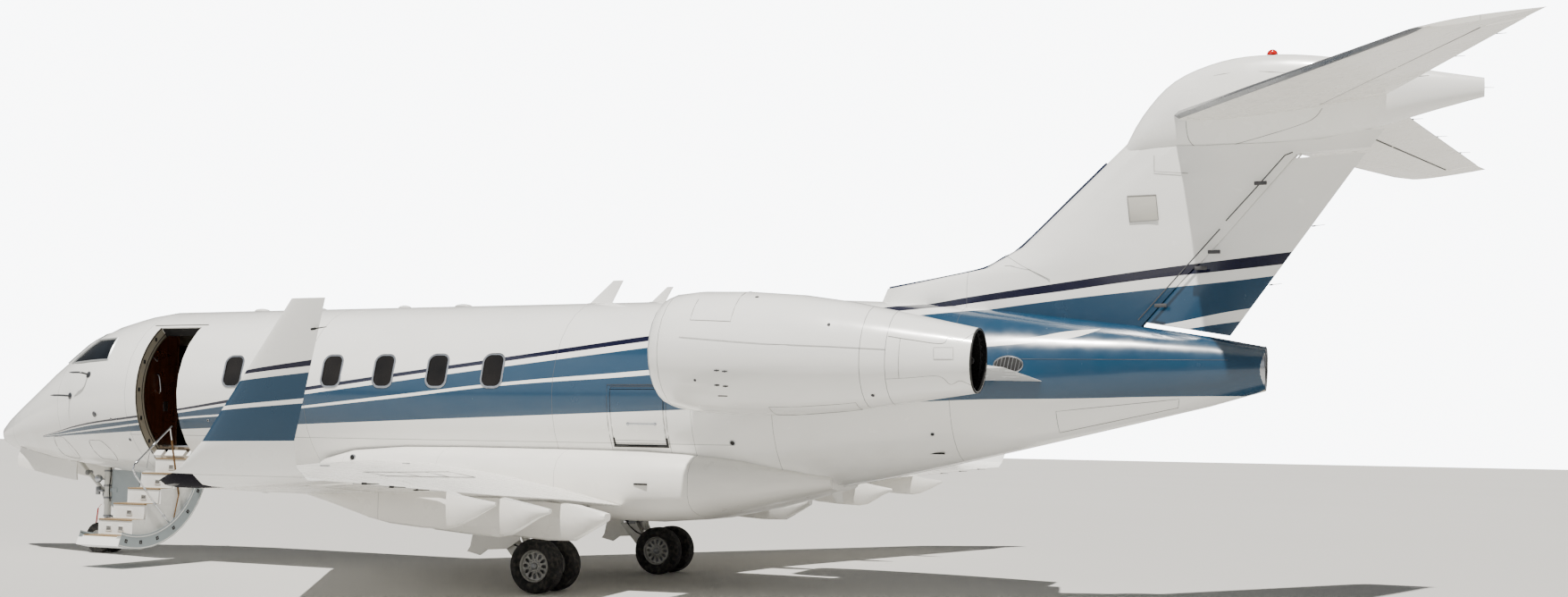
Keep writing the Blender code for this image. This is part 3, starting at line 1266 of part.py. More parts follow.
def build_pylon(side, label, nacelle_cut):
    """The pylon between the fuselage and the nacelle."""
    rings = []
    for y, lead, trail, lead_z, trail_z, half in PYLON_SECTIONS:
        row = (y, lead, trail, lead_z, trail_z, 2 * half / (trail - lead))
        rings.append(lifting_ring(row, side, 0.0))
    pylon = place(f"pylon_{label}", loft_mesh(f"pylon_{label}", rings), WHITE_PAINT)
    combine(pylon, BODY_CUT)
    combine(pylon, nacelle_cut)


def duct_radius(along):
    """The radius of a ring that fits the nacelle's duct at a distance behind the inlet."""
    for behind, ahead in zip(NACELLE_INNER, NACELLE_INNER[1:]):
        if ahead[0] <= along <= behind[0]:
            share = (along - ahead[0]) / (behind[0] - ahead[0])
            return ahead[1] + share * (behind[1] - ahead[1]) - 1.2 * FIT_GAP
    return NACELLE_INNER[-1][1]


def build_core(side, label, inlet, axis):
    """The engine as a plain block with the ring that holds it in the nacelle and its exhaust cone."""
    start = FAN_FACE + FAN_DEPTH + 0.070
    widest = NACELLE_INNER[3][0]
    ring_start = start + 0.10
    ring_end = start + 0.30
    profile = [(start, 0.0), (start, 0.150), (ring_start, 0.150), (ring_start, duct_radius(ring_start)),
               (widest, duct_radius(widest)), (ring_end, duct_radius(ring_end)), (start + 0.34, 0.330),
               (2.300, 0.300), (2.700, 0.240), (3.000, 0.150), (3.430, 0.0)]
    core = lathe_mesh(f"engine_{label}", profile, NACELLE_POINTS, inlet, axis)
    place(f"engine_{label}", core, ENGINE_METAL)


def star_ring(centre, axis, turn, hub, tip, blades):
    """A ring that runs out to the tip and back to the hub once for each blade."""
    shares = (0.00, 0.04, 0.30, 0.34)
    radii = (hub, tip, tip, hub)
    helper = Vector((0, 0, 1))
    across = axis.cross(helper).normalized()
    upward = across.cross(axis)
    ring = []
    for blade in range(blades):
        for share, radius in zip(shares, radii):
            angle = 2 * math.pi * (blade + share) / blades + turn
            ring.append(centre + radius * (math.cos(angle) * across + math.sin(angle) * upward))
    return ring


def build_fan(side, label):
    """The fan with its blades and its spinner, on the engine's axis."""
    axis = nacelle_axis()
    front = nacelle_point(side, FAN_FACE)
    rear = nacelle_point(side, FAN_FACE + FAN_DEPTH)
    shaft_end = nacelle_point(side, FAN_FACE + FAN_DEPTH + 0.070 - FIT_GAP)
    twist = math.radians(9)
    rings = [star_ring(shaft_end, axis, -twist, 0.06, 0.06, FAN_BLADES),
             star_ring(rear + axis * 0.010, axis, -twist, 0.12, 0.12, FAN_BLADES),
             star_ring(rear, axis, -twist, FAN_HUB, FAN_HUB, FAN_BLADES),
             star_ring(rear, axis, -twist, FAN_HUB, FAN_TIP, FAN_BLADES),
             star_ring(front, axis, twist, FAN_HUB, FAN_TIP, FAN_BLADES),
             star_ring(front, axis, twist, FAN_HUB, FAN_HUB, FAN_BLADES)]
    points, faces = loft(rings, cap_end=False)
    base = (len(rings) - 1) * len(rings[0])
    count = len(rings[0])
    points.append(nacelle_point(side, FAN_FACE - 0.230))
    apex = len(points) - 1
    for step in range(count):
        faces.append((base + step, base + (step + 1) % count, apex))
    place(f"fan_{label}", build_mesh(f"fan_{label}", points, faces), BARE_METAL, front)


def wheel_pair_profile(radius, width, offset, sleeve, rim):
    """Distance along the axle and radius for two wheels joined by their sleeve."""
    half = width / 2
    near = offset - half
    far = offset + half
    outer = [(near, rim), (near, radius - 0.040), (near + 0.040, radius), (far - 0.040, radius),
             (far, radius - 0.040), (far, rim), (far - 0.050, rim - 0.015), (far - 0.020, 0.070),
             (far - 0.020, 0.0)]
    right = [(offset - half + 0.020, sleeve), (offset - half + 0.020, rim - 0.015)] + outer
    left = [(-along, size) for along, size in reversed(right)]
    return left + right


MAIN_ARM = ((9.98, 0.66), (10.06, 0.72), (10.20, 0.70), (10.36, 0.46), (10.60, 0.41), (10.67, 0.405),
            (10.735, 0.34), (10.71, 0.25), (10.59, 0.245), (10.24, 0.37))
MAIN_DOOR = ((9.75, 0.93), (9.66, 0.50), (9.62, 0.44), (9.80, 0.40), (9.90, 0.47), (10.17, 0.49),
             (10.34, 0.60), (10.36, 1.00), (9.88, 1.00), (9.86, 0.93))
MAIN_DOOR_REACH = 0.078
MAIN_DOOR_DEPTH = 0.020


def build_main_gear(side, label):
    """One main leg with its trailing arm, its door and its pair of wheels."""
    axle = Vector((MAIN_AXLE[0], side * MAIN_AXLE[1], MAIN_AXLE[2]))
    y = axle.y
    profile = wheel_pair_profile(MAIN_TYRE_RADIUS, MAIN_TYRE_WIDTH, MAIN_WHEEL_OFFSET, MAIN_SLEEVE_RADIUS,
                                 0.215)
    wheels = lathe_mesh(f"main_wheels_{label}", profile, WHEEL_POINTS, axle, (0, side, 0))
    place(f"main_wheels_{label}", wheels, TYRE_RUBBER, axle)
    post = rod_mesh(f"main_leg_{label}", (MAIN_POST_X, y, MAIN_POST_LOW),
                    (MAIN_POST_X, y, WELL_ROOF - FIT_GAP), 0.075, 12)
    leg = place(f"main_leg_{label}", post, GEAR_METAL)
    half = 0.045
    arm = prism_mesh(f"add_arm_{label}", [(x, 0, z) for x, z in MAIN_ARM], (0, y - half, 0), (0, 2 * half, 0))
    combine(leg, make_tool(f"add_arm_{label}", arm), "UNION")
    shock = rod_mesh(f"add_shock_{label}", (axle.x - 0.17, y, axle.z + 0.06),
                     (MAIN_POST_X + 0.055, y, 0.98), 0.046, 8)
    combine(leg, make_tool(f"add_shock_{label}", shock), "UNION")
    trunnion = rod_mesh(f"add_trunnion_{label}", (MAIN_POST_X - 0.22, y, 1.035),
                        (MAIN_POST_X + 0.22, y, 1.035), 0.050, 8)
    combine(leg, make_tool(f"add_trunnion_{label}", trunnion), "UNION")
    bore_radius = (MAIN_SLEEVE_RADIUS + 0.0004) / math.cos(math.pi / WHEEL_POINTS)
    bore = rod_mesh(f"cut_axle_{label}", axle - Vector((0, 0.1, 0)), axle + Vector((0, 0.1, 0)),
                    bore_radius, WHEEL_POINTS)
    combine(leg, make_tool(f"cut_axle_{label}", bore))
    build_main_door(side, label, y)


def build_main_door(side, label, y):
    """The door panel carried by one main leg."""
    door_y = y + side * MAIN_DOOR_REACH
    low_y = min(door_y, door_y + side * MAIN_DOOR_DEPTH)
    panel = prism_mesh(f"main_gear_door_{label}", [(x, 0, z) for x, z in MAIN_DOOR], (0, low_y, 0),
                       (0, MAIN_DOOR_DEPTH, 0))
    door = place(f"main_gear_door_{label}", panel, BELLY_PAINT)
    bracket_y = sorted((y, door_y + side * MAIN_DOOR_DEPTH / 2))
    bracket = box_mesh(f"add_door_bracket_{label}", (MAIN_POST_X - 0.03, bracket_y[0], 0.78),
                       (MAIN_POST_X + 0.03, bracket_y[1], 0.84))
    combine(door, make_tool(f"add_door_bracket_{label}", bracket), "UNION")
    seat = rod_mesh(f"cut_door_seat_{label}", (MAIN_POST_X, y, 0.5), (MAIN_POST_X, y, 1.2),
                    0.075 + FIT_GAP, 12)
    combine(door, make_tool(f"cut_door_seat_{label}", seat))


def build_nose_gear():
    """The nose leg, its steered fork, its pair of wheels and its doors."""
    x, _, axle_z = NOSE_AXLE
    inner_roof = NOSE_BAY_ROOF - NOSE_BAY_WALL - 2 * FIT_GAP
    inner_half = NOSE_BAY_HALF_WIDTH - NOSE_BAY_WALL - 2 * FIT_GAP
    upper = rod_mesh("nose_leg", (x, 0, NOSE_COLLAR_HIGH), (x, 0, inner_roof), 0.060, 12)
    leg = place("nose_leg", upper, GEAR_METAL)
    trunnion = rod_mesh("add_nose_trunnion", (x, -inner_half, 1.46), (x, inner_half, 1.46), 0.040, 8)
    combine(leg, make_tool("add_nose_trunnion", trunnion), "UNION")
    brace = rod_mesh("add_nose_brace", (x - 0.03, 0, 0.86), (x - 0.75, 0, 1.50), 0.032, 8)
    combine(leg, make_tool("add_nose_brace", brace), "UNION")
    lug = box_mesh("add_brace_lug", (x - 0.81, -0.05, 1.46), (x - 0.69, 0.05, inner_roof))
    combine(leg, make_tool("add_brace_lug", lug), "UNION")
    collar = rod_mesh("nose_fork", (x, 0, NOSE_COLLAR_LOW - 0.10), (x, 0, NOSE_COLLAR_HIGH - FIT_GAP),
                      0.052, 12)
    fork = place("nose_fork", collar, GEAR_METAL, (x, 0, NOSE_COLLAR_LOW))
    piston = rod_mesh("add_nose_piston", (x, 0, axle_z - 0.02), (x, 0, NOSE_COLLAR_LOW), 0.038, 12)
    combine(fork, make_tool("add_nose_piston", piston), "UNION")
    block = box_mesh("add_axle_block", (x - 0.055, -0.045, axle_z - 0.055),
                     (x + 0.055, 0.045, axle_z + 0.085))
    combine(fork, make_tool("add_axle_block", block), "UNION")
    sleeve = 0.032
    bore_radius = (sleeve + 0.0004) / math.cos(math.pi / NOSE_WHEEL_POINTS)
    bore = rod_mesh("cut_nose_axle", (x, -0.1, axle_z), (x, 0.1, axle_z), bore_radius, NOSE_WHEEL_POINTS)
    combine(fork, make_tool("cut_nose_axle", bore))
    profile = wheel_pair_profile(NOSE_TYRE_RADIUS, NOSE_TYRE_WIDTH, NOSE_WHEEL_OFFSET, sleeve, 0.118)
    wheels = lathe_mesh("nose_wheels", profile, NOSE_WHEEL_POINTS, NOSE_AXLE, (0, 1, 0))
    place("nose_wheels", wheels, TYRE_RUBBER, NOSE_AXLE)
    torque = box_mesh("add_torque_link", (x + 0.03, -0.030, 0.30), (x + 0.14, 0.030, 0.34))
    combine(fork, make_tool("add_torque_link", torque), "UNION")
    panel = [(2.23, 0, 1.24), (2.235, 0, 0.70), (2.28, 0, 0.66), (2.74, 0, 0.78), (2.78, 0, 1.22)]
    plate = prism_mesh("nose_leg_door", panel, (0, -0.012, 0), (0, 0.024, 0))
    door = place("nose_leg_door", plate, BELLY_PAINT)
    bracket = box_mesh("add_leg_door_bracket", (x, -0.020, 0.90), (2.34, 0.020, 0.96))
    combine(door, make_tool("add_leg_door_bracket", bracket), "UNION")
    seat = rod_mesh("cut_leg_door_seat", (x, 0, 0.7), (x, 0, 1.3), 0.060 + FIT_GAP, 12)
    combine(door, make_tool("cut_leg_door_seat", seat))
    combine(door, BODY_CUT)
    for side, label in ((PORT, "port"), (STARBOARD, "starboard")):
        build_nose_door(side, label)


def belly_height(station, y, grow=0.0):
    """The height of the fuselage underside at a station and width."""
    _, _, bottom, middle, half_width = fuselage_row(station)
    return middle - (middle - bottom + grow) * math.sqrt(max(1 - (y / (half_width + grow)) ** 2, 0.0))


def build_nose_door(side, label):
    """One forward nose gear door, hanging open from the edge of the bay."""
    name = f"nose_gear_door_{label}"
    outer_y = NOSE_BAY_HALF_WIDTH - 0.006
    stations = [NOSE_DOOR_X0] + stations_between(NOSE_DOOR_X0, NOSE_DOOR_X1) + [NOSE_DOOR_X1]
    rings = []
    for station in stations:
        hinge_z = belly_height(station, outer_y)
        turn = turn_about_x(side * outer_y, hinge_z, NOSE_DOOR_OPEN_ANGLE * side)
        low = []
        high = []
        for y in (0.004, NOSE_DOOR_MIDDLE_Y, outer_y):
            z = belly_height(station, y)
            low.append(turn @ Vector((station, side * y, z)))
            high.append(turn @ Vector((station, side * y, z + NOSE_DOOR_DEPTH)))
        rings.append(low + list(reversed(high)))
    door = place(name, loft_mesh(name, rings), BELLY_PAINT)
    for index, x in enumerate((NOSE_DOOR_X0 + 0.12, NOSE_DOOR_X1 - 0.18)):
        lug_name = f"add_nose_door_lug_{label}_{index}"
        hinge_z = belly_height(x, outer_y)
        edges = sorted((side * (outer_y - 0.018), side * (NOSE_BAY_HALF_WIDTH - FIT_GAP)))
        lug = box_mesh(lug_name, (x, edges[0], hinge_z - 0.030), (x + 0.060, edges[1], hinge_z + 0.006))
        combine(door, make_tool(lug_name, lug), "UNION")


def build_antennas():
    """Blade antennas seated on the crown."""
    crown = FUSELAGE_AXIS_Z + FUSELAGE_RADIUS + FIT_GAP
    blades = (("antenna_forward", 10.27, 0.33, 0.29, 0.34), ("antenna_aft", 11.16, 0.20, 0.19, 0.22))
    for name, x, chord, height, sweep in blades:
        foot = [(x, 0.0), (x + 0.4 * chord, 0.016), (x + chord, 0.003), (x + chord, -0.003),
                (x + 0.4 * chord, -0.016)]
        tip = [(x + sweep + 0.45 * (px - x), 0.5 * py) for px, py in foot]
        rings = [[(px, py, crown) for px, py in foot], [(px, py, crown + height) for px, py in tip]]
        place(name, loft_mesh(name, rings), WHITE_PAINT)


BODY_CUT = fuselage_solid("cut_fuselage", FIT_GAP)
BAY_LINE = fuselage_solid("bound_bay", -0.030)
LINING_LINE = fuselage_solid("bound_lining", -CABIN_WALL - 0.0185)
FAIRING_CUT = make_tool("cut_fairing", fairing_mesh("cut_fairing", FIT_GAP))
WELL_CUTS = {}
for well_side, well_label in ((PORT, "port"), (STARBOARD, "starboard")):
    WELL_CUTS[well_label] = []
    for part_name, far_x, near_y, far_y in (("well", WELL_X1, WELL_Y0, WELL_Y1),
                                            ("leg_slot", LEG_SLOT_X1, WELL_Y1 - 0.10, LEG_SLOT_Y1)):
        corner_y = sorted((well_side * near_y, well_side * far_y))
        well_name = f"cut_{part_name}_{well_label}"
        WELL_CUTS[well_label].append(make_tool(well_name, box_mesh(
            well_name, (WELL_X0, corner_y[0], 0.4), (far_x, corner_y[1], WELL_ROOF))))

build_radome()
build_cockpit_shell()
build_nose_bay()
build_cabin_shells()
build_tail_shell()
build_airstair()
build_baggage_door()
build_floor()
build_interior()
build_window_belts()
build_belly_fairing()
for wing_side, wing_label in ((PORT, "port"), (STARBOARD, "starboard")):
    build_wing(wing_side, wing_label)
    build_winglet(wing_side, wing_label)
    build_engine(wing_side, wing_label)
    build_main_gear(wing_side, wing_label)
build_fin()
build_stabilizer()
build_nose_gear()
build_antennas()
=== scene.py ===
"""Business jet on its gear with the airstair down: the visual model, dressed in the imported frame."""

import json
import logging
import math
from collections.abc import Sequence
from dataclasses import dataclass
from enum import Enum

import bmesh
import bpy
from mathutils import Matrix, Vector

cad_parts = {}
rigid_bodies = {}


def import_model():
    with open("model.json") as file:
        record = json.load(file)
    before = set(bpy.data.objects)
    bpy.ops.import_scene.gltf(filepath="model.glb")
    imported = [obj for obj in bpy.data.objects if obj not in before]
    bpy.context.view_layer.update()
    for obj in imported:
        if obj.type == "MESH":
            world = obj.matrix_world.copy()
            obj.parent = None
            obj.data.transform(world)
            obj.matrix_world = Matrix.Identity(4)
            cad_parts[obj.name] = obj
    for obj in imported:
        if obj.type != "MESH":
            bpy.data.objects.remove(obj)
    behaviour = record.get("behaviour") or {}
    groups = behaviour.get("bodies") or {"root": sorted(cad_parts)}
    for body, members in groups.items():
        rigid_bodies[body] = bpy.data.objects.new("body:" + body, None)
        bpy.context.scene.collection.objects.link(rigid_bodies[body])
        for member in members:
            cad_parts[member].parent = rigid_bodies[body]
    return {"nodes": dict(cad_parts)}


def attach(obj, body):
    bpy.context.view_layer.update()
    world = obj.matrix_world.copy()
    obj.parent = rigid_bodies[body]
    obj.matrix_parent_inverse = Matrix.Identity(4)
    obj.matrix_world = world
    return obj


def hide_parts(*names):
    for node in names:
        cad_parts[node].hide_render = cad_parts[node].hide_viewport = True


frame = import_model()

Point = tuple[float, float, float]
Pair = tuple[float, float]
Points = tuple[Point, ...]
Pairs = tuple[Pair, ...]
Colour = tuple[float, float, float]
NOSE = -10.46
CABIN_RADIUS = 1.213
CABIN_AXIS = 2.35
LOG = logging.getLogger("business_jet")


def at(x: float, y: float, z: float) -> Vector:
    """Turn a station, a side distance and a height into a place in the shared frame."""
    return Vector((x + NOSE, y, z))


def tint(red: int, green: int, blue: int) -> Colour:
    """Turn a colour chip's 0 to 255 values into shader values."""
    return tuple((c / 255) ** 2.2 for c in (red, green, blue))


def blend_table(rows: Sequence[Sequence[float]], key: float) -> list[float]:
    """Read a table of rows at a key between them.

    Args:
        rows: Rows in rising order of their first value.
        key: Where to read.

    Returns:
        The row's other values there.
    """
    if key <= rows[0][0]:
        return list(rows[0][1:])
    for low, high in zip(rows, rows[1:]):
        if key <= high[0]:
            share = (key - low[0]) / (high[0] - low[0])
            return [a + (b - a) * share for a, b in zip(low[1:], high[1:])]
    return list(rows[-1][1:])


def rounded(points: Sequence[Sequence[float]], steps: int = 6, closed: bool = False) -> list[Point]:
    """Run a smooth line through a few points.

    Args:
        points: The points that the line passes through.
        steps: How many stretches each gap is cut into.
        closed: Whether the line returns to its start.

    Returns:
        The points of the smooth line.
    """
    knots = [Vector(p) for p in points]
    count = len(knots)
    out = []
    for i in range(count if closed else count - 1):
        if closed:
            a, b, c, d = (knots[(i + k) % count] for k in (-1, 0, 1, 2))
        else:
            a, b, c, d = (knots[min(max(i + k, 0), count - 1)] for k in (-1, 0, 1, 2))
        for s in range(steps):
            t = s / steps
            out.append(tuple(0.5 * (2 * b + (c - a) * t + (2 * a - 5 * b + 4 * c - d) * t * t
                                    + (3 * b - a - 3 * c + d) * t ** 3)))
    if not closed:
        out.append(tuple(knots[-1]))
    return out


def corner_box(width: float, height: float, corner: float, steps: int = 4) -> list[Pair]:
    """Draw a rectangle with round corners about zero.

    Args:
        width: Whole width.
        height: Whole height.
        corner: Corner radius.
        steps: Stretches in each corner.

    Returns:
        The outline, anticlockwise.
    """
    out = []
    for turn, (sx, sy) in enumerate(((1, 1), (-1, 1), (-1, -1), (1, -1))):
        for s in range(steps + 1):
            angle = math.pi / 2 * (turn + s / steps)
            out.append((sx * (width / 2 - corner) + corner * math.cos(angle),
                        sy * (height / 2 - corner) + corner * math.sin(angle)))
    return out


class Side(Enum):
    """The two sides of the jet, with the sign of their side distance."""

    PORT = -1
    STARBOARD = 1

    @property
    def label(self) -> str:
        """Return the side's name as the nodes spell it."""
        return self.name.lower()


class Bench:
    """The modelling bench: primitives that are placed and shaped, and come back at the origin."""

    @staticmethod
    def clear() -> None:
        """Leave edit mode and let go of everything."""
        if bpy.context.object and bpy.context.object.mode != "OBJECT":
            bpy.ops.object.mode_set(mode="OBJECT")
        bpy.ops.object.select_all(action="DESELECT")

    @staticmethod
    def hold(piece: bpy.types.Object) -> None:
        """Select one piece alone and make it active.

        Args:
            piece: The piece.
        """
        Bench.clear()
        piece.select_set(True)
        bpy.context.view_layer.objects.active = piece

    @staticmethod
    def seat(name: str) -> bpy.types.Object:
        """Put the new primitive's place into its mesh and name it.

        Args:
            name: The piece's name.

        Returns:
            The piece.
        """
        bpy.ops.object.transform_apply(location=True, rotation=True, scale=True)
        piece = bpy.context.object
        piece.name = name
        piece.data.name = name
        return piece

    @staticmethod
    def edit(action: str = "SELECT") -> None:
        """Go into edit mode with everything selected, or nothing."""
        bpy.ops.object.mode_set(mode="EDIT")
        bpy.ops.mesh.select_all(action=action)

    @staticmethod
    def tidy(gap: float = 1e-5) -> None:
        """Merge doubled points, turn the faces out and leave edit mode.

        Args:
            gap: Points nearer than this are merged.
        """
        bpy.ops.mesh.select_all(action="SELECT")
        bpy.ops.mesh.remove_doubles(threshold=gap)
        bpy.ops.mesh.normals_make_consistent(inside=False)
        bpy.ops.object.mode_set(mode="OBJECT")

    @staticmethod
    def block(name: str, low: Point, high: Point, bevel: float = 0.004,
              segments: int = 2) -> bpy.types.Object:
        """Make a block with eased edges.

        Args:
            name: The piece's name.
            low: Its lowest corner, as station, side and height.
            high: Its highest corner.
            bevel: How far the edges are eased.
            segments: Faces across each eased edge.

        Returns:
            The piece.
        """
        Bench.clear()
        centre = at(*[(a + b) / 2 for a, b in zip(low, high)])
        bpy.ops.mesh.primitive_cube_add(size=1.0, location=centre, scale=[b - a for a, b in zip(low, high)])
        piece = Bench.seat(name)
        Bench.edit()
        bpy.ops.mesh.bevel(offset=bevel, segments=segments, affect="EDGES", clamp_overlap=True)
        bpy.ops.object.mode_set(mode="OBJECT")
        return piece

    @staticmethod
    def rod(name: str, start: Point, end: Point, radius: float, end_radius: float | None = None,
            sides: int = 16, ease: float = 0.0) -> bpy.types.Object:
        """Make a round bar between two places.

        Args:
            name: The piece's name.
            start: The middle of its first end.
            end: The middle of its other end.
            radius: Radius at the first end.
            end_radius: Radius at the other end, if it differs.
            sides: Faces round it.
            ease: How far its rims are eased.

        Returns:
            The piece.
        """
        Bench.clear()
        a, b = at(*start), at(*end)
        turn = (b - a).to_track_quat("Z", "Y").to_euler()
        bpy.ops.mesh.primitive_cone_add(vertices=sides, radius1=radius, depth=(b - a).length,
                                        radius2=radius if end_radius is None else end_radius,
                                        location=(a + b) / 2, rotation=turn)
        piece = Bench.seat(name)
        Bench.ease(piece, ease or radius * 0.12, 50)
        return piece

    @staticmethod
    def ease(piece: bpy.types.Object, width: float, angle: float = 35) -> bpy.types.Object:
        """Ease a piece's sharp edges with a bevel and apply it.

        Args:
            piece: The piece.
            width: How far from the edge.
            angle: Edges sharper than this are eased, in degrees.

        Returns:
            The piece.
        """
        Bench.hold(piece)
        bevel = piece.modifiers.new("ease", "BEVEL")
        bevel.width = width
        bevel.segments = 2
        bevel.limit_method = "ANGLE"
        bevel.angle_limit = math.radians(angle)
        bpy.ops.object.modifier_apply(modifier="ease")
        return piece

    @staticmethod
    def ring(places: Sequence[Vector], filled: bool) -> bpy.types.Object:
        """Add a circle and draw it out to an outline.

        Args:
            places: The outline's places in the shared frame.
            filled: Whether the outline has a face.

        Returns:
            The new object, active.
        """
        Bench.clear()
        bpy.ops.mesh.primitive_circle_add(vertices=len(places), location=(0, 0, 0),
                                          fill_type="NGON" if filled else "NOTHING")
        piece = bpy.context.object
        for vertex, place in zip(piece.data.vertices, places):
            vertex.co = place
        return piece

    @staticmethod
    def plate(name: str, outline: Sequence[Point], depth: Point, ease: float = 0.0) -> bpy.types.Object:
        """Cut a plate to an outline and give it thickness.

        Args:
            name: The piece's name.
            outline: Its corners, as stations, sides and heights.
            depth: The way and distance that it is extruded.
            ease: How far its edges are eased.

        Returns:
            The piece.
        """
        piece = Bench.ring([at(*p) for p in outline], True)
        Bench.edit()
        bpy.ops.mesh.extrude_region_move(TRANSFORM_OT_translate={"value": depth})
        Bench.tidy()
        piece = Bench.seat(name)
        return Bench.ease(piece, ease) if ease else piece

    @staticmethod
    def turned(name: str, profile: Sequence[Pair], centre: Point, axis: Point = (0, 1, 0), steps: int = 48,
               closed: bool = False) -> bpy.types.Object:
        """Turn a profile about an axis, as on a lathe.

        Args:
            name: The piece's name.
            profile: Distances along the axis and out from it.
            centre: Where the axis starts.
            axis: Its direction.
            steps: Faces round the piece.
            closed: Whether the profile's last point joins its first.

        Returns:
            The piece.
        """
        along = Vector(axis).normalized()
        out = along.orthogonal().normalized()
        middle = at(*centre)
        piece = Bench.ring([middle + along * a + out * r for a, r in profile], False)
        Bench.edit("DESELECT")
        if not closed:
            mesh = bmesh.from_edit_mesh(piece.data)
            mesh.verts.ensure_lookup_table()
            ends = {mesh.verts[0], mesh.verts[-1]}
            for edge in mesh.edges:
                edge.select = set(edge.verts) == ends
            bpy.ops.mesh.delete(type="EDGE")
        bpy.ops.mesh.select_all(action="SELECT")
        bpy.ops.mesh.spin(steps=steps, angle=math.tau, center=middle, axis=along)
        Bench.tidy()
        return Bench.seat(name)

    @staticmethod
    def net(name: str, rows: Sequence[Sequence[Sequence[float]]], loop: bool = True,
            caps: bool = True) -> bpy.types.Object:
        """Draw a grid out over rows of places, as a skin over ribs.

        Args:
            name: The piece's name.
            rows: Rows of stations, sides and heights, all of one length.
            loop: Whether each row is a closed ring.
            caps: Whether open ends are filled.

        Returns:
            The piece.
        """
        rows = [list(row) + ([row[0]] if loop else []) for row in rows]
        Bench.clear()
        bpy.ops.mesh.primitive_grid_add(x_subdivisions=len(rows[0]) - 1, y_subdivisions=len(rows) - 1,
                                        location=(0, 0, 0))
        piece = bpy.context.object
        for vertex, place in zip(piece.data.vertices, (p for row in rows for p in row)):
            vertex.co = at(*place)
        Bench.edit()
        bpy.ops.mesh.remove_doubles(threshold=1e-5)
        if caps:
            bpy.ops.mesh.select_all(action="DESELECT")
            bpy.ops.mesh.select_mode(type="EDGE")
            bpy.ops.mesh.select_non_manifold(use_wire=False, use_multi_face=False, use_verts=False)
            bpy.ops.mesh.edge_face_add()
            bpy.ops.mesh.select_mode(type="VERT")
        Bench.tidy()
        return Bench.seat(name)

    @staticmethod
    def pipe(name: str, path: Sequence[Sequence[float]], radius: float, sides: int = 2,
             closed: bool = False) -> bpy.types.Object:
        """Run a round tube along a path.

        Args:
            name: The piece's name.
            path: Its places, as stations, sides and heights.
            radius: The tube's radius.
            sides: The tube's smoothness.
            closed: Whether the path returns to its start.

        Returns:
            The piece, as a mesh.
        """
        Bench.clear()
        curve = bpy.data.curves.new(name, "CURVE")
        curve.dimensions = "3D"
        curve.bevel_depth = radius
        curve.bevel_resolution = sides
        curve.use_fill_caps = True
        line = curve.splines.new("POLY")
        line.points.add(len(path) - 1)
        for point, place in zip(line.points, path):
            point.co = (*at(*place), 1.0)
        line.use_cyclic_u = closed
        piece = bpy.data.objects.new(name, curve)
        bpy.context.scene.collection.objects.link(piece)
        Bench.hold(piece)
        bpy.ops.object.convert(target="MESH")
        return Bench.seat(name)

    @staticmethod
    def copy(piece: bpy.types.Object, move: Matrix, flip: bool = False) -> bpy.types.Object:
        """Copy a piece with its own mesh.

        Args:
            piece: The piece.
            move: How the copy's points are moved.
            flip: Whether the move mirrors, so the faces are turned back out.

        Returns:
            The copy.
        """
        twin = bpy.data.objects.new(piece.name, piece.data.copy())
        bpy.context.scene.collection.objects.link(twin)
        twin.data.transform(move)
        if flip:
            twin.data.flip_normals()
        return twin

    @staticmethod
    def shift(piece: bpy.types.Object, x: float, y: float = 0.0, z: float = 0.0) -> bpy.types.Object:
        """Copy a piece to one side."""
        return Bench.copy(piece, Matrix.Translation((x, y, z)))

    @staticmethod
    def mirror(piece: bpy.types.Object) -> bpy.types.Object:
        """Copy a piece to the other side of the jet."""
        return Bench.copy(piece, Matrix.Scale(-1, 4, (0, 1, 0)), True)

    @staticmethod
    def around(piece: bpy.types.Object, centre: Point, axis: Point, count: int,
               first: float = 0.0) -> list[bpy.types.Object]:
        """Copy a piece round an axis.

        Args:
            piece: The piece, which is the first of the ring.
            centre: A place on the axis.
            axis: Its direction.
            count: How many there are in all.
            first: The turn of the first copy, in degrees.

        Returns:
            The piece and its copies.
        """
        middle = Matrix.Translation(at(*centre))
        out = []
        for i in range(count):
            turn = Matrix.Rotation(math.radians(first) + math.tau * i / count, 4, Vector(axis))
            out.append(Bench.copy(piece, middle @ turn @ middle.inverted()))
        bpy.data.objects.remove(piece)
        return out

    @staticmethod
    def join(name: str, pieces: Sequence[bpy.types.Object]) -> bpy.types.Object:
        """Join pieces into one.

        Args:
            name: The joined piece's name.
            pieces: The pieces.

        Returns:
            The joined piece.
        """
        Bench.hold(pieces[0])
        for piece in pieces[1:]:
            piece.select_set(True)
        if len(pieces) > 1:
            bpy.ops.object.join()
        pieces[0].name = name
        pieces[0].data.name = name
        return pieces[0]

    @staticmethod
    def dress(piece: bpy.types.Object, body: str, slot: str, material: bpy.types.Material,
              angle: float = 35.0, nodes: Sequence[str] = ()) -> bpy.types.Object:
        """Give a finished piece its look and the body that carries it.

        Args:
            piece: The piece.
            body: The body that it rides on.
            slot: The record's material slot; not used.
            material: Its material.
            angle: Edges sharper than this stay crisp, in degrees.
            nodes: The nodes that it stands for.

        Returns:
            The piece.
        """
        piece.data.materials.clear()
        piece.data.materials.append(material)
        Bench.hold(piece)
        bpy.ops.object.shade_smooth_by_angle(angle=math.radians(angle))
        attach(piece, body)
        if nodes:
            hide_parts(*nodes)
        return piece


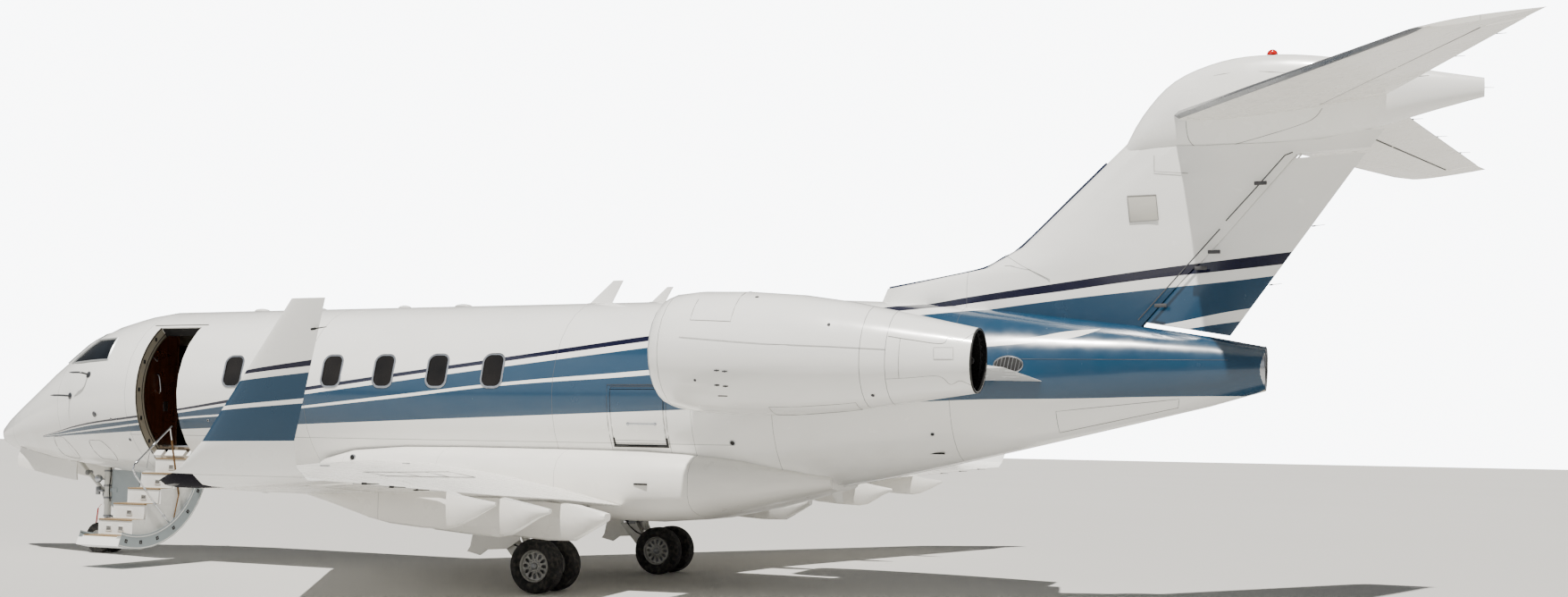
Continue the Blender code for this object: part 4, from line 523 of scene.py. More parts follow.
class Graph:
    """A material's node tree, with short calls for the nodes that the finishes use."""

    def __init__(self, name: str, turn: tuple[float, float, float] | None = None) -> None:
        """Start a material.

        Args:
            name: The material's name.
            turn: Degrees about the hinge line and the hinge's side and height, for a panel that
                stands open and has its pattern laid out shut.
        """
        self.material = bpy.data.materials.new(name)
        self.material.use_nodes = True
        self.tree = self.material.node_tree
        self.shader = self.tree.nodes["Principled BSDF"]
        self.place = self.new("ShaderNodeTexCoord").outputs["Object"]
        if turn:
            mapping = self.new("ShaderNodeMapping")
            spin = Matrix.Rotation(math.radians(turn[0]), 3, "X")
            hinge = Vector((0.0, turn[1], turn[2]))
            mapping.inputs["Rotation"].default_value = spin.to_euler()
            mapping.inputs["Location"].default_value = hinge - spin @ hinge
            self.tree.links.new(self.place, mapping.inputs["Vector"])
            self.place = mapping.outputs["Vector"]
        split = self.new("ShaderNodeSeparateXYZ")
        self.tree.links.new(self.place, split.inputs[0])
        self.x = self.plus(split.outputs[0], -NOSE)
        self.y = split.outputs[1]
        self.z = split.outputs[2]

    def new(self, kind: str) -> bpy.types.Node:
        """Add a node."""
        return self.tree.nodes.new(kind)

    def feed(self, value: object, socket: bpy.types.NodeSocket) -> None:
        """Link a socket into another, or set its value.

        Args:
            value: A socket, a number or a colour.
            socket: The socket that takes it.
        """
        if isinstance(value, bpy.types.NodeSocket):
            self.tree.links.new(value, socket)
        else:
            socket.default_value = value

    def math(self, kind: str, *values: object) -> bpy.types.NodeSocket:
        """Add a math node.

        Args:
            kind: The operation.
            values: Its inputs, sockets or numbers.

        Returns:
            Its result.
        """
        node = self.new("ShaderNodeMath")
        node.operation = kind
        for value, socket in zip(values, node.inputs):
            self.feed(value, socket)
        return node.outputs[0]

    def times(self, a: object, b: object) -> bpy.types.NodeSocket:
        """Multiply two values."""
        return self.math("MULTIPLY", a, b)

    def plus(self, a: object, b: object) -> bpy.types.NodeSocket:
        """Add two values."""
        return self.math("ADD", a, b)

    def minus(self, a: object, b: object) -> bpy.types.NodeSocket:
        """Take one value from another."""
        return self.math("SUBTRACT", a, b)

    def below(self, a: object, b: object) -> bpy.types.NodeSocket:
        """Mark where one value is less than another."""
        return self.math("LESS_THAN", a, b)

    def above(self, a: object, b: object) -> bpy.types.NodeSocket:
        """Mark where one value is more than another."""
        return self.math("GREATER_THAN", a, b)

    def line(self, value: object, middle: float, half: float) -> bpy.types.NodeSocket:
        """Mark where a value is within half a width of a middle."""
        return self.math("COMPARE", value, middle, half)

    def ramp(self, value: object, low: float, high: float, start: float = 0.0,
             end: float = 1.0) -> bpy.types.NodeSocket:
        """Stretch a value's range onto another, held at its ends.

        Args:
            value: The value.
            low: Where its range starts.
            high: Where its range ends.
            start: What the low end becomes.
            end: What the high end becomes.

        Returns:
            The stretched value.
        """
        node = self.new("ShaderNodeMapRange")
        for socket, number in zip(node.inputs, (value, low, high, start, end)):
            self.feed(number, socket)
        return node.outputs[0]

    def curve(self, points: Sequence[Pair], value: object) -> bpy.types.NodeSocket:
        """Read a drawn line at a value.

        Args:
            points: The line, in rising order.
            value: Where to read it.

        Returns:
            The line's height there.
        """
        xs = [p[0] for p in points]
        ys = [p[1] for p in points]
        node = self.new("ShaderNodeFloatCurve")
        self.feed(self.ramp(value, xs[0], xs[-1]), node.inputs[1])
        line = node.mapping.curves[0]
        for i, (x, y) in enumerate(points):
            spot = ((x - xs[0]) / (xs[-1] - xs[0]), (y - min(ys)) / (max(ys) - min(ys)))
            if i in (0, len(points) - 1):
                line.points[0 if i == 0 else -1].location = spot
            else:
                line.points.new(*spot)
        for point in line.points:
            point.handle_type = "AUTO_CLAMPED"
        node.mapping.update()
        return self.math("MULTIPLY_ADD", node.outputs[0], max(ys) - min(ys), min(ys))

    def mix(self, share: object, low: object, high: object) -> bpy.types.NodeSocket:
        """Mix two colours.

        Args:
            share: How much of the second shows.
            low: The first colour, a socket or a colour.
            high: The second colour.

        Returns:
            The mixed colour.
        """
        node = self.new("ShaderNodeMix")
        node.data_type = "RGBA"
        for value, index in ((share, 0), (low, 6), (high, 7)):
            plain = isinstance(value, tuple) and len(value) == 3
            self.feed((*value, 1.0) if plain else value, node.inputs[index])
        return node.outputs[2]

    def noise(self, scale: float, stretch: Point = (1, 1, 1), detail: float = 3.0) -> bpy.types.NodeSocket:
        """Add soft noise over the piece.

        Args:
            scale: Its fineness.
            stretch: How it is squeezed along each axis.
            detail: Its layers.

        Returns:
            The noise, 0 to 1.
        """
        node = self.new("ShaderNodeTexNoise")
        self.feed(self.squeezed(stretch), node.inputs["Vector"])
        node.inputs["Scale"].default_value = scale
        node.inputs["Detail"].default_value = detail
        return node.outputs[0]

    def cells(self, scale: float, stretch: Point = (1, 1, 1)) -> bpy.types.NodeSocket:
        """Add a cell pattern, as the distance from the nearest cell's middle.

        Args:
            scale: Its fineness.
            stretch: How it is squeezed along each axis.

        Returns:
            The distance.
        """
        node = self.new("ShaderNodeTexVoronoi")
        self.feed(self.squeezed(stretch), node.inputs["Vector"])
        node.inputs["Scale"].default_value = scale
        return node.outputs["Distance"]

    def squeezed(self, stretch: Point) -> bpy.types.NodeSocket:
        """Return the pattern's place, squeezed along each axis.

        Args:
            stretch: How much, along each axis.

        Returns:
            The squeezed place.
        """
        if stretch == (1, 1, 1):
            return self.place
        mapping = self.new("ShaderNodeMapping")
        mapping.inputs["Scale"].default_value = stretch
        self.tree.links.new(self.place, mapping.inputs["Vector"])
        return mapping.outputs["Vector"]

    def bump(self, height: bpy.types.NodeSocket, depth: float, strength: float = 0.5) -> None:
        """Raise the surface by a height pattern.

        Args:
            height: The pattern.
            depth: How far it reaches.
            strength: How much of it shows.
        """
        node = self.new("ShaderNodeBump")
        node.inputs["Strength"].default_value = strength
        node.inputs["Distance"].default_value = depth
        self.tree.links.new(height, node.inputs["Height"])
        self.tree.links.new(node.outputs[0], self.shader.inputs["Normal"])

    def facing(self) -> bpy.types.Node:
        """Split the way that each face looks into its three parts.

        Returns:
            The splitting node.
        """
        geometry = self.new("ShaderNodeNewGeometry")
        split = self.new("ShaderNodeSeparateXYZ")
        self.feed(geometry.outputs["Normal"], split.inputs[0])
        return split

    def facing_in(self) -> bpy.types.NodeSocket:
        """Mark the faces that look at the cabin's axis.

        Returns:
            1 on those faces, 0 elsewhere.
        """
        split = self.facing()
        side = self.times(self.y, split.outputs[1])
        up = self.times(self.minus(self.z, 2.30), split.outputs[2])
        return self.below(self.plus(side, up), -0.12)


LINING = tint(186, 178, 164)
LENS = tint(24, 22, 30)
JOINT: Colour = (0.08, 0.08, 0.085)


class Grain(Enum):
    """What a finish's surface is made of, close to."""

    PAINT = "paint"
    BRUSHED = "brushed"
    CAST = "cast"
    PEBBLE = "pebble"
    CARPET = "carpet"
    WOOD = "wood"
    MOULDED = "moulded"
    RUBBER = "rubber"
    GRIT = "grit"
    HOLES = "holes"


@dataclass(frozen=True)
class Finish:
    """A finish of one colour family, with the grain, wear and soiling that it really has."""

    name: str
    colour: Colour
    grain: Grain = Grain.PAINT
    second: Colour = (0.05, 0.05, 0.05)
    roughness: float = 0.4
    metallic: float = 0.0
    coat: float = 0.0
    sheen: float = 0.0
    soil: float = 0.12
    shine: float = 0.5

    def make(self) -> bpy.types.Material:
        """Build the material.

        Returns:
            The material.
        """
        graph = Graph(self.name)
        self.body(graph)
        graph.feed(self.soiled(graph, self.pattern(graph)), graph.shader.inputs["Base Color"])
        return graph.material

    def body(self, graph: Graph) -> None:
        """Set what is the same all over the surface on the shader's own sockets.

        Args:
            graph: The material.
        """
        for key, value in (("Metallic", self.metallic), ("Coat Weight", self.coat), ("Coat Roughness", 0.08),
                           ("Sheen Weight", self.sheen), ("Specular IOR Level", self.shine)):
            graph.feed(value, graph.shader.inputs[key])

    def soiled(self, graph: Graph, colour: object) -> bpy.types.NodeSocket:
        """Lay faint smudges and streaks over a colour, and vary the gloss with them.

        Args:
            graph: The material.
            colour: The clean colour.

        Returns:
            The soiled colour.
        """
        smudge = graph.noise(1.6, (1.0, 1.0, 2.2), 5.0)
        share = graph.ramp(smudge, 0.42, 0.78, 0.0, self.soil)
        gloss = graph.ramp(graph.noise(5.0, (1, 1, 1), 4.0), 0.3, 0.7, self.roughness * 0.8,
                           min(1.0, self.roughness * 1.25))
        graph.feed(gloss, graph.shader.inputs["Roughness"])
        return graph.mix(share, colour, tuple(min(c, 0.3) * 0.55 for c in self.colour))

    def pattern(self, graph: Graph) -> bpy.types.NodeSocket:
        """Draw the grain and raise it.

        Args:
            graph: The material.

        Returns:
            The patterned colour.
        """
        dark = tuple(c * 0.72 for c in self.colour)
        if self.grain is Grain.BRUSHED:
            hair = graph.noise(40.0, (0.4, 30.0, 6.0), 4.0)
            graph.bump(hair, 0.0004, 0.3)
            return graph.mix(graph.ramp(hair, 0.35, 0.65), dark, self.colour)
        if self.grain is Grain.CAST:
            lump = graph.noise(160.0, (1, 1, 1), 4.0)
            graph.bump(lump, 0.0008, 0.5)
            return graph.mix(graph.ramp(graph.noise(9.0), 0.35, 0.7), self.colour, dark)
        if self.grain is Grain.PEBBLE:
            cell = graph.cells(260.0)
            graph.bump(cell, 0.0008, 0.45)
            crease = graph.ramp(graph.noise(14.0, (1, 1, 1), 6.0), 0.35, 0.7)
            return graph.mix(graph.times(crease, graph.ramp(cell, 0.0, 0.6, 1.0, 0.6)), self.colour, dark)
        if self.grain is Grain.CARPET:
            tuft = graph.noise(420.0, (1, 1, 1), 2.0)
            graph.bump(tuft, 0.004, 0.8)
            return graph.mix(graph.ramp(tuft, 0.3, 0.7), self.second, self.colour)
        if self.grain is Grain.WOOD:
            ring = graph.new("ShaderNodeTexWave")
            graph.feed(graph.squeezed((2.2, 2.2, 0.25)), ring.inputs["Vector"])
            for key, number in (("Scale", 5.0), ("Distortion", 7.0), ("Detail", 4.0), ("Detail Scale", 1.6)):
                ring.inputs[key].default_value = number
            fleck = graph.noise(60.0, (6.0, 6.0, 0.35), 4.0)
            share = graph.math("MULTIPLY_ADD", fleck, 0.45, graph.times(ring.outputs[1], 0.6))
            graph.bump(fleck, 0.0003, 0.3)
            return graph.mix(share, self.second, self.colour)
        if self.grain is Grain.RUBBER:
            dust = graph.ramp(graph.noise(22.0, (1, 1, 1), 6.0), 0.45, 0.8, 0.0, 0.55)
            graph.bump(graph.noise(300.0), 0.0006, 0.5)
            return graph.mix(dust, self.colour, self.second)
        if self.grain is Grain.GRIT:
            speck = graph.cells(330.0)
            graph.bump(speck, 0.0015, 0.8)
            return graph.mix(graph.ramp(speck, 0.1, 0.5), self.colour, self.second)
        if self.grain is Grain.HOLES:
            hole = graph.cells(150.0)
            graph.bump(graph.ramp(hole, 0.12, 0.2), 0.001, 0.7)
            return graph.mix(graph.ramp(hole, 0.14, 0.2), self.second, self.colour)
        if self.grain is Grain.MOULDED:
            graph.bump(graph.noise(380.0, (1, 1, 1), 2.0), 0.0006, 0.4)
            return graph.mix(graph.ramp(graph.noise(7.0), 0.3, 0.7), self.colour, dark)
        graph.bump(graph.noise(90.0, (1, 1, 1), 1.0), 0.00004, 0.1)
        return graph.mix(graph.ramp(graph.noise(0.8, (1, 1, 1), 2.0), 0.35, 0.7, 0.0, 0.05), self.colour,
                         dark)


@dataclass(frozen=True)
class PanelPaint(Finish):
    """Gloss paint with the joints of the panels under it, some of them across and some along."""

    across: tuple[float, ...] = ()
    sweep: float = 0.0
    ribs: tuple[float, ...] = ()
    levels: tuple[float, ...] = ()
    edge_strip: float = 0.0
    edge_start: float = 0.0
    metal: Colour = (0.30, 0.31, 0.33)
    lens_span: float = 0.0

    def pattern(self, graph: Graph) -> bpy.types.NodeSocket:
        """Draw the joints and any bare strip along the leading edge.

        Args:
            graph: The material.

        Returns:
            The patterned colour.
        """
        colour = super().pattern(graph)
        span = graph.math("ABSOLUTE", graph.y)
        swept = graph.minus(graph.x, graph.times(span, self.sweep))
        joints = [graph.line(swept, x, 0.0022) for x in self.across]
        joints += [graph.line(span, y, 0.0022) for y in self.ribs]
        joints += [graph.line(graph.z, z, 0.002) for z in self.levels]
        for joint in joints:
            colour = graph.mix(graph.times(joint, 0.62), colour, (0.07, 0.07, 0.075))
        if self.edge_strip:
            strip = graph.below(swept, self.edge_start + self.edge_strip)
            colour = graph.mix(strip, colour, self.metal)
            graph.feed(graph.times(strip, 0.8), graph.shader.inputs["Metallic"])
        if self.lens_span:
            lens = graph.times(graph.above(span, self.lens_span), graph.below(graph.x, 12.38))
            colour = graph.mix(lens, colour, LENS)
        return colour


@dataclass(frozen=True)
class Livery(Finish):
    """White gloss paint with the sweeping blue stripes, panel joints and the cabin lining inside."""

    turn: tuple[float, float, float] | None = None
    lining: Colour | None = LINING
    blue: Colour = tint(30, 62, 86)
    navy: Colour = tint(6, 10, 42)
    navy_top: Pairs = (
        (1.47, 1.722), (2.84, 1.93), (3.75, 2.02), (4.61, 2.13), (5.62, 2.275), (8.11, 2.60), (9.77, 2.807),
        (11.56, 3.043), (14.8, 3.446), (15.33, 3.523), (16.36, 3.660), (17.34, 3.784), (18.28, 3.890),
        (20.0, 4.07))
    navy_bottom: Pairs = (
        (1.47, 1.718), (2.84, 1.905), (3.75, 1.99), (4.6, 2.10), (5.62, 2.232), (8.1, 2.55), (9.78, 2.755),
        (11.6, 2.983), (14.8, 3.372), (15.33, 3.446), (16.36, 3.564), (17.34, 3.685), (18.28, 3.773),
        (20.0, 3.95))
    wide_top: Pairs = (
        (1.47, 1.716), (2.84, 1.885), (3.75, 1.965), (4.6, 2.07), (5.62, 2.195), (8.1, 2.49), (9.8, 2.69),
        (11.6, 2.90), (15.09, 3.315), (16.36, 3.468), (17.34, 3.566), (18.28, 3.653), (18.62, 3.692),
        (20.0, 3.86))
    wide_bottom: Pairs = (
        (1.47, 1.712), (2.84, 1.83), (3.76, 1.915), (4.61, 2.01), (5.5, 2.07), (8.1, 2.32), (9.8, 2.49),
        (11.7, 2.63), (15.67, 2.979), (16.11, 3.011), (16.56, 3.095), (17.26, 3.151), (18.33, 3.338),
        (20.0, 3.55))
    low_top: Pairs = (
        (1.47, 1.708), (2.84, 1.81), (3.76, 1.89), (4.61, 1.985), (5.5, 2.045), (8.1, 2.28), (9.8, 2.45),
        (11.7, 2.57), (15.68, 2.907), (16.11, 2.949), (16.58, 3.013), (17.28, 3.071), (18.19, 3.195),
        (20.0, 3.42))
    low_bottom: Pairs = (
        (1.47, 1.700), (2.84, 1.765), (3.72, 1.81), (4.63, 1.85), (5.30, 1.88), (8.11, 2.00), (9.82, 2.07),
        (12.26, 2.17), (14.88, 2.28), (15.66, 2.32), (16.60, 2.342), (17.52, 2.374), (20.0, 2.42))
    joints: tuple[float, ...] = (0.62, 2.02, 3.64, 6.72, 10.45, 12.30, 13.30, 15.30)

    def make(self) -> bpy.types.Material:
        """Build the material.

        Returns:
            The material.
        """
        graph = Graph(self.name, self.turn)
        self.body(graph)
        colour = Finish.pattern(self, graph)
        started = graph.above(graph.x, self.navy_top[0][0])
        for top, bottom, paint in ((self.navy_top, self.navy_bottom, self.navy),
                                   (self.wide_top, self.wide_bottom, self.blue),
                                   (self.low_top, self.low_bottom, self.blue)):
            band = graph.times(started, self.band(graph, top, bottom))
            colour = graph.mix(band, colour, paint)
        for joint in self.joints:
            mark = graph.times(graph.line(graph.x, joint, 0.0035), 0.55)
            colour = graph.mix(mark, colour, JOINT)
        stringer = graph.times(graph.line(graph.z, 1.765, 0.004), graph.line(graph.x, 8.2, 4.6))
        colour = graph.mix(graph.times(stringer, 0.6), colour, JOINT)
        # Painted shade: the skin darkens to a warm beige towards the belly, below 2.0 m, in noisy patches.
        painted_belly_shade = graph.times(graph.ramp(graph.z, 2.0, 1.1), graph.ramp(graph.noise(3.0), 0.3, 0.8, 0.0, 0.3))
        colour = graph.mix(painted_belly_shade, colour, tint(150, 140, 122))
        if self.lining:
            colour = graph.mix(graph.facing_in(), colour, self.lining)
        graph.feed(self.soiled(graph, colour), graph.shader.inputs["Base Color"])
        return graph.material

    @staticmethod
    def band(graph: Graph, top: Sequence[Pair], bottom: Sequence[Pair]) -> bpy.types.NodeSocket:
        """Mark what lies between two drawn lines.

        Args:
            graph: The material.
            top: The upper line, as stations and heights.
            bottom: The lower line.

        Returns:
            1 between the lines, 0 elsewhere.
        """
        under = graph.below(graph.z, graph.curve(top, graph.x))
        over = graph.above(graph.z, graph.curve(bottom, graph.x))
        return graph.times(under, over)


@dataclass(frozen=True)
class WingletPaint(Finish):
    """The winglet's white with its own short run of the stripes."""

    def pattern(self, graph: Graph) -> bpy.types.NodeSocket:
        """Draw the three slanting bands.

        Args:
            graph: The material.

        Returns:
            The patterned colour.
        """
        colour = super().pattern(graph)
        blue, navy = Livery.blue, Livery.navy
        for top, bottom, paint in ((((12.9, 2.119), (13.9, 2.240)), ((12.9, 2.104), (13.9, 2.202)), navy),
                                   (((12.9, 2.067), (13.9, 2.164)), ((12.9, 1.927), (13.9, 2.010)), blue),
                                   (((12.7, 1.889), (13.9, 1.979)), ((12.7, 1.712), (13.9, 1.736)), blue)):
            colour = graph.mix(Livery.band(graph, top, bottom), colour, paint)
        seam = graph.times(graph.line(graph.z, 1.50, 0.002), 0.5)
        colour = graph.mix(seam, colour, JOINT)
        lens = graph.times(graph.below(graph.x, 12.62), graph.below(graph.z, 1.503))
        dull = graph.times(graph.minus(1.0, lens), self.shine)
        graph.feed(dull, graph.shader.inputs["Specular IOR Level"])
        return graph.mix(lens, colour, LENS)


@dataclass(frozen=True)
class NacellePaint(Finish):
    """The engine pod's white, ringed by its cowl joints, with the grey duct inside."""

    inlet: Point = (12.410, 2.0, 2.800)
    axis: Point = (0.999315, 0.0, -0.037012)
    rings: tuple[float, ...] = (0.155, 2.40, 2.66)

    def pattern(self, graph: Graph) -> bpy.types.NodeSocket:
        """Draw the joints, the dark lip and the duct.

        Args:
            graph: The material.

        Returns:
            The patterned colour.
        """
        colour = super().pattern(graph)
        start = self.inlet[0] * self.axis[0] + self.inlet[2] * self.axis[2]
        along = graph.math("MULTIPLY_ADD", graph.x, self.axis[0], -start)
        along = graph.math("MULTIPLY_ADD", graph.z, self.axis[2], along)
        level = graph.math("MULTIPLY_ADD", along, self.axis[2], self.inlet[2])
        for ring in self.rings:
            mark = graph.times(graph.line(along, ring, 0.0035), 0.75)
            colour = graph.mix(mark, colour, (0.05, 0.05, 0.055))
        side = graph.minus(graph.math("ABSOLUTE", graph.y), self.inlet[1])
        up = graph.minus(graph.z, level)
        reach = graph.math("SQRT", graph.plus(graph.times(side, side), graph.times(up, up)))
        split = graph.facing()
        sign = graph.math("SIGN", graph.y)
        facing = graph.plus(graph.times(graph.times(side, sign), split.outputs[1]),
                            graph.times(up, split.outputs[2]))
        inside = graph.below(facing, 0.0)
        colour = graph.mix(inside, colour, tint(120, 122, 126))
        lip = graph.times(graph.below(along, 0.10), graph.below(reach, 0.575))
        colour = graph.mix(lip, colour, tint(168, 172, 178))
        rim = graph.times(graph.above(along, 2.2), inside)
        return graph.mix(rim, colour, (0.01, 0.01, 0.01))


@dataclass(frozen=True)
class Pane(Finish):
    """Dark window glass, with the edge that the lining hides painted in the lining's colour."""

    trimmed: bool = False

    def pattern(self, graph: Graph) -> bpy.types.NodeSocket:
        """Draw the faint clouding and the trimmed edge.

        Args:
            graph: The material.

        Returns:
            The patterned colour.
        """
        cloud = graph.ramp(graph.noise(2.2), 0.3, 0.7)
        colour = graph.mix(cloud, self.colour, self.second)
        if self.trimmed:
            reach = graph.plus(graph.times(graph.y, graph.y),
                               graph.math("POWER", graph.minus(graph.z, CABIN_AXIS), 2.0))
            colour = graph.mix(graph.below(reach, 1.102 ** 2), colour, LINING)
        return colour


class Store:
    """The finishes, each built once and kept."""

    def __init__(self) -> None:
        """Lay out the finishes by name."""
        white = tint(247, 247, 244)
        warm = tint(242, 240, 234)
        self.kept: dict[str, bpy.types.Material] = {}
        self.finishes: dict[str, Finish] = {f.name: f for f in (
            Livery("livery", white, roughness=0.22, coat=0.5, soil=0.05,
                   low_top=(*Livery.low_top[:11], (17.60, 3.60), (20.0, 4.0))),
            Livery("livery_fin", white, roughness=0.22, coat=0.5, soil=0.05, lining=None),
            # The open door's inner face is painted blue-grey in place of the beige lining: painted shade, for
            # the shadow that face lies in.
            Livery("livery_open_door", white, roughness=0.22, coat=0.5, soil=0.05, lining=tint(150, 160, 166),
                   turn=(-121.6, -0.631, 1.413)),
            PanelPaint("wing_paint", warm, roughness=0.28, coat=0.3, soil=0.04, lens_span=8.96, sweep=0.65,
                       across=(6.155 + 0.42, 6.155 + 1.55), ribs=(2.1, 3.75, 4.9, 6.3, 7.9)),
            PanelPaint("stabilizer_paint", warm, roughness=0.28, coat=0.3, soil=0.04, sweep=0.694,
                       across=(17.93,),
                       ribs=(1.0, 1.9, 2.8), edge_strip=0.055, edge_start=17.48),
            PanelPaint("tail_paint", white, roughness=0.24, coat=0.5, soil=0.05, levels=(5.06,)),
            PanelPaint("belly_paint", tint(240, 238, 232), roughness=0.34, coat=0.2, soil=0.10,
                       across=(7.4, 8.9, 10.6, 12.3), ribs=(0.45,)),
            Finish("frame_grey", tint(172, 175, 176), roughness=0.4, metallic=0.4, soil=0.2),
            PanelPaint("control_paint", warm, roughness=0.28, coat=0.3, soil=0.12, ribs=(1.3, 2.6, 4.4, 5.4)),
            WingletPaint("winglet_paint", white, roughness=0.3, coat=0.06, soil=0.03, shine=0.3),
            NacellePaint("nacelle_paint", white, roughness=0.22, coat=0.5, soil=0.05),
            Finish("door_white", tint(232, 232, 228), roughness=0.3, coat=0.3, soil=0.15),
            Finish("door_grey", tint(150, 160, 164), roughness=0.4, soil=0.15),
            Finish("jamb_green", tint(132, 126, 112), roughness=0.5, soil=0.3),
            Finish("gear_white", tint(214, 214, 208), roughness=0.35, coat=0.2, soil=0.35),
            Finish("line_dark", tint(70, 70, 72), roughness=0.6),
            Finish("line_soft", tint(118, 118, 116), roughness=0.6),
            Finish("rim_grey", tint(178, 178, 174), Grain.CAST, roughness=0.4, metallic=0.3, soil=0.5),
            Finish("edge_blue", tint(20, 34, 62), roughness=0.3, coat=0.3),
            # Painted shade: the fin hatch is tinted grey for the shade of a recess.
            Finish("hatch_grey", tint(188, 186, 178), roughness=0.35, coat=0.2, soil=0.2),
            Finish("spinner_grey", tint(60, 62, 66), roughness=0.35, coat=0.3),
            Finish("tag_red", tint(180, 30, 26), roughness=0.7, sheen=0.2),
            Finish("lamp_red", tint(190, 20, 18), roughness=0.12, coat=1.0),
            Finish("black_matt", tint(20, 20, 21), Grain.MOULDED, roughness=0.6, soil=0.3),
            Finish("chrome", tint(225, 227, 230), Grain.BRUSHED, roughness=0.12, metallic=1.0, soil=0.1),
            Finish("bright_metal", tint(190, 193, 198), Grain.BRUSHED, roughness=0.3, metallic=1.0, soil=0.2),
            Finish("gear_steel", tint(150, 152, 155), Grain.CAST, roughness=0.42, metallic=0.7, soil=0.4),
            Finish("engine_dark", tint(34, 32, 31), Grain.CAST, roughness=0.45, metallic=0.8, soil=0.5),
            Finish("fan_titanium", tint(96, 100, 108), Grain.BRUSHED, roughness=0.32, metallic=0.9, soil=0.3),
            Finish("hose_brown", tint(112, 84, 52), Grain.CAST, roughness=0.5, metallic=0.4, soil=0.3),
            Finish("duct_liner", tint(128, 130, 134), Grain.HOLES, tint(60, 62, 66), roughness=0.5),
            Finish("tyre_rubber", tint(30, 30, 31), Grain.RUBBER, tint(92, 88, 80), roughness=0.8),
            Finish("seal_rubber", tint(24, 24, 25), Grain.MOULDED, roughness=0.7),
            Finish("tread_grit", tint(176, 152, 118), Grain.GRIT, tint(120, 100, 74), roughness=0.85),
            Finish("carpet", tint(142, 126, 104), Grain.CARPET, tint(104, 90, 72), roughness=0.95, sheen=0.4),
            Finish("cabin_wood", tint(78, 44, 28), Grain.WOOD, tint(52, 28, 18), roughness=0.3, coat=0.6,
                   soil=0.05),
            Finish("seat_leather", tint(206, 192, 168), Grain.PEBBLE, roughness=0.5, sheen=0.1, soil=0.2),
            Finish("cockpit_leather", tint(92, 90, 90), Grain.PEBBLE, roughness=0.55, soil=0.2),
            Finish("panel_grey", tint(82, 84, 86), Grain.MOULDED, roughness=0.6),
            Finish("lining", tint(196, 188, 174), Grain.MOULDED, roughness=0.7, soil=0.1),
            Pane("cabin_glass", tint(16, 15, 15), second=tint(34, 31, 29), roughness=0.16, soil=0.1,
                 shine=0.22,
                 trimmed=True),
            Pane("cockpit_glass", tint(12, 15, 19), second=tint(26, 31, 37), roughness=0.12, soil=0.1,
                 shine=0.25),
            Pane("screen_glass", tint(12, 14, 20), second=tint(20, 26, 38), roughness=0.1, coat=0.6),
            Pane("lens_clear", tint(180, 184, 188), second=tint(120, 124, 130), roughness=0.05, coat=1.0),
        )}

    def get(self, name: str) -> bpy.types.Material:
        """Return a finish's material, built when it is first asked for.

        Args:
            name: The finish's name.

        Returns:
            The material.
        """
        if name not in self.kept:
            self.kept[name] = self.finishes[name].make()
        return self.kept[name]


STORE = Store()


def dress(piece: bpy.types.Object, body: str, slot: str, finish: str, angle: float = 35.0,
          nodes: Sequence[str] = ()) -> bpy.types.Object:
    """Give a piece a finish from the store and the body that carries it.

    Args:
        piece: The piece.
        body: The body that it rides on.
        slot: The record's material slot.
        finish: The finish's name in the store.
        angle: Edges sharper than this stay crisp, in degrees.
        nodes: The nodes that it stands for.

    Returns:
        The piece.
    """
    return Bench.dress(piece, body, slot, STORE.get(finish), angle, nodes)


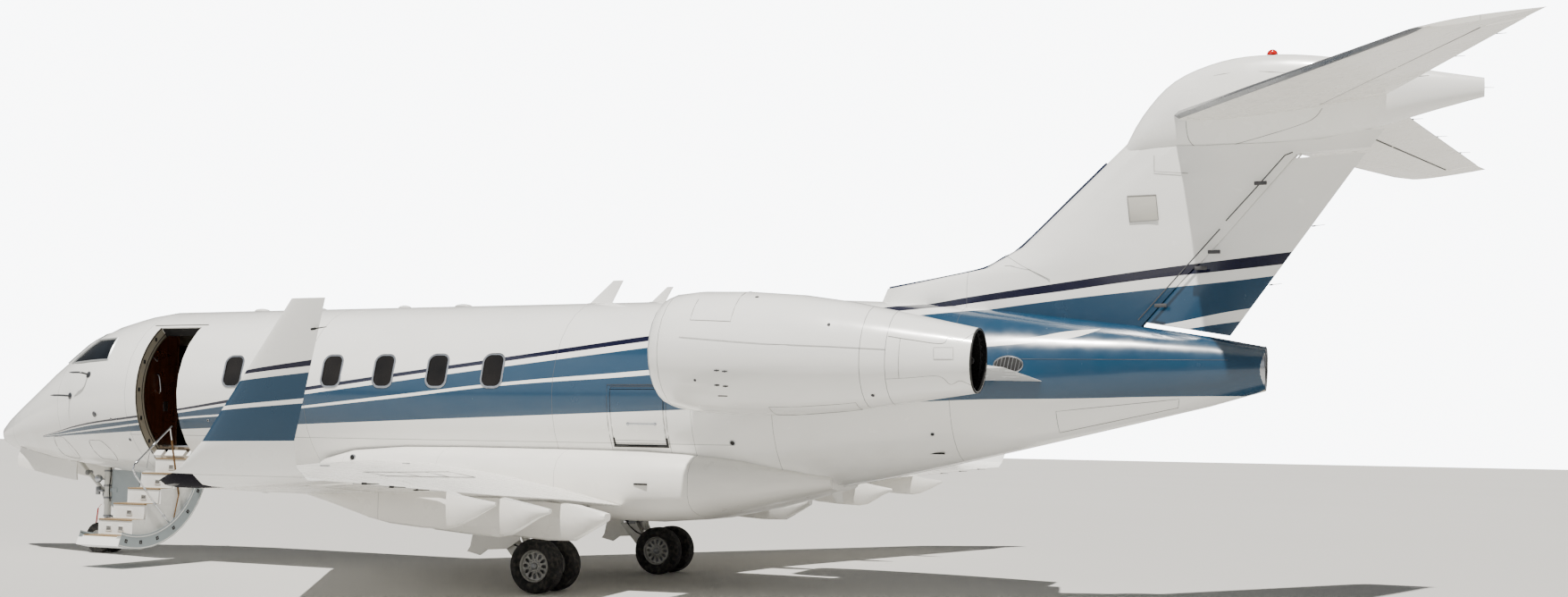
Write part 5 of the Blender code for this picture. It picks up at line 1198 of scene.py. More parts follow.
@dataclass
class Hull:
    """The fuselage's outside, read at any station, for what sits on it and how it catches light."""

    rows: tuple[tuple[float, ...], ...] = (
        (0.0, 1.750, 1.690, 1.720, 0.035), (0.10, 1.880, 1.590, 1.757, 0.136),
        (0.30, 2.023, 1.519, 1.792, 0.251), (0.62, 2.213, 1.451, 1.860, 0.406),
        (0.94, 2.406, 1.400, 1.950, 0.529), (1.29, 2.625, 1.348, 2.050, 0.654),
        (1.60, 2.838, 1.312, 2.130, 0.752), (1.92, 3.037, 1.282, 2.200, 0.841),
        (2.29, 3.255, 1.246, 2.260, 0.965), (2.72, 3.408, 1.211, 2.310, 1.069),
        (3.15, 3.504, 1.180, 2.335, 1.146), (3.64, 3.563, 1.137, 2.350, 1.213),
        (12.30, 3.563, 1.137, 2.350, 1.213), (13.30, 3.555, 1.200, 2.370, 1.175),
        (14.40, 3.500, 1.410, 2.430, 1.030), (15.15, 3.435, 1.580, 2.490, 0.905),
        (15.90, 3.350, 1.760, 2.560, 0.760), (17.20, 3.180, 2.080, 2.650, 0.490),
        (18.00, 3.045, 2.280, 2.680, 0.330), (18.57, 2.930, 2.450, 2.700, 0.220))

    def reach(self, x: float, y: float, z: float) -> float:
        """Say how far out a place is, 1 on the skin.

        Args:
            x: Station.
            y: Side distance.
            z: Height.

        Returns:
            The share of the way from the axis to the skin.
        """
        top, bottom, middle, half = blend_table(self.rows, x)
        tall = top - middle if z > middle else middle - bottom
        return math.hypot(y / half, (z - middle) / tall)

    def normal(self, place: Vector) -> Vector:
        """Return the skin's direction at a place in the shared frame.

        Args:
            place: The place.

        Returns:
            The direction, one long.
        """
        x, y, z = place.x - NOSE, place.y, place.z
        return Vector(((self.reach(x + 0.11, y, z) - self.reach(x - 0.11, y, z)) / 0.22,
                       (self.reach(x, y + 0.003, z) - self.reach(x, y - 0.003, z)) / 0.006,
                       (self.reach(x, y, z + 0.003) - self.reach(x, y, z - 0.003)) / 0.006)).normalized()

    def skin(self, x: float, z: float, side: int = -1, proud: float = 0.0) -> Point:
        """Find the skin at a station and height.

        Args:
            x: Station.
            z: Height.
            side: Which side, -1 for port.
            proud: How far off the skin.

        Returns:
            The place.
        """
        top, bottom, middle, half = blend_table(self.rows, x)
        tall = top - middle if z > middle else middle - bottom
        share = min(1.0, abs(z - middle) / tall)
        return (x, side * (half * math.sqrt(1.0 - share * share) + proud), z)

    def foot(self, x: float, z: float, side: int = -1) -> tuple[Vector, Vector]:
        """Find where a fitting stands on the skin.

        Args:
            x: Station.
            z: Height.
            side: Which side, -1 for port.

        Returns:
            The place and the skin's direction there.
        """
        place = self.skin(x, z, side)
        return Vector(place), self.normal(at(*place))

    def drawn(self, name: str, points: Sequence[Pair], side: int = -1, closed: bool = True,
              width: float = 0.0022, steps: int = 5) -> bpy.types.Object:
        """Draw a panel's joint on the skin as a thin raised line.

        Args:
            name: The piece's name.
            points: Stations and heights along it.
            side: Which side.
            closed: Whether it returns to its start.
            width: Half the line's width.
            steps: How many stretches each gap is cut into.

        Returns:
            The line.
        """
        flat = []
        corners = list(points) + ([points[0]] if closed else [])
        for a, b in zip(corners, corners[1:]):
            flat += [(a[0] + (b[0] - a[0]) * s / steps, a[1] + (b[1] - a[1]) * s / steps)
                     for s in range(steps)]
        if not closed:
            flat.append(corners[-1])
        return Bench.pipe(name, [self.skin(x, z, side, -width * 0.35) for x, z in flat], width, 1, closed)


HULL = Hull()


@dataclass
class Skins:
    """The outer panels, taken from the part's own shapes, smoothed and painted."""

    painted: tuple[tuple[str, str, str, str, float], ...] = (
        ("radome", "airframe", "radome_paint", "livery", 30),
        ("cockpit_shell", "airframe", "white_paint", "livery", 30),
        ("forward_cabin_shell", "airframe", "white_paint", "livery", 30),
        ("centre_cabin_shell", "airframe", "white_paint", "livery", 30),
        ("aft_cabin_shell", "airframe", "white_paint", "livery", 30),
        ("tail_shell", "airframe", "white_paint", "livery", 30),
        ("airstair_door", "airstair", "white_paint", "livery_open_door", 30),
        ("baggage_door", "baggage_hatch", "white_paint", "livery", 30),
        ("belly_fairing", "airframe", "belly_paint", "belly_paint", 32),
        ("fin", "airframe", "white_paint", "livery_fin", 30),
        ("rudder", "rudder_body", "composite_paint", "livery_fin", 30),
        ("stabilizer", "airframe", "composite_paint", "stabilizer_paint", 32),
        ("nose_gear_bay", "airframe", "belly_paint", "belly_paint", 30))
    sided: tuple[tuple[str, str, str, str], ...] = (
        ("wing", "airframe", "white_paint", "wing_paint"),
        ("winglet", "airframe", "composite_paint", "winglet_paint"),
        ("flap", "airframe", "white_paint", "control_paint"),
        ("aileron", "aileron_{}_body", "white_paint", "control_paint"),
        ("elevator", "elevator_{}_body", "composite_paint", "control_paint"),
        ("nacelle", "airframe", "composite_paint", "nacelle_paint"),
        ("engine", "airframe", "engine_metal", "engine_dark"),
        ("pylon", "airframe", "white_paint", "tail_paint"),
        ("main_gear_door", "airframe", "belly_paint", "belly_paint"),
        ("nose_gear_door", "airframe", "belly_paint", "belly_paint"),
        ("window_belt", "airframe", "dark_glass", "cabin_glass"),
        ("windshield", "airframe", "dark_glass", "cockpit_glass"),
        ("side_window", "airframe", "dark_glass", "cockpit_glass"),
        ("main_leg", "airframe", "gear_metal", "gear_white"))
    plain: tuple[tuple[str, str, str, str], ...] = (
        ("nose_leg_door", "airframe", "belly_paint", "door_grey"),
        ("nose_leg", "airframe", "gear_metal", "gear_white"),
        ("nose_fork", "nose_steering", "gear_metal", "gear_white"),
        ("airstair_steps", "airstair", "step_paint", "door_white"),
        ("airstair_handrail", "airstair", "polished_metal", "chrome"),
        ("antenna_forward", "airframe", "white_paint", "tail_paint"),
        ("antenna_aft", "airframe", "white_paint", "tail_paint"),
        ("cabin_floor", "airframe", "carpet", "carpet"),
        ("cockpit_partition", "airframe", "cabin_wood", "cabin_wood"),
        ("cabin_partition", "airframe", "cabin_wood", "cabin_wood"),
        ("instrument_panel", "airframe", "panel_grey", "panel_grey"))

    def build(self) -> None:
        """Dress every panel."""
        for node, body, slot, finish, angle in self.painted:
            piece = self.take(node, body, slot, finish, angle)
            if finish.startswith("livery") and node not in ("fin", "rudder", "airstair_door"):
                self.polish(piece)
        for node, body, slot, finish in self.sided:
            for side in Side:
                self.take(f"{node}_{side.label}", body.format(side.label), slot, finish, 32)
        for node, body, slot, finish in self.plain:
            self.take(node, body, slot, finish, 32)

    @staticmethod
    def take(node: str, body: str, slot: str, finish: str, angle: float) -> bpy.types.Object:
        """Copy a node's shape as one closed surface and dress it.

        Args:
            node: The node's name.
            body: The body that it rides on.
            slot: Its material slot.
            finish: Its finish.
            angle: Edges sharper than this stay crisp, in degrees.

        Returns:
            The piece.
        """
        piece = bpy.data.objects.new(f"{node}_skin", frame["nodes"][node].data.copy())
        bpy.context.scene.collection.objects.link(piece)
        Bench.hold(piece)
        if piece.data.has_custom_normals:
            bpy.ops.mesh.customdata_custom_splitnormals_clear()
        Bench.edit()
        bpy.ops.mesh.remove_doubles(threshold=2e-5)
        bpy.ops.object.mode_set(mode="OBJECT")
        return dress(piece, body, slot, finish, angle, [node])

    @staticmethod
    def polish(piece: bpy.types.Object) -> None:
        """Give the outside of a fuselage panel the light of the true curve.

        Args:
            piece: The panel.
        """
        mesh = piece.data
        places = {v.index: HULL.normal(v.co) for v in mesh.vertices}
        facing = [Vector((0, 0, 0))] * len(mesh.loops)
        for face in mesh.polygons:
            for corner in face.loop_indices:
                true = places[mesh.loops[corner].vertex_index]
                if face.normal.dot(true) > 0.93:
                    facing[corner] = true
        mesh.normals_split_custom_set(facing)


@dataclass
class Studio:
    """The pale floor, the soft lights and the camera at the photograph's angle."""

    eye: Point = (19.670, -16.875, 1.737)
    yaw: float = 22.691
    pitch: float = 2.426
    roll: float = 1.080
    lens: float = 36 * 1665.4 / 1755
    shift: Pair = ((877.5 - 845.4) / 1755, (430.8 - 334) / 1755)

    def build(self) -> None:
        """Set up the studio."""
        self.floor()
        self.light()
        self.camera()

    def floor(self) -> None:
        """Lay the floor."""
        Bench.clear()
        bpy.ops.mesh.primitive_grid_add(x_subdivisions=4, y_subdivisions=4, size=900.0, location=(0, 0, 0))
        floor = Bench.seat("studio_floor")
        graph = Graph("studio_floor")
        cloud = graph.ramp(graph.noise(0.06, (1, 1, 1), 3.0), 0.3, 0.7, 0.0, 0.35)
        graph.feed(graph.mix(cloud, tint(196, 195, 192), tint(189, 188, 184)),
                   graph.shader.inputs["Base Color"])
        graph.shader.inputs["Roughness"].default_value = 0.9
        floor.data.materials.append(graph.material)

    def light(self) -> None:
        """Hang the sun-like key, the side fill and the white surround."""
        world = bpy.data.worlds.new("studio_surround")
        world.use_nodes = True
        tree = world.node_tree
        back = tree.nodes["Background"]
        back.inputs["Color"].default_value = (0.96, 0.98, 1.0, 1.0)
        seen = tree.nodes.new("ShaderNodeLightPath").outputs["Is Camera Ray"]
        level = tree.nodes.new("ShaderNodeMapRange")
        level.inputs["To Min"].default_value = 0.20
        level.inputs["To Max"].default_value = 9.0
        tree.links.new(seen, level.inputs["Value"])
        tree.links.new(level.outputs[0], back.inputs["Strength"])
        bpy.context.scene.world = world
        for name, power, angle, way in (("key", 7.6, 1.0, (-0.14, 0.60, -1.5)),
                                        ("fill", 0.35, 40.0, (0.6, 1.0, -0.5))):
            lamp = bpy.data.lights.new(name, "SUN")
            lamp.energy = power
            lamp.angle = math.radians(angle)
            lamp.color = (1.0, 0.965, 0.91) if name == "key" else (0.92, 0.96, 1.0)
            holder = bpy.data.objects.new(name, lamp)
            holder.rotation_euler = Vector(way).to_track_quat("-Z", "Y").to_euler()
            bpy.context.scene.collection.objects.link(holder)

    def camera(self) -> None:
        """Stand the camera where the photograph was taken."""
        yaw, pitch, roll = (math.radians(a) for a in (self.yaw, self.pitch, self.roll))
        ahead = Vector((-math.sin(yaw) * math.cos(pitch), math.cos(yaw) * math.cos(pitch), math.sin(pitch)))
        right = Vector((math.cos(yaw), math.sin(yaw), 0.0))
        up = right.cross(ahead)
        across = right * math.cos(roll) + up * math.sin(roll)
        above = up * math.cos(roll) - right * math.sin(roll)
        lens = bpy.data.cameras.new("camera")
        lens.lens = self.lens
        lens.sensor_width = 36.0
        lens.shift_x, lens.shift_y = self.shift
        lens.clip_end = 2000.0
        eye = bpy.data.objects.new("camera", lens)
        turn = Matrix((across, above, -ahead)).transposed()
        eye.matrix_world = Matrix.Translation(at(*self.eye)) @ turn.to_4x4()
        bpy.context.scene.collection.objects.link(eye)
        bpy.context.scene.camera = eye


@dataclass
class Windows:
    """The rings round the cabin windows and the frames of the cockpit's glass."""

    first: float = 5.503
    pitch: float = 0.815
    count: int = 6
    size: Pair = (0.290, 0.420)
    corner: float = 0.100
    ease: float = 0.35
    tilt: float = math.asin(0.289 / CABIN_RADIUS)
    radius: float = CABIN_RADIUS
    axis_height: float = CABIN_AXIS
    windshield: Pairs = ((0.045, 2.905), (0.560, 2.800), (0.520, 3.190), (0.045, 3.290))
    side_pane: Pairs = ((2.170, 2.775), (3.140, 2.812), (3.085, 3.130), (2.560, 3.120))
    section: Pairs = (
        (0.020, 0.0004), (0.018, 0.0036), (0.004, 0.0056), (-0.008, 0.0030), (-0.010, -0.020),
        (-0.012, -0.052), (-0.002, -0.052), (-0.001, -0.004))

    def build(self) -> None:
        """Build the rings and frames."""
        ring = self.ring()
        rings = []
        for k in range(self.count):
            near = Bench.shift(ring, k * self.pitch)
            rings += [near, Bench.mirror(near)]
        bpy.data.objects.remove(ring)
        dress(Bench.join("cabin_window_rings", rings), "airframe", "polished_metal", "bright_metal", 40)
        frames = []
        for side in (-1, 1):
            frames.append(HULL.drawn("frame", self.side_pane, side, width=0.020))
            front = [self.windshield_place(side, y, z) for y, z in self.windshield]
            path = []
            for a, b in zip(front, front[1:] + front[:1]):
                path += [tuple(p + (q - p) * s / 6 for p, q in zip(a, b)) for s in range(6)]
            path = [self.windshield_place(side, abs(y), z) for _, y, z in path]
            frames.append(Bench.pipe("frame", path, 0.018, 1, True))
        dress(Bench.join("cockpit_window_frames", frames), "airframe", "panel_grey", "frame_grey", 40)

    def place(self, across: float, arc: float, proud: float) -> Point:
        """Find a place on the cabin wall near the first window.

        Args:
            across: Distance aft of the window's middle.
            arc: Distance up the wall from its middle.
            proud: Distance off the wall.

        Returns:
            The place, on the port side.
        """
        angle = self.tilt + arc / self.radius
        reach = self.radius + proud
        return (self.first + across, -reach * math.cos(angle), self.axis_height + reach * math.sin(angle))

    def ring(self) -> bpy.types.Object:
        """Model one window's ring, with its outer flange and the reveal behind it.

        Returns:
            The ring.
        """
        wide, tall = self.size
        rows = []
        for u, v in corner_box(wide, tall, self.corner, 6):
            reach = math.hypot(u / wide, v / tall) + self.ease
            rows.append([self.place(u * (1 + 2 * s / wide * (abs(u) / wide + self.ease) / reach),
                                    v * (1 + 2 * s / tall * (abs(v) / tall + self.ease) / reach), n)
                         for s, n in self.section])
        return Bench.net("window_ring", rows + rows[:1], True, False)

    def windshield_place(self, side: int, y: float, z: float) -> Point:
        """Find the station where the nose skin passes a side distance and height.

        Args:
            side: Which side.
            y: Distance from the middle.
            z: Height.

        Returns:
            The place on the skin.
        """
        low, high = 0.5, 3.6
        for _ in range(30):
            middle = (low + high) / 2
            if HULL.reach(middle, y, z) > 1.0:
                low = middle
            else:
                high = middle
        return (high, side * y, z)


@dataclass
class Doorway:
    """The cabin doorway's lined edge, its latches, header, sill and rain gutter."""

    front: float = 3.832
    back: float = 4.573
    low: float = -46.0
    high: float = 50.4
    radius: float = CABIN_RADIUS
    axis_height: float = CABIN_AXIS
    latches: tuple[float, ...] = (-36.0, -18.0, 2.0, 22.0, 41.0)
    gutter: tuple[float, ...] = (3.70, 3.86, 4.02, 4.18, 4.34, 4.50, 4.66)

    def build(self) -> None:
        """Build the doorway's fittings."""
        lined = [self.arc("jamb", self.front - 0.002, self.front + 0.0015, 1.040, 1.209, self.low, self.high),
                 self.arc("jamb", self.front - 0.030, self.front + 0.0015, 1.040, 1.056, self.low, self.high),
                 self.arc("jamb", self.back + 0.0005, self.back + 0.005, 1.075, 1.205, self.low, self.high)]
        dress(Bench.join("door_jamb", lined), "airframe", "panel_grey", "jamb_green", 35)
        seals = [self.arc("seal", self.front + 0.001, self.front + 0.0030, reach - 0.006, reach + 0.006,
                          self.low, self.high)
                 for reach in (1.196, 1.090)]
        seals.append(Bench.pipe("header_seal", [self.spot(x, 1.135, 50.16) for x in (3.84, 4.2, 4.56)],
                                0.0035, 2))
        dress(Bench.join("door_seals", seals), "airframe", "tyre_rubber", "seal_rubber", 40)
        latches = []
        for angle in self.latches:
            x, y, z = self.spot(self.front, 1.145, angle)
            latches.append(Bench.block("latch", (x, y - 0.019, z - 0.026),
                                       (x + 0.0032, y + 0.019, z + 0.026), 0.001))
            latches.append(Bench.rod("latch_pin", (x, y, z), (x + 0.0042, y, z), 0.010, ease=0.0005))
        dress(Bench.join("door_jamb_latches", latches), "airframe", "gear_metal", "black_matt", 35)
        sill = [Bench.block("sill", (3.838, -0.690, 1.600), (4.568, -0.630, 1.6225), 0.003)]
        sill += [Bench.block("sill_rib", (3.850, -0.686 + k * 0.012, 1.6215),
                             (4.556, -0.681 + k * 0.012, 1.6245), 0.001)
                 for k in range(6)]
        dress(Bench.join("door_sill", sill), "airframe", "polished_metal", "bright_metal", 35)
        gutter = [HULL.skin(x, 3.312 - 0.004 * abs(x - 4.18), -1, 0.001) for x in self.gutter]
        dress(Bench.pipe("door_gutter", gutter, 0.006, 2), "airframe", "white_paint", "line_soft", 40)
        headers = [self.arc("header", 3.845, 4.560, 1.060, 1.190, 50.02, 50.3)]
        dress(Bench.join("door_header", headers), "airframe", "panel_grey", "black_matt", 35)

    def spot(self, x: float, reach: float, angle: float) -> Point:
        """Find a place round the cabin's axis on the port side."""
        turn = math.radians(angle)
        return (x, -reach * math.cos(turn), self.axis_height + reach * math.sin(turn))

    def arc(self, name: str, x0: float, x1: float, inner: float, outer: float, low: float,
            high: float) -> bpy.types.Object:
        """Bend a strip round the cabin's axis.

        Args:
            name: The piece's name.
            x0: Its first station.
            x1: Its last station.
            inner: Its inner radius.
            outer: Its outer radius.
            low: Its lowest angle.
            high: Its highest angle.

        Returns:
            The strip.
        """
        rows = [[self.spot(x0, inner, a), self.spot(x1, inner, a), self.spot(x1, outer, a),
                 self.spot(x0, outer, a)]
                for a in (low + (high - low) * k / 20 for k in range(21))]
        return Bench.net(name, rows)


@dataclass
class Airstair:
    """The stairs in the open door: treads, riser vents, banded sides, latches and rail fittings."""

    hinge: Pair = (-0.631, 1.413)
    turn: float = 121.6
    steps: int = 6
    rise: float = 0.202
    going: float = 0.242
    first: Pair = (-0.871, 1.440)
    span: Pair = (3.910, 4.500)
    rail: Points = (
        (4.530, -1.165, 0.520), (4.530, -1.460, 0.810), (4.530, -1.845, 1.225), (4.530, -1.885, 1.300),
        (4.530, -1.870, 1.360), (4.530, -1.230, 1.885))
    latches: tuple[float, ...] = (-34.0, -17.0, 0.0, 16.0, 31.0, 44.0)
    cable: Points = (
        (3.905, -0.898, 1.462), (3.905, -0.925, 1.53), (3.905, -0.955, 1.545), (3.900, -0.985, 1.48),
        (3.900, -1.02, 1.30))

    def build(self) -> None:
        """Build the stair's fittings."""
        mats, noses, vents, rims = [], [], [], []
        middle = (self.span[0] + self.span[1]) / 2
        for k in range(self.steps):
            top = self.first[1] - k * self.rise
            outer = self.first[0] - k * self.going
            inner = outer + self.going
            mats.append(Bench.block("mat", (self.span[0] + 0.022, outer + 0.026, top - 0.002),
                                    (self.span[1] - 0.022, inner - 0.014, top + 0.004), 0.002))
            noses.append(Bench.block("nose", (self.span[0] + 0.004, outer - 0.010, top - 0.016),
                                     (self.span[1] - 0.004, outer + 0.018, top + 0.0045), 0.006, 3))
            if k == self.steps - 1:
                continue
            places = (middle - 0.150, middle + 0.060) if k == self.steps - 2 else (middle - 0.045,)
            for x in places:
                low, high = (x, outer - 0.006, top - 0.150), (x + 0.082, outer + 0.002, top - 0.088)
                # Painted shade: the vent's opening is a black block behind its rims and slats.
                vents.append(Bench.block("vent", low, high, 0.002))
                for side in (-1, 1):
                    z = (low[2] + high[2]) / 2 + side * (high[2] - low[2]) / 2
                    rims.append(Bench.block("rim", (x - 0.007, outer - 0.009, z - 0.005),
                                            (x + 0.089, outer + 0.001, z + 0.005), 0.002))
                    edge = x + 0.041 + side * 0.045
                    rims.append(Bench.block("rim", (edge - 0.005, outer - 0.009, low[2] - 0.004),
                                            (edge + 0.005, outer + 0.001, high[2] + 0.004), 0.002))
                for slat in range(3):
                    z = low[2] + 0.015 + slat * 0.016
                    rims.append(Bench.block("slat", (x, outer - 0.008, z),
                                            (x + 0.082, outer - 0.002, z + 0.003), 0.001))
        dress(Bench.join("tread_mats", mats), "airstair", "carpet", "tread_grit", 35)
        dress(Bench.join("tread_noses", noses), "airstair", "carpet", "tread_grit", 35)
        dress(Bench.join("riser_vents", vents), "airstair", "panel_grey", "black_matt", 35)
        dress(Bench.join("riser_vent_rims", rims), "airstair", "step_paint", "door_white", 35)
        self.door_edges()
        self.rail_fittings()

    def door_edges(self) -> None:
        """Band the door's curved edges, with their seals, latches and bolts."""
        door = Doorway()
        bands, seals, latches, bolts = [], [], [], []
        for x, way in ((4.565, 1), (3.840, -1)):
            a, b = (x, x + 0.0015) if way > 0 else (x - 0.0015, x)
            bands.append(door.arc("band", a, b, 1.020, 1.209, -44.8, 49.3))
            for reach in (1.196, 1.048):
                low, high = sorted((x, x + way * 0.0028))
                seals.append(door.arc("seal", low, high, reach - 0.0055, reach + 0.0055, -44.5, 49.0))
            for angle in self.latches:
                p = door.spot(x + way * 0.0016, 1.120, angle)
                tile = Bench.block("latch", (p[0] - 0.0014, p[1] - 0.024, p[2] - 0.024),
                                   (p[0] + 0.0014, p[1] + 0.024, p[2] + 0.024), 0.001)
                spin = Matrix.Translation(at(*p)) @ Matrix.Rotation(-math.radians(angle), 4, "X")
                latches.append(Bench.copy(tile, spin @ Matrix.Translation(-at(*p))))
                bpy.data.objects.remove(tile)
                bolts.append(Bench.rod("bolt", p, (p[0] + way * 0.0020, p[1], p[2]), 0.009, ease=0.0004))
        for name, parts, slot, finish in (("door_bands", bands, "step_paint", "door_grey"),
                                          ("door_band_seals", seals, "step_paint", "door_white"),
                                          ("door_band_latches", latches, "gear_metal", "black_matt"),
                                          ("door_band_bolts", bolts, "gear_metal", "gear_steel")):
            piece = Bench.join(name, parts)
            piece.data.transform(self.opening())
            dress(piece, "airstair", slot, finish, 35)

    def opening(self) -> Matrix:
        """Return the move that swings the shut door open."""
        hinge = Matrix.Translation(at(-NOSE, *self.hinge))
        return hinge @ Matrix.Rotation(math.radians(self.turn), 4, "X") @ hinge.inverted()

    def rail_fittings(self) -> None:
        """Add the rail's collars, grip, strut and forward cable."""
        collars = []
        for a, b in zip(self.rail, self.rail[1:]):
            for share in (0.04, 0.5):
                p = [u + (v - u) * share for u, v in zip(a, b)]
                q = [u + (v - u) * (share + 0.07) for u, v in zip(a, b)]
                collars.append(Bench.rod("collar", tuple(p), tuple(q), 0.0165, sides=20))
        collars.append(Bench.block("shoe", (4.508, -1.225, 0.462), (4.552, -1.105, 0.478), 0.004))
        dress(Bench.join("rail_collars", collars), "airstair", "polished_metal", "bright_metal", 35)
        strut = [Bench.rod("strut", (4.53, -1.062, 0.955), (4.53, -1.225, 1.695), 0.0125),
                 Bench.rod("strut_end", (4.53, -1.135, 0.640), (4.53, -1.062, 0.955), 0.0095)]
        dress(Bench.join("rail_strut", strut), "airstair", "gear_metal", "hose_brown", 35)
        cable = rounded(self.cable, 8)
        stays = [Bench.pipe("cable", cable, 0.004, 2),
                 Bench.rod("cable_foot", (3.900, -0.870, 1.436), (3.900, -0.892, 1.476), 0.011)]
        dress(Bench.join("stair_cable", stays), "airstair", "polished_metal", "bright_metal", 40)


@dataclass
class FuselageTrim:
    """What sits on the fuselage: probes, outlines, ports, antennas, beacons, tail exhaust and intakes."""

    ovals: tuple[Pairs, ...] = (
        ((1.757, 1.693), (1.885, 1.707), (1.999, 1.695), (2.122, 1.542), (2.066, 1.411), (1.868, 1.407),
         (1.710, 1.470)),
        ((2.621, 1.652), (2.786, 1.667), (2.915, 1.656), (3.023, 1.518), (2.962, 1.390), (2.809, 1.399),
         (2.616, 1.434)))
    hatch_frame: Pairs = ((11.20, 2.46), (11.98, 2.46), (11.98, 1.66), (11.20, 1.66))
    tail_panel: Pairs = ((16.42, 2.20), (17.70, 2.35), (17.68, 2.26), (16.42, 1.97))
    stringer: Pairs = ((16.0, 2.768), (18.2, 2.772))
    probes: Pairs = ((2.380, 2.300), (2.780, 2.600))
    vane: Pair = (2.95, 2.04)
    ports: Points = (
        (3.567, 1.690, 0.030), (5.084, 1.971, 0.018), (3.30, 1.98, 0.016), (3.42, 1.98, 0.016),
        (12.78, 1.79, 0.038), (15.08, 1.93, 0.026))
    wing_root_port: Point = (7.56, 1.245, 1.52)
    slots: Points = ((11.74, 1.341, 1.290), (15.08, 0.520, 1.715))
    hatch: Pairs = ((11.250, 1.800), (11.940, 1.800), (11.940, 2.440), (11.250, 2.440))
    grip_height: float = 1.995
    scuff_height: float = 1.735
    intake: Pair = (15.93, 2.705)
    intake_size: Pair = (0.155, 0.095)
    antennas: Pairs = ((10.27, 0.33), (11.16, 0.20))
    domes: Pairs = ((4.95, 0.11), (5.9, 0.16), (7.4, 0.09), (8.35, 0.12))
    beacon: Pairs = ((0.0, 0.058), (0.022, 0.056), (0.046, 0.044), (0.060, 0.022), (0.064, 0.0))
    beacons: tuple[tuple[Point, int], ...] = (((18.62, 0.0, 6.098), 1), ((9.1, 0.0, 0.852), -1))
    belly_blades: tuple[tuple[float, ...], ...] = (
        (4.95, 0.0, 1.140, 0.17, 0.20), (6.1, 0.28, 1.155, 0.12, 0.14), (13.6, 0.0, 1.245, 0.14, 0.16))
    tail_ring: Pairs = (
        (-0.050, 0.228), (0.0, 0.232), (0.010, 0.222), (0.010, 0.175), (-0.10, 0.160), (-0.10, 0.150),
        (0.004, 0.162), (0.004, 0.20))
    tail_core: Pairs = ((-0.04, 0.200), (0.002, 0.200), (0.003, 0.120), (-0.020, 0.105), (-0.020, 0.0))

    def build(self) -> None:
        """Build the trim."""
        lines = []
        for side in (-1, 1):
            for oval in self.ovals:
                smooth = [(p[0], p[1]) for p in rounded([(x, z, 0) for x, z in oval], 4, True)]
                lines.append(HULL.drawn("oval", smooth, side, steps=1))
            lines.append(HULL.drawn("hatch", self.hatch_frame, side, width=0.003))
            lines.append(HULL.drawn("tail_panel", self.tail_panel, side))
            lines.append(HULL.drawn("stringer", self.stringer, side, closed=False))
        dress(Bench.join("panel_outlines", lines), "airframe", "panel_grey", "line_dark", 40)
        self.pitots()
        self.dots()
        self.hatch_fittings()
        self.crown()
        self.tail_fittings()

    def pitots(self) -> None:
        """Model the bent pitot probes and the angle vanes."""
        metal = []
        for side in (-1, 1):
            for x, z in self.probes:
                foot, out = HULL.foot(x, z, side)
                tip = foot + out * 0.110
                path = rounded((foot - out * 0.01, foot + out * 0.05, tip + Vector((-0.03, 0, 0)),
                                tip + Vector((-0.17, 0, 0))), 5)
                metal.append(Bench.pipe("probe", path, 0.014, 2))
                metal.append(Bench.rod("probe_tip", tuple(tip + Vector((-0.16, 0, 0))),
                                       tuple(tip + Vector((-0.235, 0, 0))), 0.0135, 0.0050))
                metal.append(Bench.rod("probe_foot", tuple(foot - out * 0.004), tuple(foot + out * 0.005),
                                       0.048, sides=24))
            foot, out = HULL.foot(*self.vane, side)
            metal.append(Bench.rod("vane_foot", tuple(foot - out * 0.004), tuple(foot + out * 0.006), 0.042,
                                   sides=24))
            metal.append(Bench.rod("vane", tuple(foot), tuple(foot + out * 0.06 + Vector((0.09, 0, -0.01))),
                                   0.010, 0.004))
        dress(Bench.join("air_probes", metal), "airframe", "polished_metal", "spinner_grey", 35)

    def dots(self) -> None:
        """Set the round static ports and vents into the skin."""
        plates, holes = [], []
        for side in (-1, 1):
            for x, z, size in self.ports:
                foot, out = HULL.foot(x, z, side)
                plates.append(Bench.rod("port", tuple(foot - out * 0.004), tuple(foot + out * 0.0025), size,
                                        sides=24))
                # Painted shade: a black disc stands for the port's open hole.
                holes.append(Bench.rod("hole", tuple(foot), tuple(foot + out * 0.0032), size * 0.72,
                                       sides=20))
        for side in (-1, 1):
            x, y, z = self.wing_root_port
            plates.append(Bench.rod("port", (x, side * (y - 0.02), z), (x, side * (y + 0.004), z), 0.042,
                                    sides=28))
            holes.append(Bench.rod("hole", (x, side * y, z), (x, side * (y + 0.0055), z), 0.042 * 0.74,
                                   sides=24))
            # Painted shade: black blocks stand for the open slots.
            for x, y, z in self.slots:
                low, high = sorted((side * (y - 0.02), side * (y + 0.004)))
                holes.append(Bench.block("slot", (x - 0.085, low, z - 0.010), (x + 0.085, high, z + 0.010),
                                         0.003))
        dress(Bench.join("static_ports", plates), "airframe", "polished_metal", "bright_metal", 35)
        dress(Bench.join("static_port_holes", holes), "airframe", "panel_grey", "black_matt", 35)

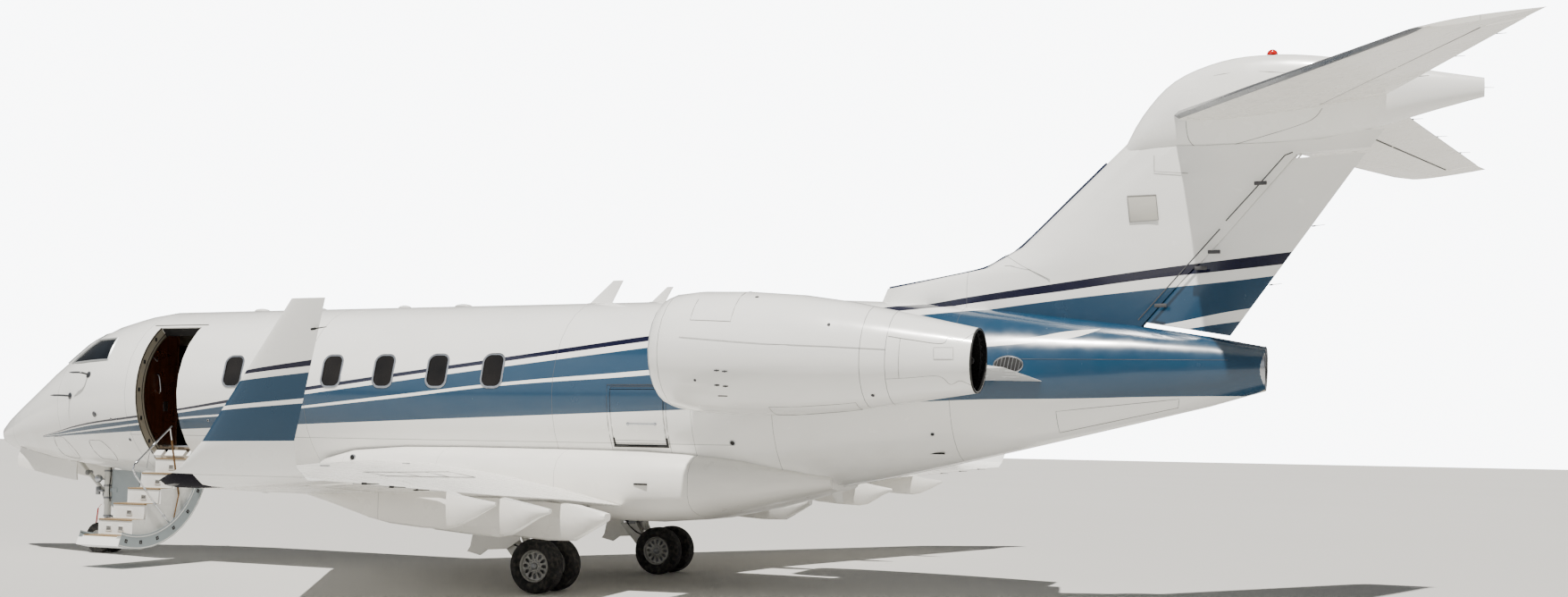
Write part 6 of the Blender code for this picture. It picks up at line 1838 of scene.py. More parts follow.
    def hatch_fittings(self) -> None:
        """Give the baggage door its outline, its handle and the scuff strip below it."""
        rim = HULL.drawn("rim", self.hatch, width=0.0025)
        dress(Bench.join("baggage_door_outline", [rim]), "baggage_hatch", "panel_grey", "line_dark", 40)
        grip = [HULL.skin(x, self.grip_height, -1, 0.004) for x in (11.46, 11.55, 11.65, 11.75, 11.84)]
        parts = [Bench.pipe("grip", grip, 0.010, 2)]
        for x in (11.47, 11.83):
            foot = Vector(HULL.skin(x, self.grip_height))
            parts.append(Bench.rod("grip_foot", tuple(foot), tuple(foot + Vector((0, -0.008, 0))), 0.020,
                                   sides=20))
        dress(Bench.join("baggage_door_handle", parts), "baggage_hatch", "polished_metal", "bright_metal", 35)
        path = [HULL.skin(x, self.scuff_height, -1, 0.002) for x in (11.24, 11.42, 11.60, 11.78, 11.96)]
        scuff = [Bench.pipe("scuff", path, 0.019, 1)]
        for x in (11.25, 11.95):
            scuff.append(Bench.pipe("scuff_end", [HULL.skin(x, z, -1, 0.001) for z in (1.73, 1.78, 1.83)],
                                    0.013, 1))
        dress(Bench.join("baggage_scuff_strip", scuff), "airframe", "panel_grey", "black_matt", 40)

    def crown(self) -> None:
        """Foot the blade antennas and add the low crown fittings and beacon."""
        feet = []
        for x, chord in self.antennas:
            outline = [(x + chord / 2 + math.cos(a) * (chord / 2 + 0.03), math.sin(a) * 0.045, 3.5615)
                       for a in (math.tau * k / 24 for k in range(24))]
            feet.append(Bench.plate("antenna_foot", outline, (0, 0, 0.007), 0.002))
        for x, size in self.domes:
            profile = [(0.0, size), (0.010, size * 0.98), (0.026, size * 0.75), (0.036, size * 0.35),
                       (0.038, 0.0)]
            feet.append(Bench.turned("crown_dome", profile, (x, 0.0, 3.558), (0, 0, 1), 28))
        dress(Bench.join("crown_fittings", feet), "airframe", "white_paint", "tail_paint", 30)
        lamps = [Bench.turned("beacon", self.beacon, place, (0, 0, way), 28) for place, way in self.beacons]
        dress(Bench.join("beacons", lamps), "airframe", "dark_glass", "lamp_red", 40)
        blades = []
        for x, y, z, drop, chord in self.belly_blades:
            rows = []
            for share, height in ((0.0, z + 0.02), (0.5, z - drop * 0.5), (1.0, z - drop)):
                c = chord * (1 - 0.45 * share)
                x0 = x + 0.10 * share
                rows.append([(x0 + c * u, y + 0.012 * v * (1 - 0.5 * share), height) for u, v in
                             ((0, 0), (0.15, 0.7), (0.45, 1), (1, 0.1), (0.45, -1), (0.15, -0.7))])
            blades.append(Bench.net("belly_blade", rows))
        dress(Bench.join("belly_antennas", blades), "airframe", "white_paint", "tail_paint", 35)

    def tail_fittings(self) -> None:
        """Ring the tail's exhaust and set its lamp and side intakes."""
        ring = Bench.turned("ring", self.tail_ring, (18.565, 0.0, 2.690), (1, 0, -0.02), 40, True)
        dress(ring, "airframe", "polished_metal", "bright_metal", 30)
        ring.name = "tail_exhaust_ring"
        core = Bench.turned("tail_exhaust_core", self.tail_core, (18.566, 0.0, 2.690), (1, 0, -0.02), 36)
        dress(core, "airframe", "engine_metal", "black_matt", 30)
        lamp = Bench.turned("tail_lamp", ((0.0, 0.030), (0.010, 0.030), (0.022, 0.020), (0.026, 0.0)),
                            (18.556, 0.0, 2.905), (1, 0, 0), 20)
        dress(lamp, "airframe", "dark_glass", "lens_clear", 40)
        for side in Side:
            self.grille(side)

    def grille(self, side: Side) -> None:
        """Model one oval air intake with its slats.

        Args:
            side: Which side it is on.
        """
        (mid, level), (wide, tall) = self.intake, self.intake_size
        oval = [(mid + wide * math.cos(a), level + tall * math.sin(a))
                for a in (math.tau * k / 28 for k in range(28))]
        rim = Bench.pipe("rim", [HULL.skin(x, z, side.value, 0.001) for x, z in oval], 0.008, 2, True)
        dress(rim, "airframe", "polished_metal", "bright_metal", 40)
        rim.name = f"intake_rim_{side.label}"
        inner = [(mid + (x - mid) * s, level + (z - level) * s) for s in (1.0, 0.5, 0.02) for x, z in oval]
        rows = [[HULL.skin(x, z, side.value, 0.002) for x, z in inner[k * 28:(k + 1) * 28]] for k in range(3)]
        # Painted shade: a black sheet fills the intake's opening behind the slats.
        back = Bench.net(f"intake_back_{side.label}", rows, True, True)
        dress(back, "airframe", "panel_grey", "black_matt", 40)
        slats = []
        for k in range(-3, 4):
            x = mid + k * 0.040
            half = 0.090 * math.sqrt(max(0.0, 1 - (k * 0.040 / wide) ** 2))
            path = [HULL.skin(x + 0.012 * s, level + half * s, side.value, 0.005)
                    for s in (-1, -0.5, 0, 0.5, 1)]
            slats.append(Bench.pipe("slat", path, 0.0035, 1))
        dress(Bench.join(f"intake_slats_{side.label}", slats), "airframe", "gear_metal", "gear_steel", 40)


@dataclass
class WheelPair:
    """Two wheels on one axle: grooved tyres, pierced rims, hubs and brakes."""

    centre: Point
    radius: float
    width: float
    offset: float
    rim: float
    holes: int = 12

    def build(self, name: str, body: str, node: str, brakes: bool) -> None:
        """Build the pair.

        Args:
            name: The pieces' first name.
            body: The body that turns with the wheels.
            node: The node that they stand for.
            brakes: Whether brake packs are fitted between them.
        """
        tyres, rims, hubs = [], [], []
        for side in (-1, 1):
            centre = (self.centre[0], self.centre[1] + side * self.offset, self.centre[2])
            tyres.append(self.tyre(centre))
            rims.append(self.disc(centre, side))
            hubs += self.hub(centre, side)
        axle_half = self.offset
        a = (self.centre[0], self.centre[1] - axle_half, self.centre[2])
        b = (self.centre[0], self.centre[1] + axle_half, self.centre[2])
        hubs.append(Bench.rod("axle", a, b, self.radius * 0.14, sides=24))
        dress(Bench.join(f"{name}_tyres", tyres), body, "tyre_rubber", "tyre_rubber", 30, [node])
        dress(Bench.join(f"{name}_rims", rims), body, "gear_metal", "rim_grey", 30)
        dress(Bench.join(f"{name}_hubs", hubs), body, "gear_metal", "gear_steel", 30)
        if brakes:
            packs = []
            for side in (-1, 1):
                for k in range(4):
                    y = side * (self.offset - self.width * 0.34 + k * 0.016)
                    p = (self.centre[0], self.centre[1] + y, self.centre[2])
                    packs.append(Bench.turned("disc",
                                              ((-0.005, 0.07), (-0.005, self.rim * 0.74),
                                               (0.005, self.rim * 0.74),
                                               (0.005, 0.07)), p, (0, 1, 0), 40, True))
            dress(Bench.join(f"{name}_brakes", packs), body, "gear_metal", "engine_dark", 30)

    def tyre(self, centre: Point) -> bpy.types.Object:
        """Turn one tyre with its tread grooves and sidewalls.

        Args:
            centre: The tyre's middle.

        Returns:
            The tyre.
        """
        r, w, rim = self.radius, self.width / 2, self.rim
        profile = [(-w * 0.62, rim * 0.97), (-w * 0.80, rim * 1.03), (-w * 0.95, rim + (r - rim) * 0.30),
                   (-w, rim + (r - rim) * 0.55), (-w * 0.94, rim + (r - rim) * 0.80), (-w * 0.76, r * 0.985)]
        for k in (-1, 0, 1):
            y = k * w * 0.40
            profile += [(y - w * 0.05, r * 0.9985), (y - w * 0.035, r * 0.972), (y + w * 0.035, r * 0.972),
                        (y + w * 0.05, r * 0.9985)]
        profile += [(-y, z) for y, z in reversed(profile[:6])]
        return Bench.turned("tyre", profile, centre, (0, 1, 0), 64, True)

    def disc(self, centre: Point, side: int) -> bpy.types.Object:
        """Turn one rim and pierce its disc with round-ended holes.

        Args:
            centre: The wheel's middle.
            side: Which way its face looks.

        Returns:
            The rim.
        """
        w, rim = self.width / 2, self.rim
        s = side
        profile = [(s * w * 0.78, rim * 1.02), (s * w * 0.84, rim * 0.99), (s * w * 0.76, rim * 0.93),
                   (s * w * 0.50, rim * 0.88), (s * w * 0.42, rim * 0.66), (s * w * 0.56, rim * 0.40),
                   (s * w * 0.62, rim * 0.30), (s * w * 0.62, rim * 0.16), (s * w * 0.30, rim * 0.16),
                   (s * w * 0.20, rim * 0.62), (s * w * 0.26, rim * 0.86), (-s * w * 0.66, rim * 0.88),
                   (-s * w * 0.78, rim * 1.02), (-s * w * 0.55, rim * 0.98), (s * w * 0.50, rim * 0.98)]
        disc = Bench.turned("rim", profile, centre, (0, 1, 0), 60, True)
        reach, size = rim * 0.645, rim * 0.125
        outline = []
        for k in range(14):
            angle = math.tau * k / 14
            wide = size * (0.86 + 0.30 * math.sin(angle))
            outline.append((centre[0] + wide * math.cos(angle), centre[1] - w * 1.2,
                            centre[2] + reach + size * 1.55 * math.sin(angle)))
        drill = Bench.plate("drill", outline, (0, w * 2.4, 0))
        drills = Bench.join("drills", Bench.around(drill, centre, (0, 1, 0), self.holes))
        Bench.hold(disc)
        cut = disc.modifiers.new("holes", "BOOLEAN")
        cut.operation = "DIFFERENCE"
        cut.solver = "EXACT"
        cut.object = drills
        bpy.ops.object.modifier_apply(modifier="holes")
        bpy.data.objects.remove(drills)
        return disc

    def hub(self, centre: Point, side: int) -> list[bpy.types.Object]:
        """Model one wheel's hub cap, bolts and the drum behind the holes.

        Args:
            centre: The wheel's middle.
            side: Which way its face looks.

        Returns:
            The parts.
        """
        w, rim, s = self.width / 2, self.rim, side
        cap = ((s * w * 0.55, rim * 0.24), (s * w * 0.80, rim * 0.22), (s * w * 0.92, rim * 0.16),
               (s * w * 0.96, rim * 0.07),
               (s * w * 0.96, 0.0))
        parts = [Bench.turned("cap", cap, centre, (0, 1, 0), 32)]
        drum = ((-s * w * 0.1, rim * 0.84), (-s * w * 0.1, rim * 0.2), (-s * w * 0.2, rim * 0.2),
                (-s * w * 0.2, rim * 0.84))
        parts.append(Bench.turned("drum", drum, centre, (0, 1, 0), 40, True))
        y0, y1 = centre[1] + s * w * 0.50, centre[1] + s * w * 0.68
        bolt = Bench.rod("bolt", (centre[0], y0, centre[2] + rim * 0.36),
                         (centre[0], y1, centre[2] + rim * 0.36),
                         rim * 0.030, sides=6)
        return parts + Bench.around(bolt, centre, (0, 1, 0), 12, 15.0)


@dataclass
class LandingGear:
    """The three legs' wheels, pistons, links, hoses, lamps and tag."""

    main_axle: Point = (10.650, 1.590, 0.320)
    nose_axle: Point = (2.150, 0.0, 0.225)
    brake_hose: Points = (
        (10.10, 0.06, 1.02), (10.06, 0.082, 0.86), (10.09, 0.085, 0.70), (10.22, 0.060, 0.56),
        (10.38, 0.056, 0.50), (10.56, 0.054, 0.44), (10.64, 0.062, 0.40))
    bands: tuple[tuple[float, ...], ...] = (
        (10.33, 0.700, 10.305, 0.752, 0.054), (10.215, 0.940, 10.195, 0.980, 0.053),
        (10.14, 0.660, 10.14, 0.700, 0.084), (10.14, 0.900, 10.14, 0.940, 0.083))
    lamp_dome: Pairs = ((0.0, 0.052), (0.02, 0.046), (0.030, 0.026), (0.033, 0.0))
    lamp_bowl: Pairs = (
        (-0.070, 0.0), (-0.066, 0.028), (-0.03, 0.054), (0.004, 0.060), (0.004, 0.050), (-0.01, 0.048))

    def build(self) -> None:
        """Build the gear's details."""
        for side in Side:
            centre = (self.main_axle[0], side.value * self.main_axle[1], self.main_axle[2])
            pair = WheelPair(centre, 0.320, 0.190, 0.200, 0.184)
            pair.build(f"main_wheels_{side.label}", f"main_wheels_{side.label}_body",
                       f"main_wheels_{side.label}", True)
            self.main_details(side)
        pair = WheelPair(self.nose_axle, 0.225, 0.130, 0.125, 0.112, 8)
        pair.build("nose_wheels", "nose_wheels_body", "nose_wheels", False)
        self.nose_details()

    def main_details(self, side: Side) -> None:
        """Add one main leg's piston, pins, bands and brake hoses.

        Args:
            side: Which leg.
        """
        y = side.value * self.main_axle[1]
        bright = [Bench.rod("piston", (10.455, y, 0.432), (10.36, y, 0.632), 0.030, sides=24),
                  Bench.rod("pin", (10.480, y - 0.062, 0.380), (10.480, y + 0.062, 0.380), 0.022, sides=20),
                  Bench.rod("pin", (10.060, y - 0.062, 0.685), (10.060, y + 0.062, 0.685), 0.026, sides=20)]
        dress(Bench.join(f"main_piston_{side.label}", bright), "airframe", "gear_metal", "chrome", 35)
        bands = [Bench.rod("band", (x0, y, z0), (x1, y, z1), size, sides=28)
                 for x0, z0, x1, z1, size in self.bands]
        bands += [Bench.block("clevis", (10.40, y + a, 0.395), (10.52, y + a + 0.008, 0.455), 0.004)
                  for a in (-0.055, 0.047)]
        dress(Bench.join(f"main_leg_bands_{side.label}", bands), "airframe", "gear_metal", "gear_steel", 35)
        hoses = []
        for k, way in enumerate((-1, 1)):
            path = rounded([(x, y + way * aside, z) for x, aside, z in self.brake_hose], 6)
            hoses.append(Bench.pipe("hose", path, 0.008, 2))
            clip = path[12 + k * 4]
            hoses.append(Bench.block("clip", tuple(c - 0.012 for c in clip), tuple(c + 0.012 for c in clip),
                                     0.003))
        dress(Bench.join(f"brake_hoses_{side.label}", hoses), "airframe", "tyre_rubber", "seal_rubber", 40)

    def nose_details(self) -> None:
        """Add the nose leg's piston, links, steering motors, taxi lamps and tag."""
        steel = [Bench.rod("band", (2.15, 0, z), (2.15, 0, z + 0.03), 0.068, sides=28)
                 for z in (0.80, 0.98, 1.20)]
        steel += [Bench.rod("motor", (2.03, y, 0.86), (2.03, y, 0.98), 0.034, sides=20)
                  for y in (-0.075, 0.075)]
        steel += [Bench.block("motor_arm", (2.02, -0.10, 0.905), (2.14, 0.10, 0.935), 0.004),
                  Bench.rod("brace_joint", (2.12, -0.05, 0.86), (2.12, 0.05, 0.86), 0.038, sides=24),
                  Bench.rod("brace_joint", (1.76, -0.045, 1.18), (1.76, 0.045, 1.18), 0.040, sides=24)]
        dress(Bench.join("nose_leg_bands", steel), "airframe", "gear_metal", "gear_steel", 35)
        paths = [((2.215, y, 1.45), (2.222, y, 1.15), (2.212, y * 1.3, 0.95), (2.224, y, 0.76))
                 for y in (-0.030, 0.030)]
        pipes = [Bench.pipe("line", rounded(path, 8), 0.007, 2) for path in paths]
        dress(Bench.join("nose_leg_lines", pipes), "airframe", "tyre_rubber", "seal_rubber", 40)
        lamps, rims = [], []
        for y in (-0.115, 0.115):
            lamps.append(Bench.turned("lamp", self.lamp_dome, (2.065, y, 1.10), (-1, 0, 0), 28))
            rims.append(Bench.turned("lamp_bowl", self.lamp_bowl, (2.065, y, 1.10), (-1, 0, 0), 28))
            rims.append(Bench.rod("lamp_arm", (2.10, y, 1.10), (2.145, y * 0.3, 1.08), 0.010))
        dress(Bench.join("taxi_lamps", lamps), "airframe", "dark_glass", "lens_clear", 40)
        dress(Bench.join("taxi_lamp_bowls", rims), "airframe", "polished_metal", "bright_metal", 40)
        links = []
        for z in (0.545, 0.300):
            for y in (-0.022, 0.022):
                links.append(Bench.rod("link", (2.205, y * 1.6, z), (2.345, y * 0.5, 0.430), 0.014, 0.011))
        links.append(Bench.rod("link_pin", (2.345, -0.035, 0.430), (2.345, 0.035, 0.430), 0.012))
        links.append(Bench.rod("collar", (2.15, 0, 0.530), (2.15, 0, 0.560), 0.060, sides=28))
        links.append(Bench.rod("tow_pin", (2.095, -0.050, 0.225), (2.075, 0.050, 0.225), 0.012))
        dress(Bench.join("torque_links", links), "nose_steering", "gear_metal", "gear_steel", 35)
        piston = Bench.rod("nose_piston", (2.15, 0, 0.322), (2.15, 0, 0.536), 0.0395, sides=28)
        dress(piston, "nose_steering", "gear_metal", "chrome", 35)
        rows = []
        for k in range(6):
            back, front, z = 2.085 - 0.006 * k, 2.060 - 0.006 * k, 0.66 - 0.045 * k
            rows.append([(back, -0.100 - 0.002 * (k % 2), z), (front, -0.101, z), (front, -0.104, z),
                         (back, -0.103, z)])
        tag = [Bench.net("tag", rows),
               Bench.pipe("cord", ((2.10, -0.06, 0.72), (2.09, -0.085, 0.70), (2.073, -0.102, 0.658)), 0.003)]
        dress(Bench.join("steering_tag", tag), "nose_steering", "carpet", "tag_red", 40)


@dataclass
class EnginePod:
    """One engine's fan, spinner, guide vanes, exhaust plug, cowl lines and latches."""

    side: Side
    inlet: Point = (12.410, 2.0, 2.800)
    axis: Point = (0.999315, 0.0, -0.037012)
    blades: int = 24
    outer: Pairs = (
        (0.0, 0.545), (0.035, 0.585), (0.150, 0.632), (0.420, 0.667), (0.950, 0.673), (1.6, 0.645),
        (2.15, 0.580), (2.75, 0.475), (3.2, 0.390), (3.512, 0.332))
    fan_sections: Points = (
        (0.135, 0.085, 22), (0.20, 0.100, 34), (0.28, 0.112, 46), (0.36, 0.116, 55), (0.426, 0.108, 62))
    fan_profile: Pairs = ((-0.5, 0), (-0.25, 0.05), (0.1, 0.06), (0.5, 0.008), (0.1, -0.03), (-0.25, -0.035))
    spinner: Pairs = (
        (0.410, 0.0), (0.425, 0.024), (0.470, 0.062), (0.54, 0.102), (0.62, 0.130), (0.68, 0.140),
        (0.765, 0.142), (0.765, 0.0))
    vane_span: Pair = (0.165, 0.436)
    vane_profile: Pairs = ((0, 0.010), (0.03, 0.006), (0.08, -0.010), (0.03, -0.002))
    liner: Pairs = (
        (0.10, 0.4925), (0.33, 0.4365), (0.62, 0.4365), (0.62, 0.4345), (0.33, 0.4345), (0.10, 0.4905))
    plug: Pairs = ((2.60, 0.150), (2.95, 0.150), (3.20, 0.120), (3.38, 0.070), (3.455, 0.025), (3.465, 0.0))
    mixer: Points = (
        (2.70, 0.245, 0.0), (2.95, 0.245, 0.5), (3.18, 0.235, 1.0), (3.18, 0.229, 1.0), (2.95, 0.239, 0.5),
        (2.70, 0.239, 0.0))
    lip: Pairs = ((3.44, 0.322), (3.514, 0.3225), (3.518, 0.3285), (3.514, 0.334), (3.498, 0.3345))
    line_width: float = 0.0022
    open_joints: tuple[Pairs, ...] = (
        ((0.42, 10.0), (1.0, 7.4), (1.446, 6.1), (2.664, 6.9)),
        ((0.969, 88.0), (0.969, 60.5), (0.984, 26.4), (0.76, 26.8), (0.512, 27.2), (0.50, 55.0)),
        ((2.797, 22.2), (2.80, 0.0), (2.797, -28.6)))
    bent_joints: tuple[Pairs, ...] = (
        ((2.672, 24.0), (2.9, 22.5), (3.212, 21.7), (3.27, 34.2), (3.391, 29.6), (3.50, 52.6)),
        ((2.661, -29.2), (2.9, -29.0), (3.196, -28.8), (3.299, -44.9), (3.402, -39.2), (3.498, -51.3)))
    hatches: tuple[Pairs, ...] = (
        ((3.139, 14.2), (3.332, 16.9), (3.341, -1.9), (3.148, -2.9)),
        ((1.35, -62.0), (2.30, -62.0), (2.30, -88.0), (1.35, -88.0)))
    latches: Pairs = ((0.869, -19.5), (0.961, -20.1), (0.848, -34.1), (0.945, -34.8))
    caps: Points = ((1.15, 62.0, 0.022), (2.05, 30.0, 0.018), (0.60, -30.0, 0.016), (2.50, -52.0, 0.020))

    def spot(self, along: float, reach: float, angle: float) -> Point:
        """Find a place about the engine's axis.

        Args:
            along: Distance behind the inlet.
            reach: Distance from the axis.
            angle: Degrees above the outboard side.

        Returns:
            The place.
        """
        s, turn = self.side.value, math.radians(angle)
        up = (-self.axis[2], 0.0, self.axis[0])
        return (self.inlet[0] + along * self.axis[0] + up[0] * reach * math.sin(turn),
                s * (self.inlet[1] + reach * math.cos(turn)),
                self.inlet[2] + along * self.axis[2] + up[2] * reach * math.sin(turn))

    def cowl(self, along: float, angle: float, proud: float = 0.0) -> Point:
        """Find a place on the cowl's outside."""
        return self.spot(along, blend_table(self.outer, along)[0] + proud, angle)

    def build(self) -> None:
        """Build the engine's details."""
        self.fan()
        self.duct()
        self.lines()

    def fan(self) -> None:
        """Model the fan's twisted blades and its spinner."""
        label, rows = self.side.label, []
        for reach, chord, twist in self.fan_sections:
            row = []
            for u, v in self.fan_profile:
                lift = math.radians(twist)
                along = 0.705 + chord * (u * math.cos(lift) - v * math.sin(lift))
                aside = chord * (u * math.sin(lift) + v * math.cos(lift))
                p = self.spot(along, reach, 90)
                row.append((p[0], p[1] + self.side.value * aside, p[2]))
            rows.append(row)
        blade = Bench.net("blade", rows)
        centre = self.spot(0.0, 0.0, 0)
        ring = Bench.around(blade, centre, self.axis, self.blades)
        dress(Bench.join(f"fan_blades_{label}", ring), f"fan_{label}_body", "polished_metal", "fan_titanium",
              40, [f"fan_{label}"])
        spinner = Bench.turned(f"spinner_{label}", self.spinner, centre, self.axis, 40)
        dress(spinner, f"fan_{label}_body", "polished_metal", "spinner_grey", 40)
        swirl = [self.spot(0.4275 + 0.16 * t, 0.0275 + 0.0805 * t ** 0.85 + 0.003, 40 + 300 * t)
                 for t in (k / 24 for k in range(25))]
        mark = Bench.pipe(f"spinner_swirl_{label}", swirl, 0.006, 1)
        dress(mark, f"fan_{label}_body", "white_paint", "door_white", 40)

    def duct(self) -> None:
        """Model the guide vanes, the liner ring and the exhaust's plug and lobes."""
        label, rows = self.side.label, []
        for reach in self.vane_span:
            x, y, z = self.spot(0.900, reach, 90)
            rows.append([(x + dx, y + dy, z) for dx, dy in self.vane_profile])
        vanes = Bench.around(Bench.net("vane", rows), self.spot(0, 0, 0), self.axis, 36)
        dress(Bench.join(f"guide_vanes_{label}", vanes), "airframe", "engine_metal", "gear_steel", 40)
        start = self.spot(0, 0, 0)
        liner = Bench.turned(f"inlet_liner_{label}", self.liner, start, self.axis, 64, True)
        dress(liner, "airframe", "engine_metal", "duct_liner", 30)
        parts = [Bench.turned("plug", self.plug, start, self.axis, 40)]
        ring = [[self.spot(a, r + 0.026 * w * math.cos(math.radians(12 * t)), t) for t in range(0, 360, 5)]
                for a, r, w in self.mixer]
        parts.append(Bench.net("mixer", ring + ring[:1], True, False))
        dress(Bench.join(f"exhaust_plug_{label}", parts), "airframe", "engine_metal", "engine_dark", 35)
        lip = Bench.turned(f"exhaust_lip_{label}", self.lip, start, self.axis, 64)
        dress(lip, "airframe", "engine_metal", "black_matt", 30)

    def cowl_line(self, points: Sequence[Sequence[float]], closed: bool = False,
                  steps: int = 5) -> bpy.types.Object:
        """Draw a line on the cowl.

        Args:
            points: Distances behind the inlet and angles.
            closed: Whether it returns to its start.
            steps: How many stretches each gap is cut into.

        Returns:
            The line.
        """
        knots = [(p[0], p[1]) for p in points]
        flat = []
        for p, q in zip(knots, knots[1:] + (knots[:1] if closed else [])):
            flat += [tuple(u + (v - u) * s / steps for u, v in zip(p, q)) for s in range(steps)]
        if not closed:
            flat.append(knots[-1])
        path = [self.cowl(a, b, -self.line_width * 0.35) for a, b in flat]
        return Bench.pipe("line", path, self.line_width, 1, closed)

    def lines(self) -> None:
        """Draw the cowl's joints and hatches and set its latches and vents."""
        label = self.side.label
        lines = [self.cowl_line(joint) for joint in self.open_joints]
        lines += [self.cowl_line(rounded([(a, b, 0.0) for a, b in joint], 6), steps=1)
                  for joint in self.bent_joints]
        lines += [self.cowl_line(hatch, True) for hatch in self.hatches]
        dress(Bench.join(f"cowl_lines_{label}", lines), "airframe", "panel_grey", "line_soft", 40)
        catches, slots = [], []
        for a, b in self.latches:
            p = self.cowl(a, b, 0.001)
            catches.append(Bench.block("catch", (p[0] - 0.030, p[1] - 0.003, p[2] - 0.007),
                                       (p[0] + 0.030, p[1] + 0.003, p[2] + 0.007), 0.002))
            catches.append(Bench.rod("bolt", p, self.cowl(a, b, 0.006), 0.012, sides=12))
        # Painted shade: the cowl slot's opening is a black block.
        p = self.cowl(0.882, -46.2, 0.001)
        slots.append(Bench.block("slot", (p[0] - 0.055, p[1] - 0.004, p[2] - 0.006),
                                 (p[0] + 0.055, p[1] + 0.004, p[2] + 0.006), 0.002))
        for a, b, size in self.caps:
            catches.append(Bench.rod("cap", self.cowl(a, b, -0.002), self.cowl(a, b, 0.003), size, sides=24))
        dress(Bench.join(f"cowl_latches_{label}", catches), "airframe", "panel_grey", "line_dark", 35)
        dress(Bench.join(f"cowl_slots_{label}", slots), "airframe", "panel_grey", "black_matt", 35)


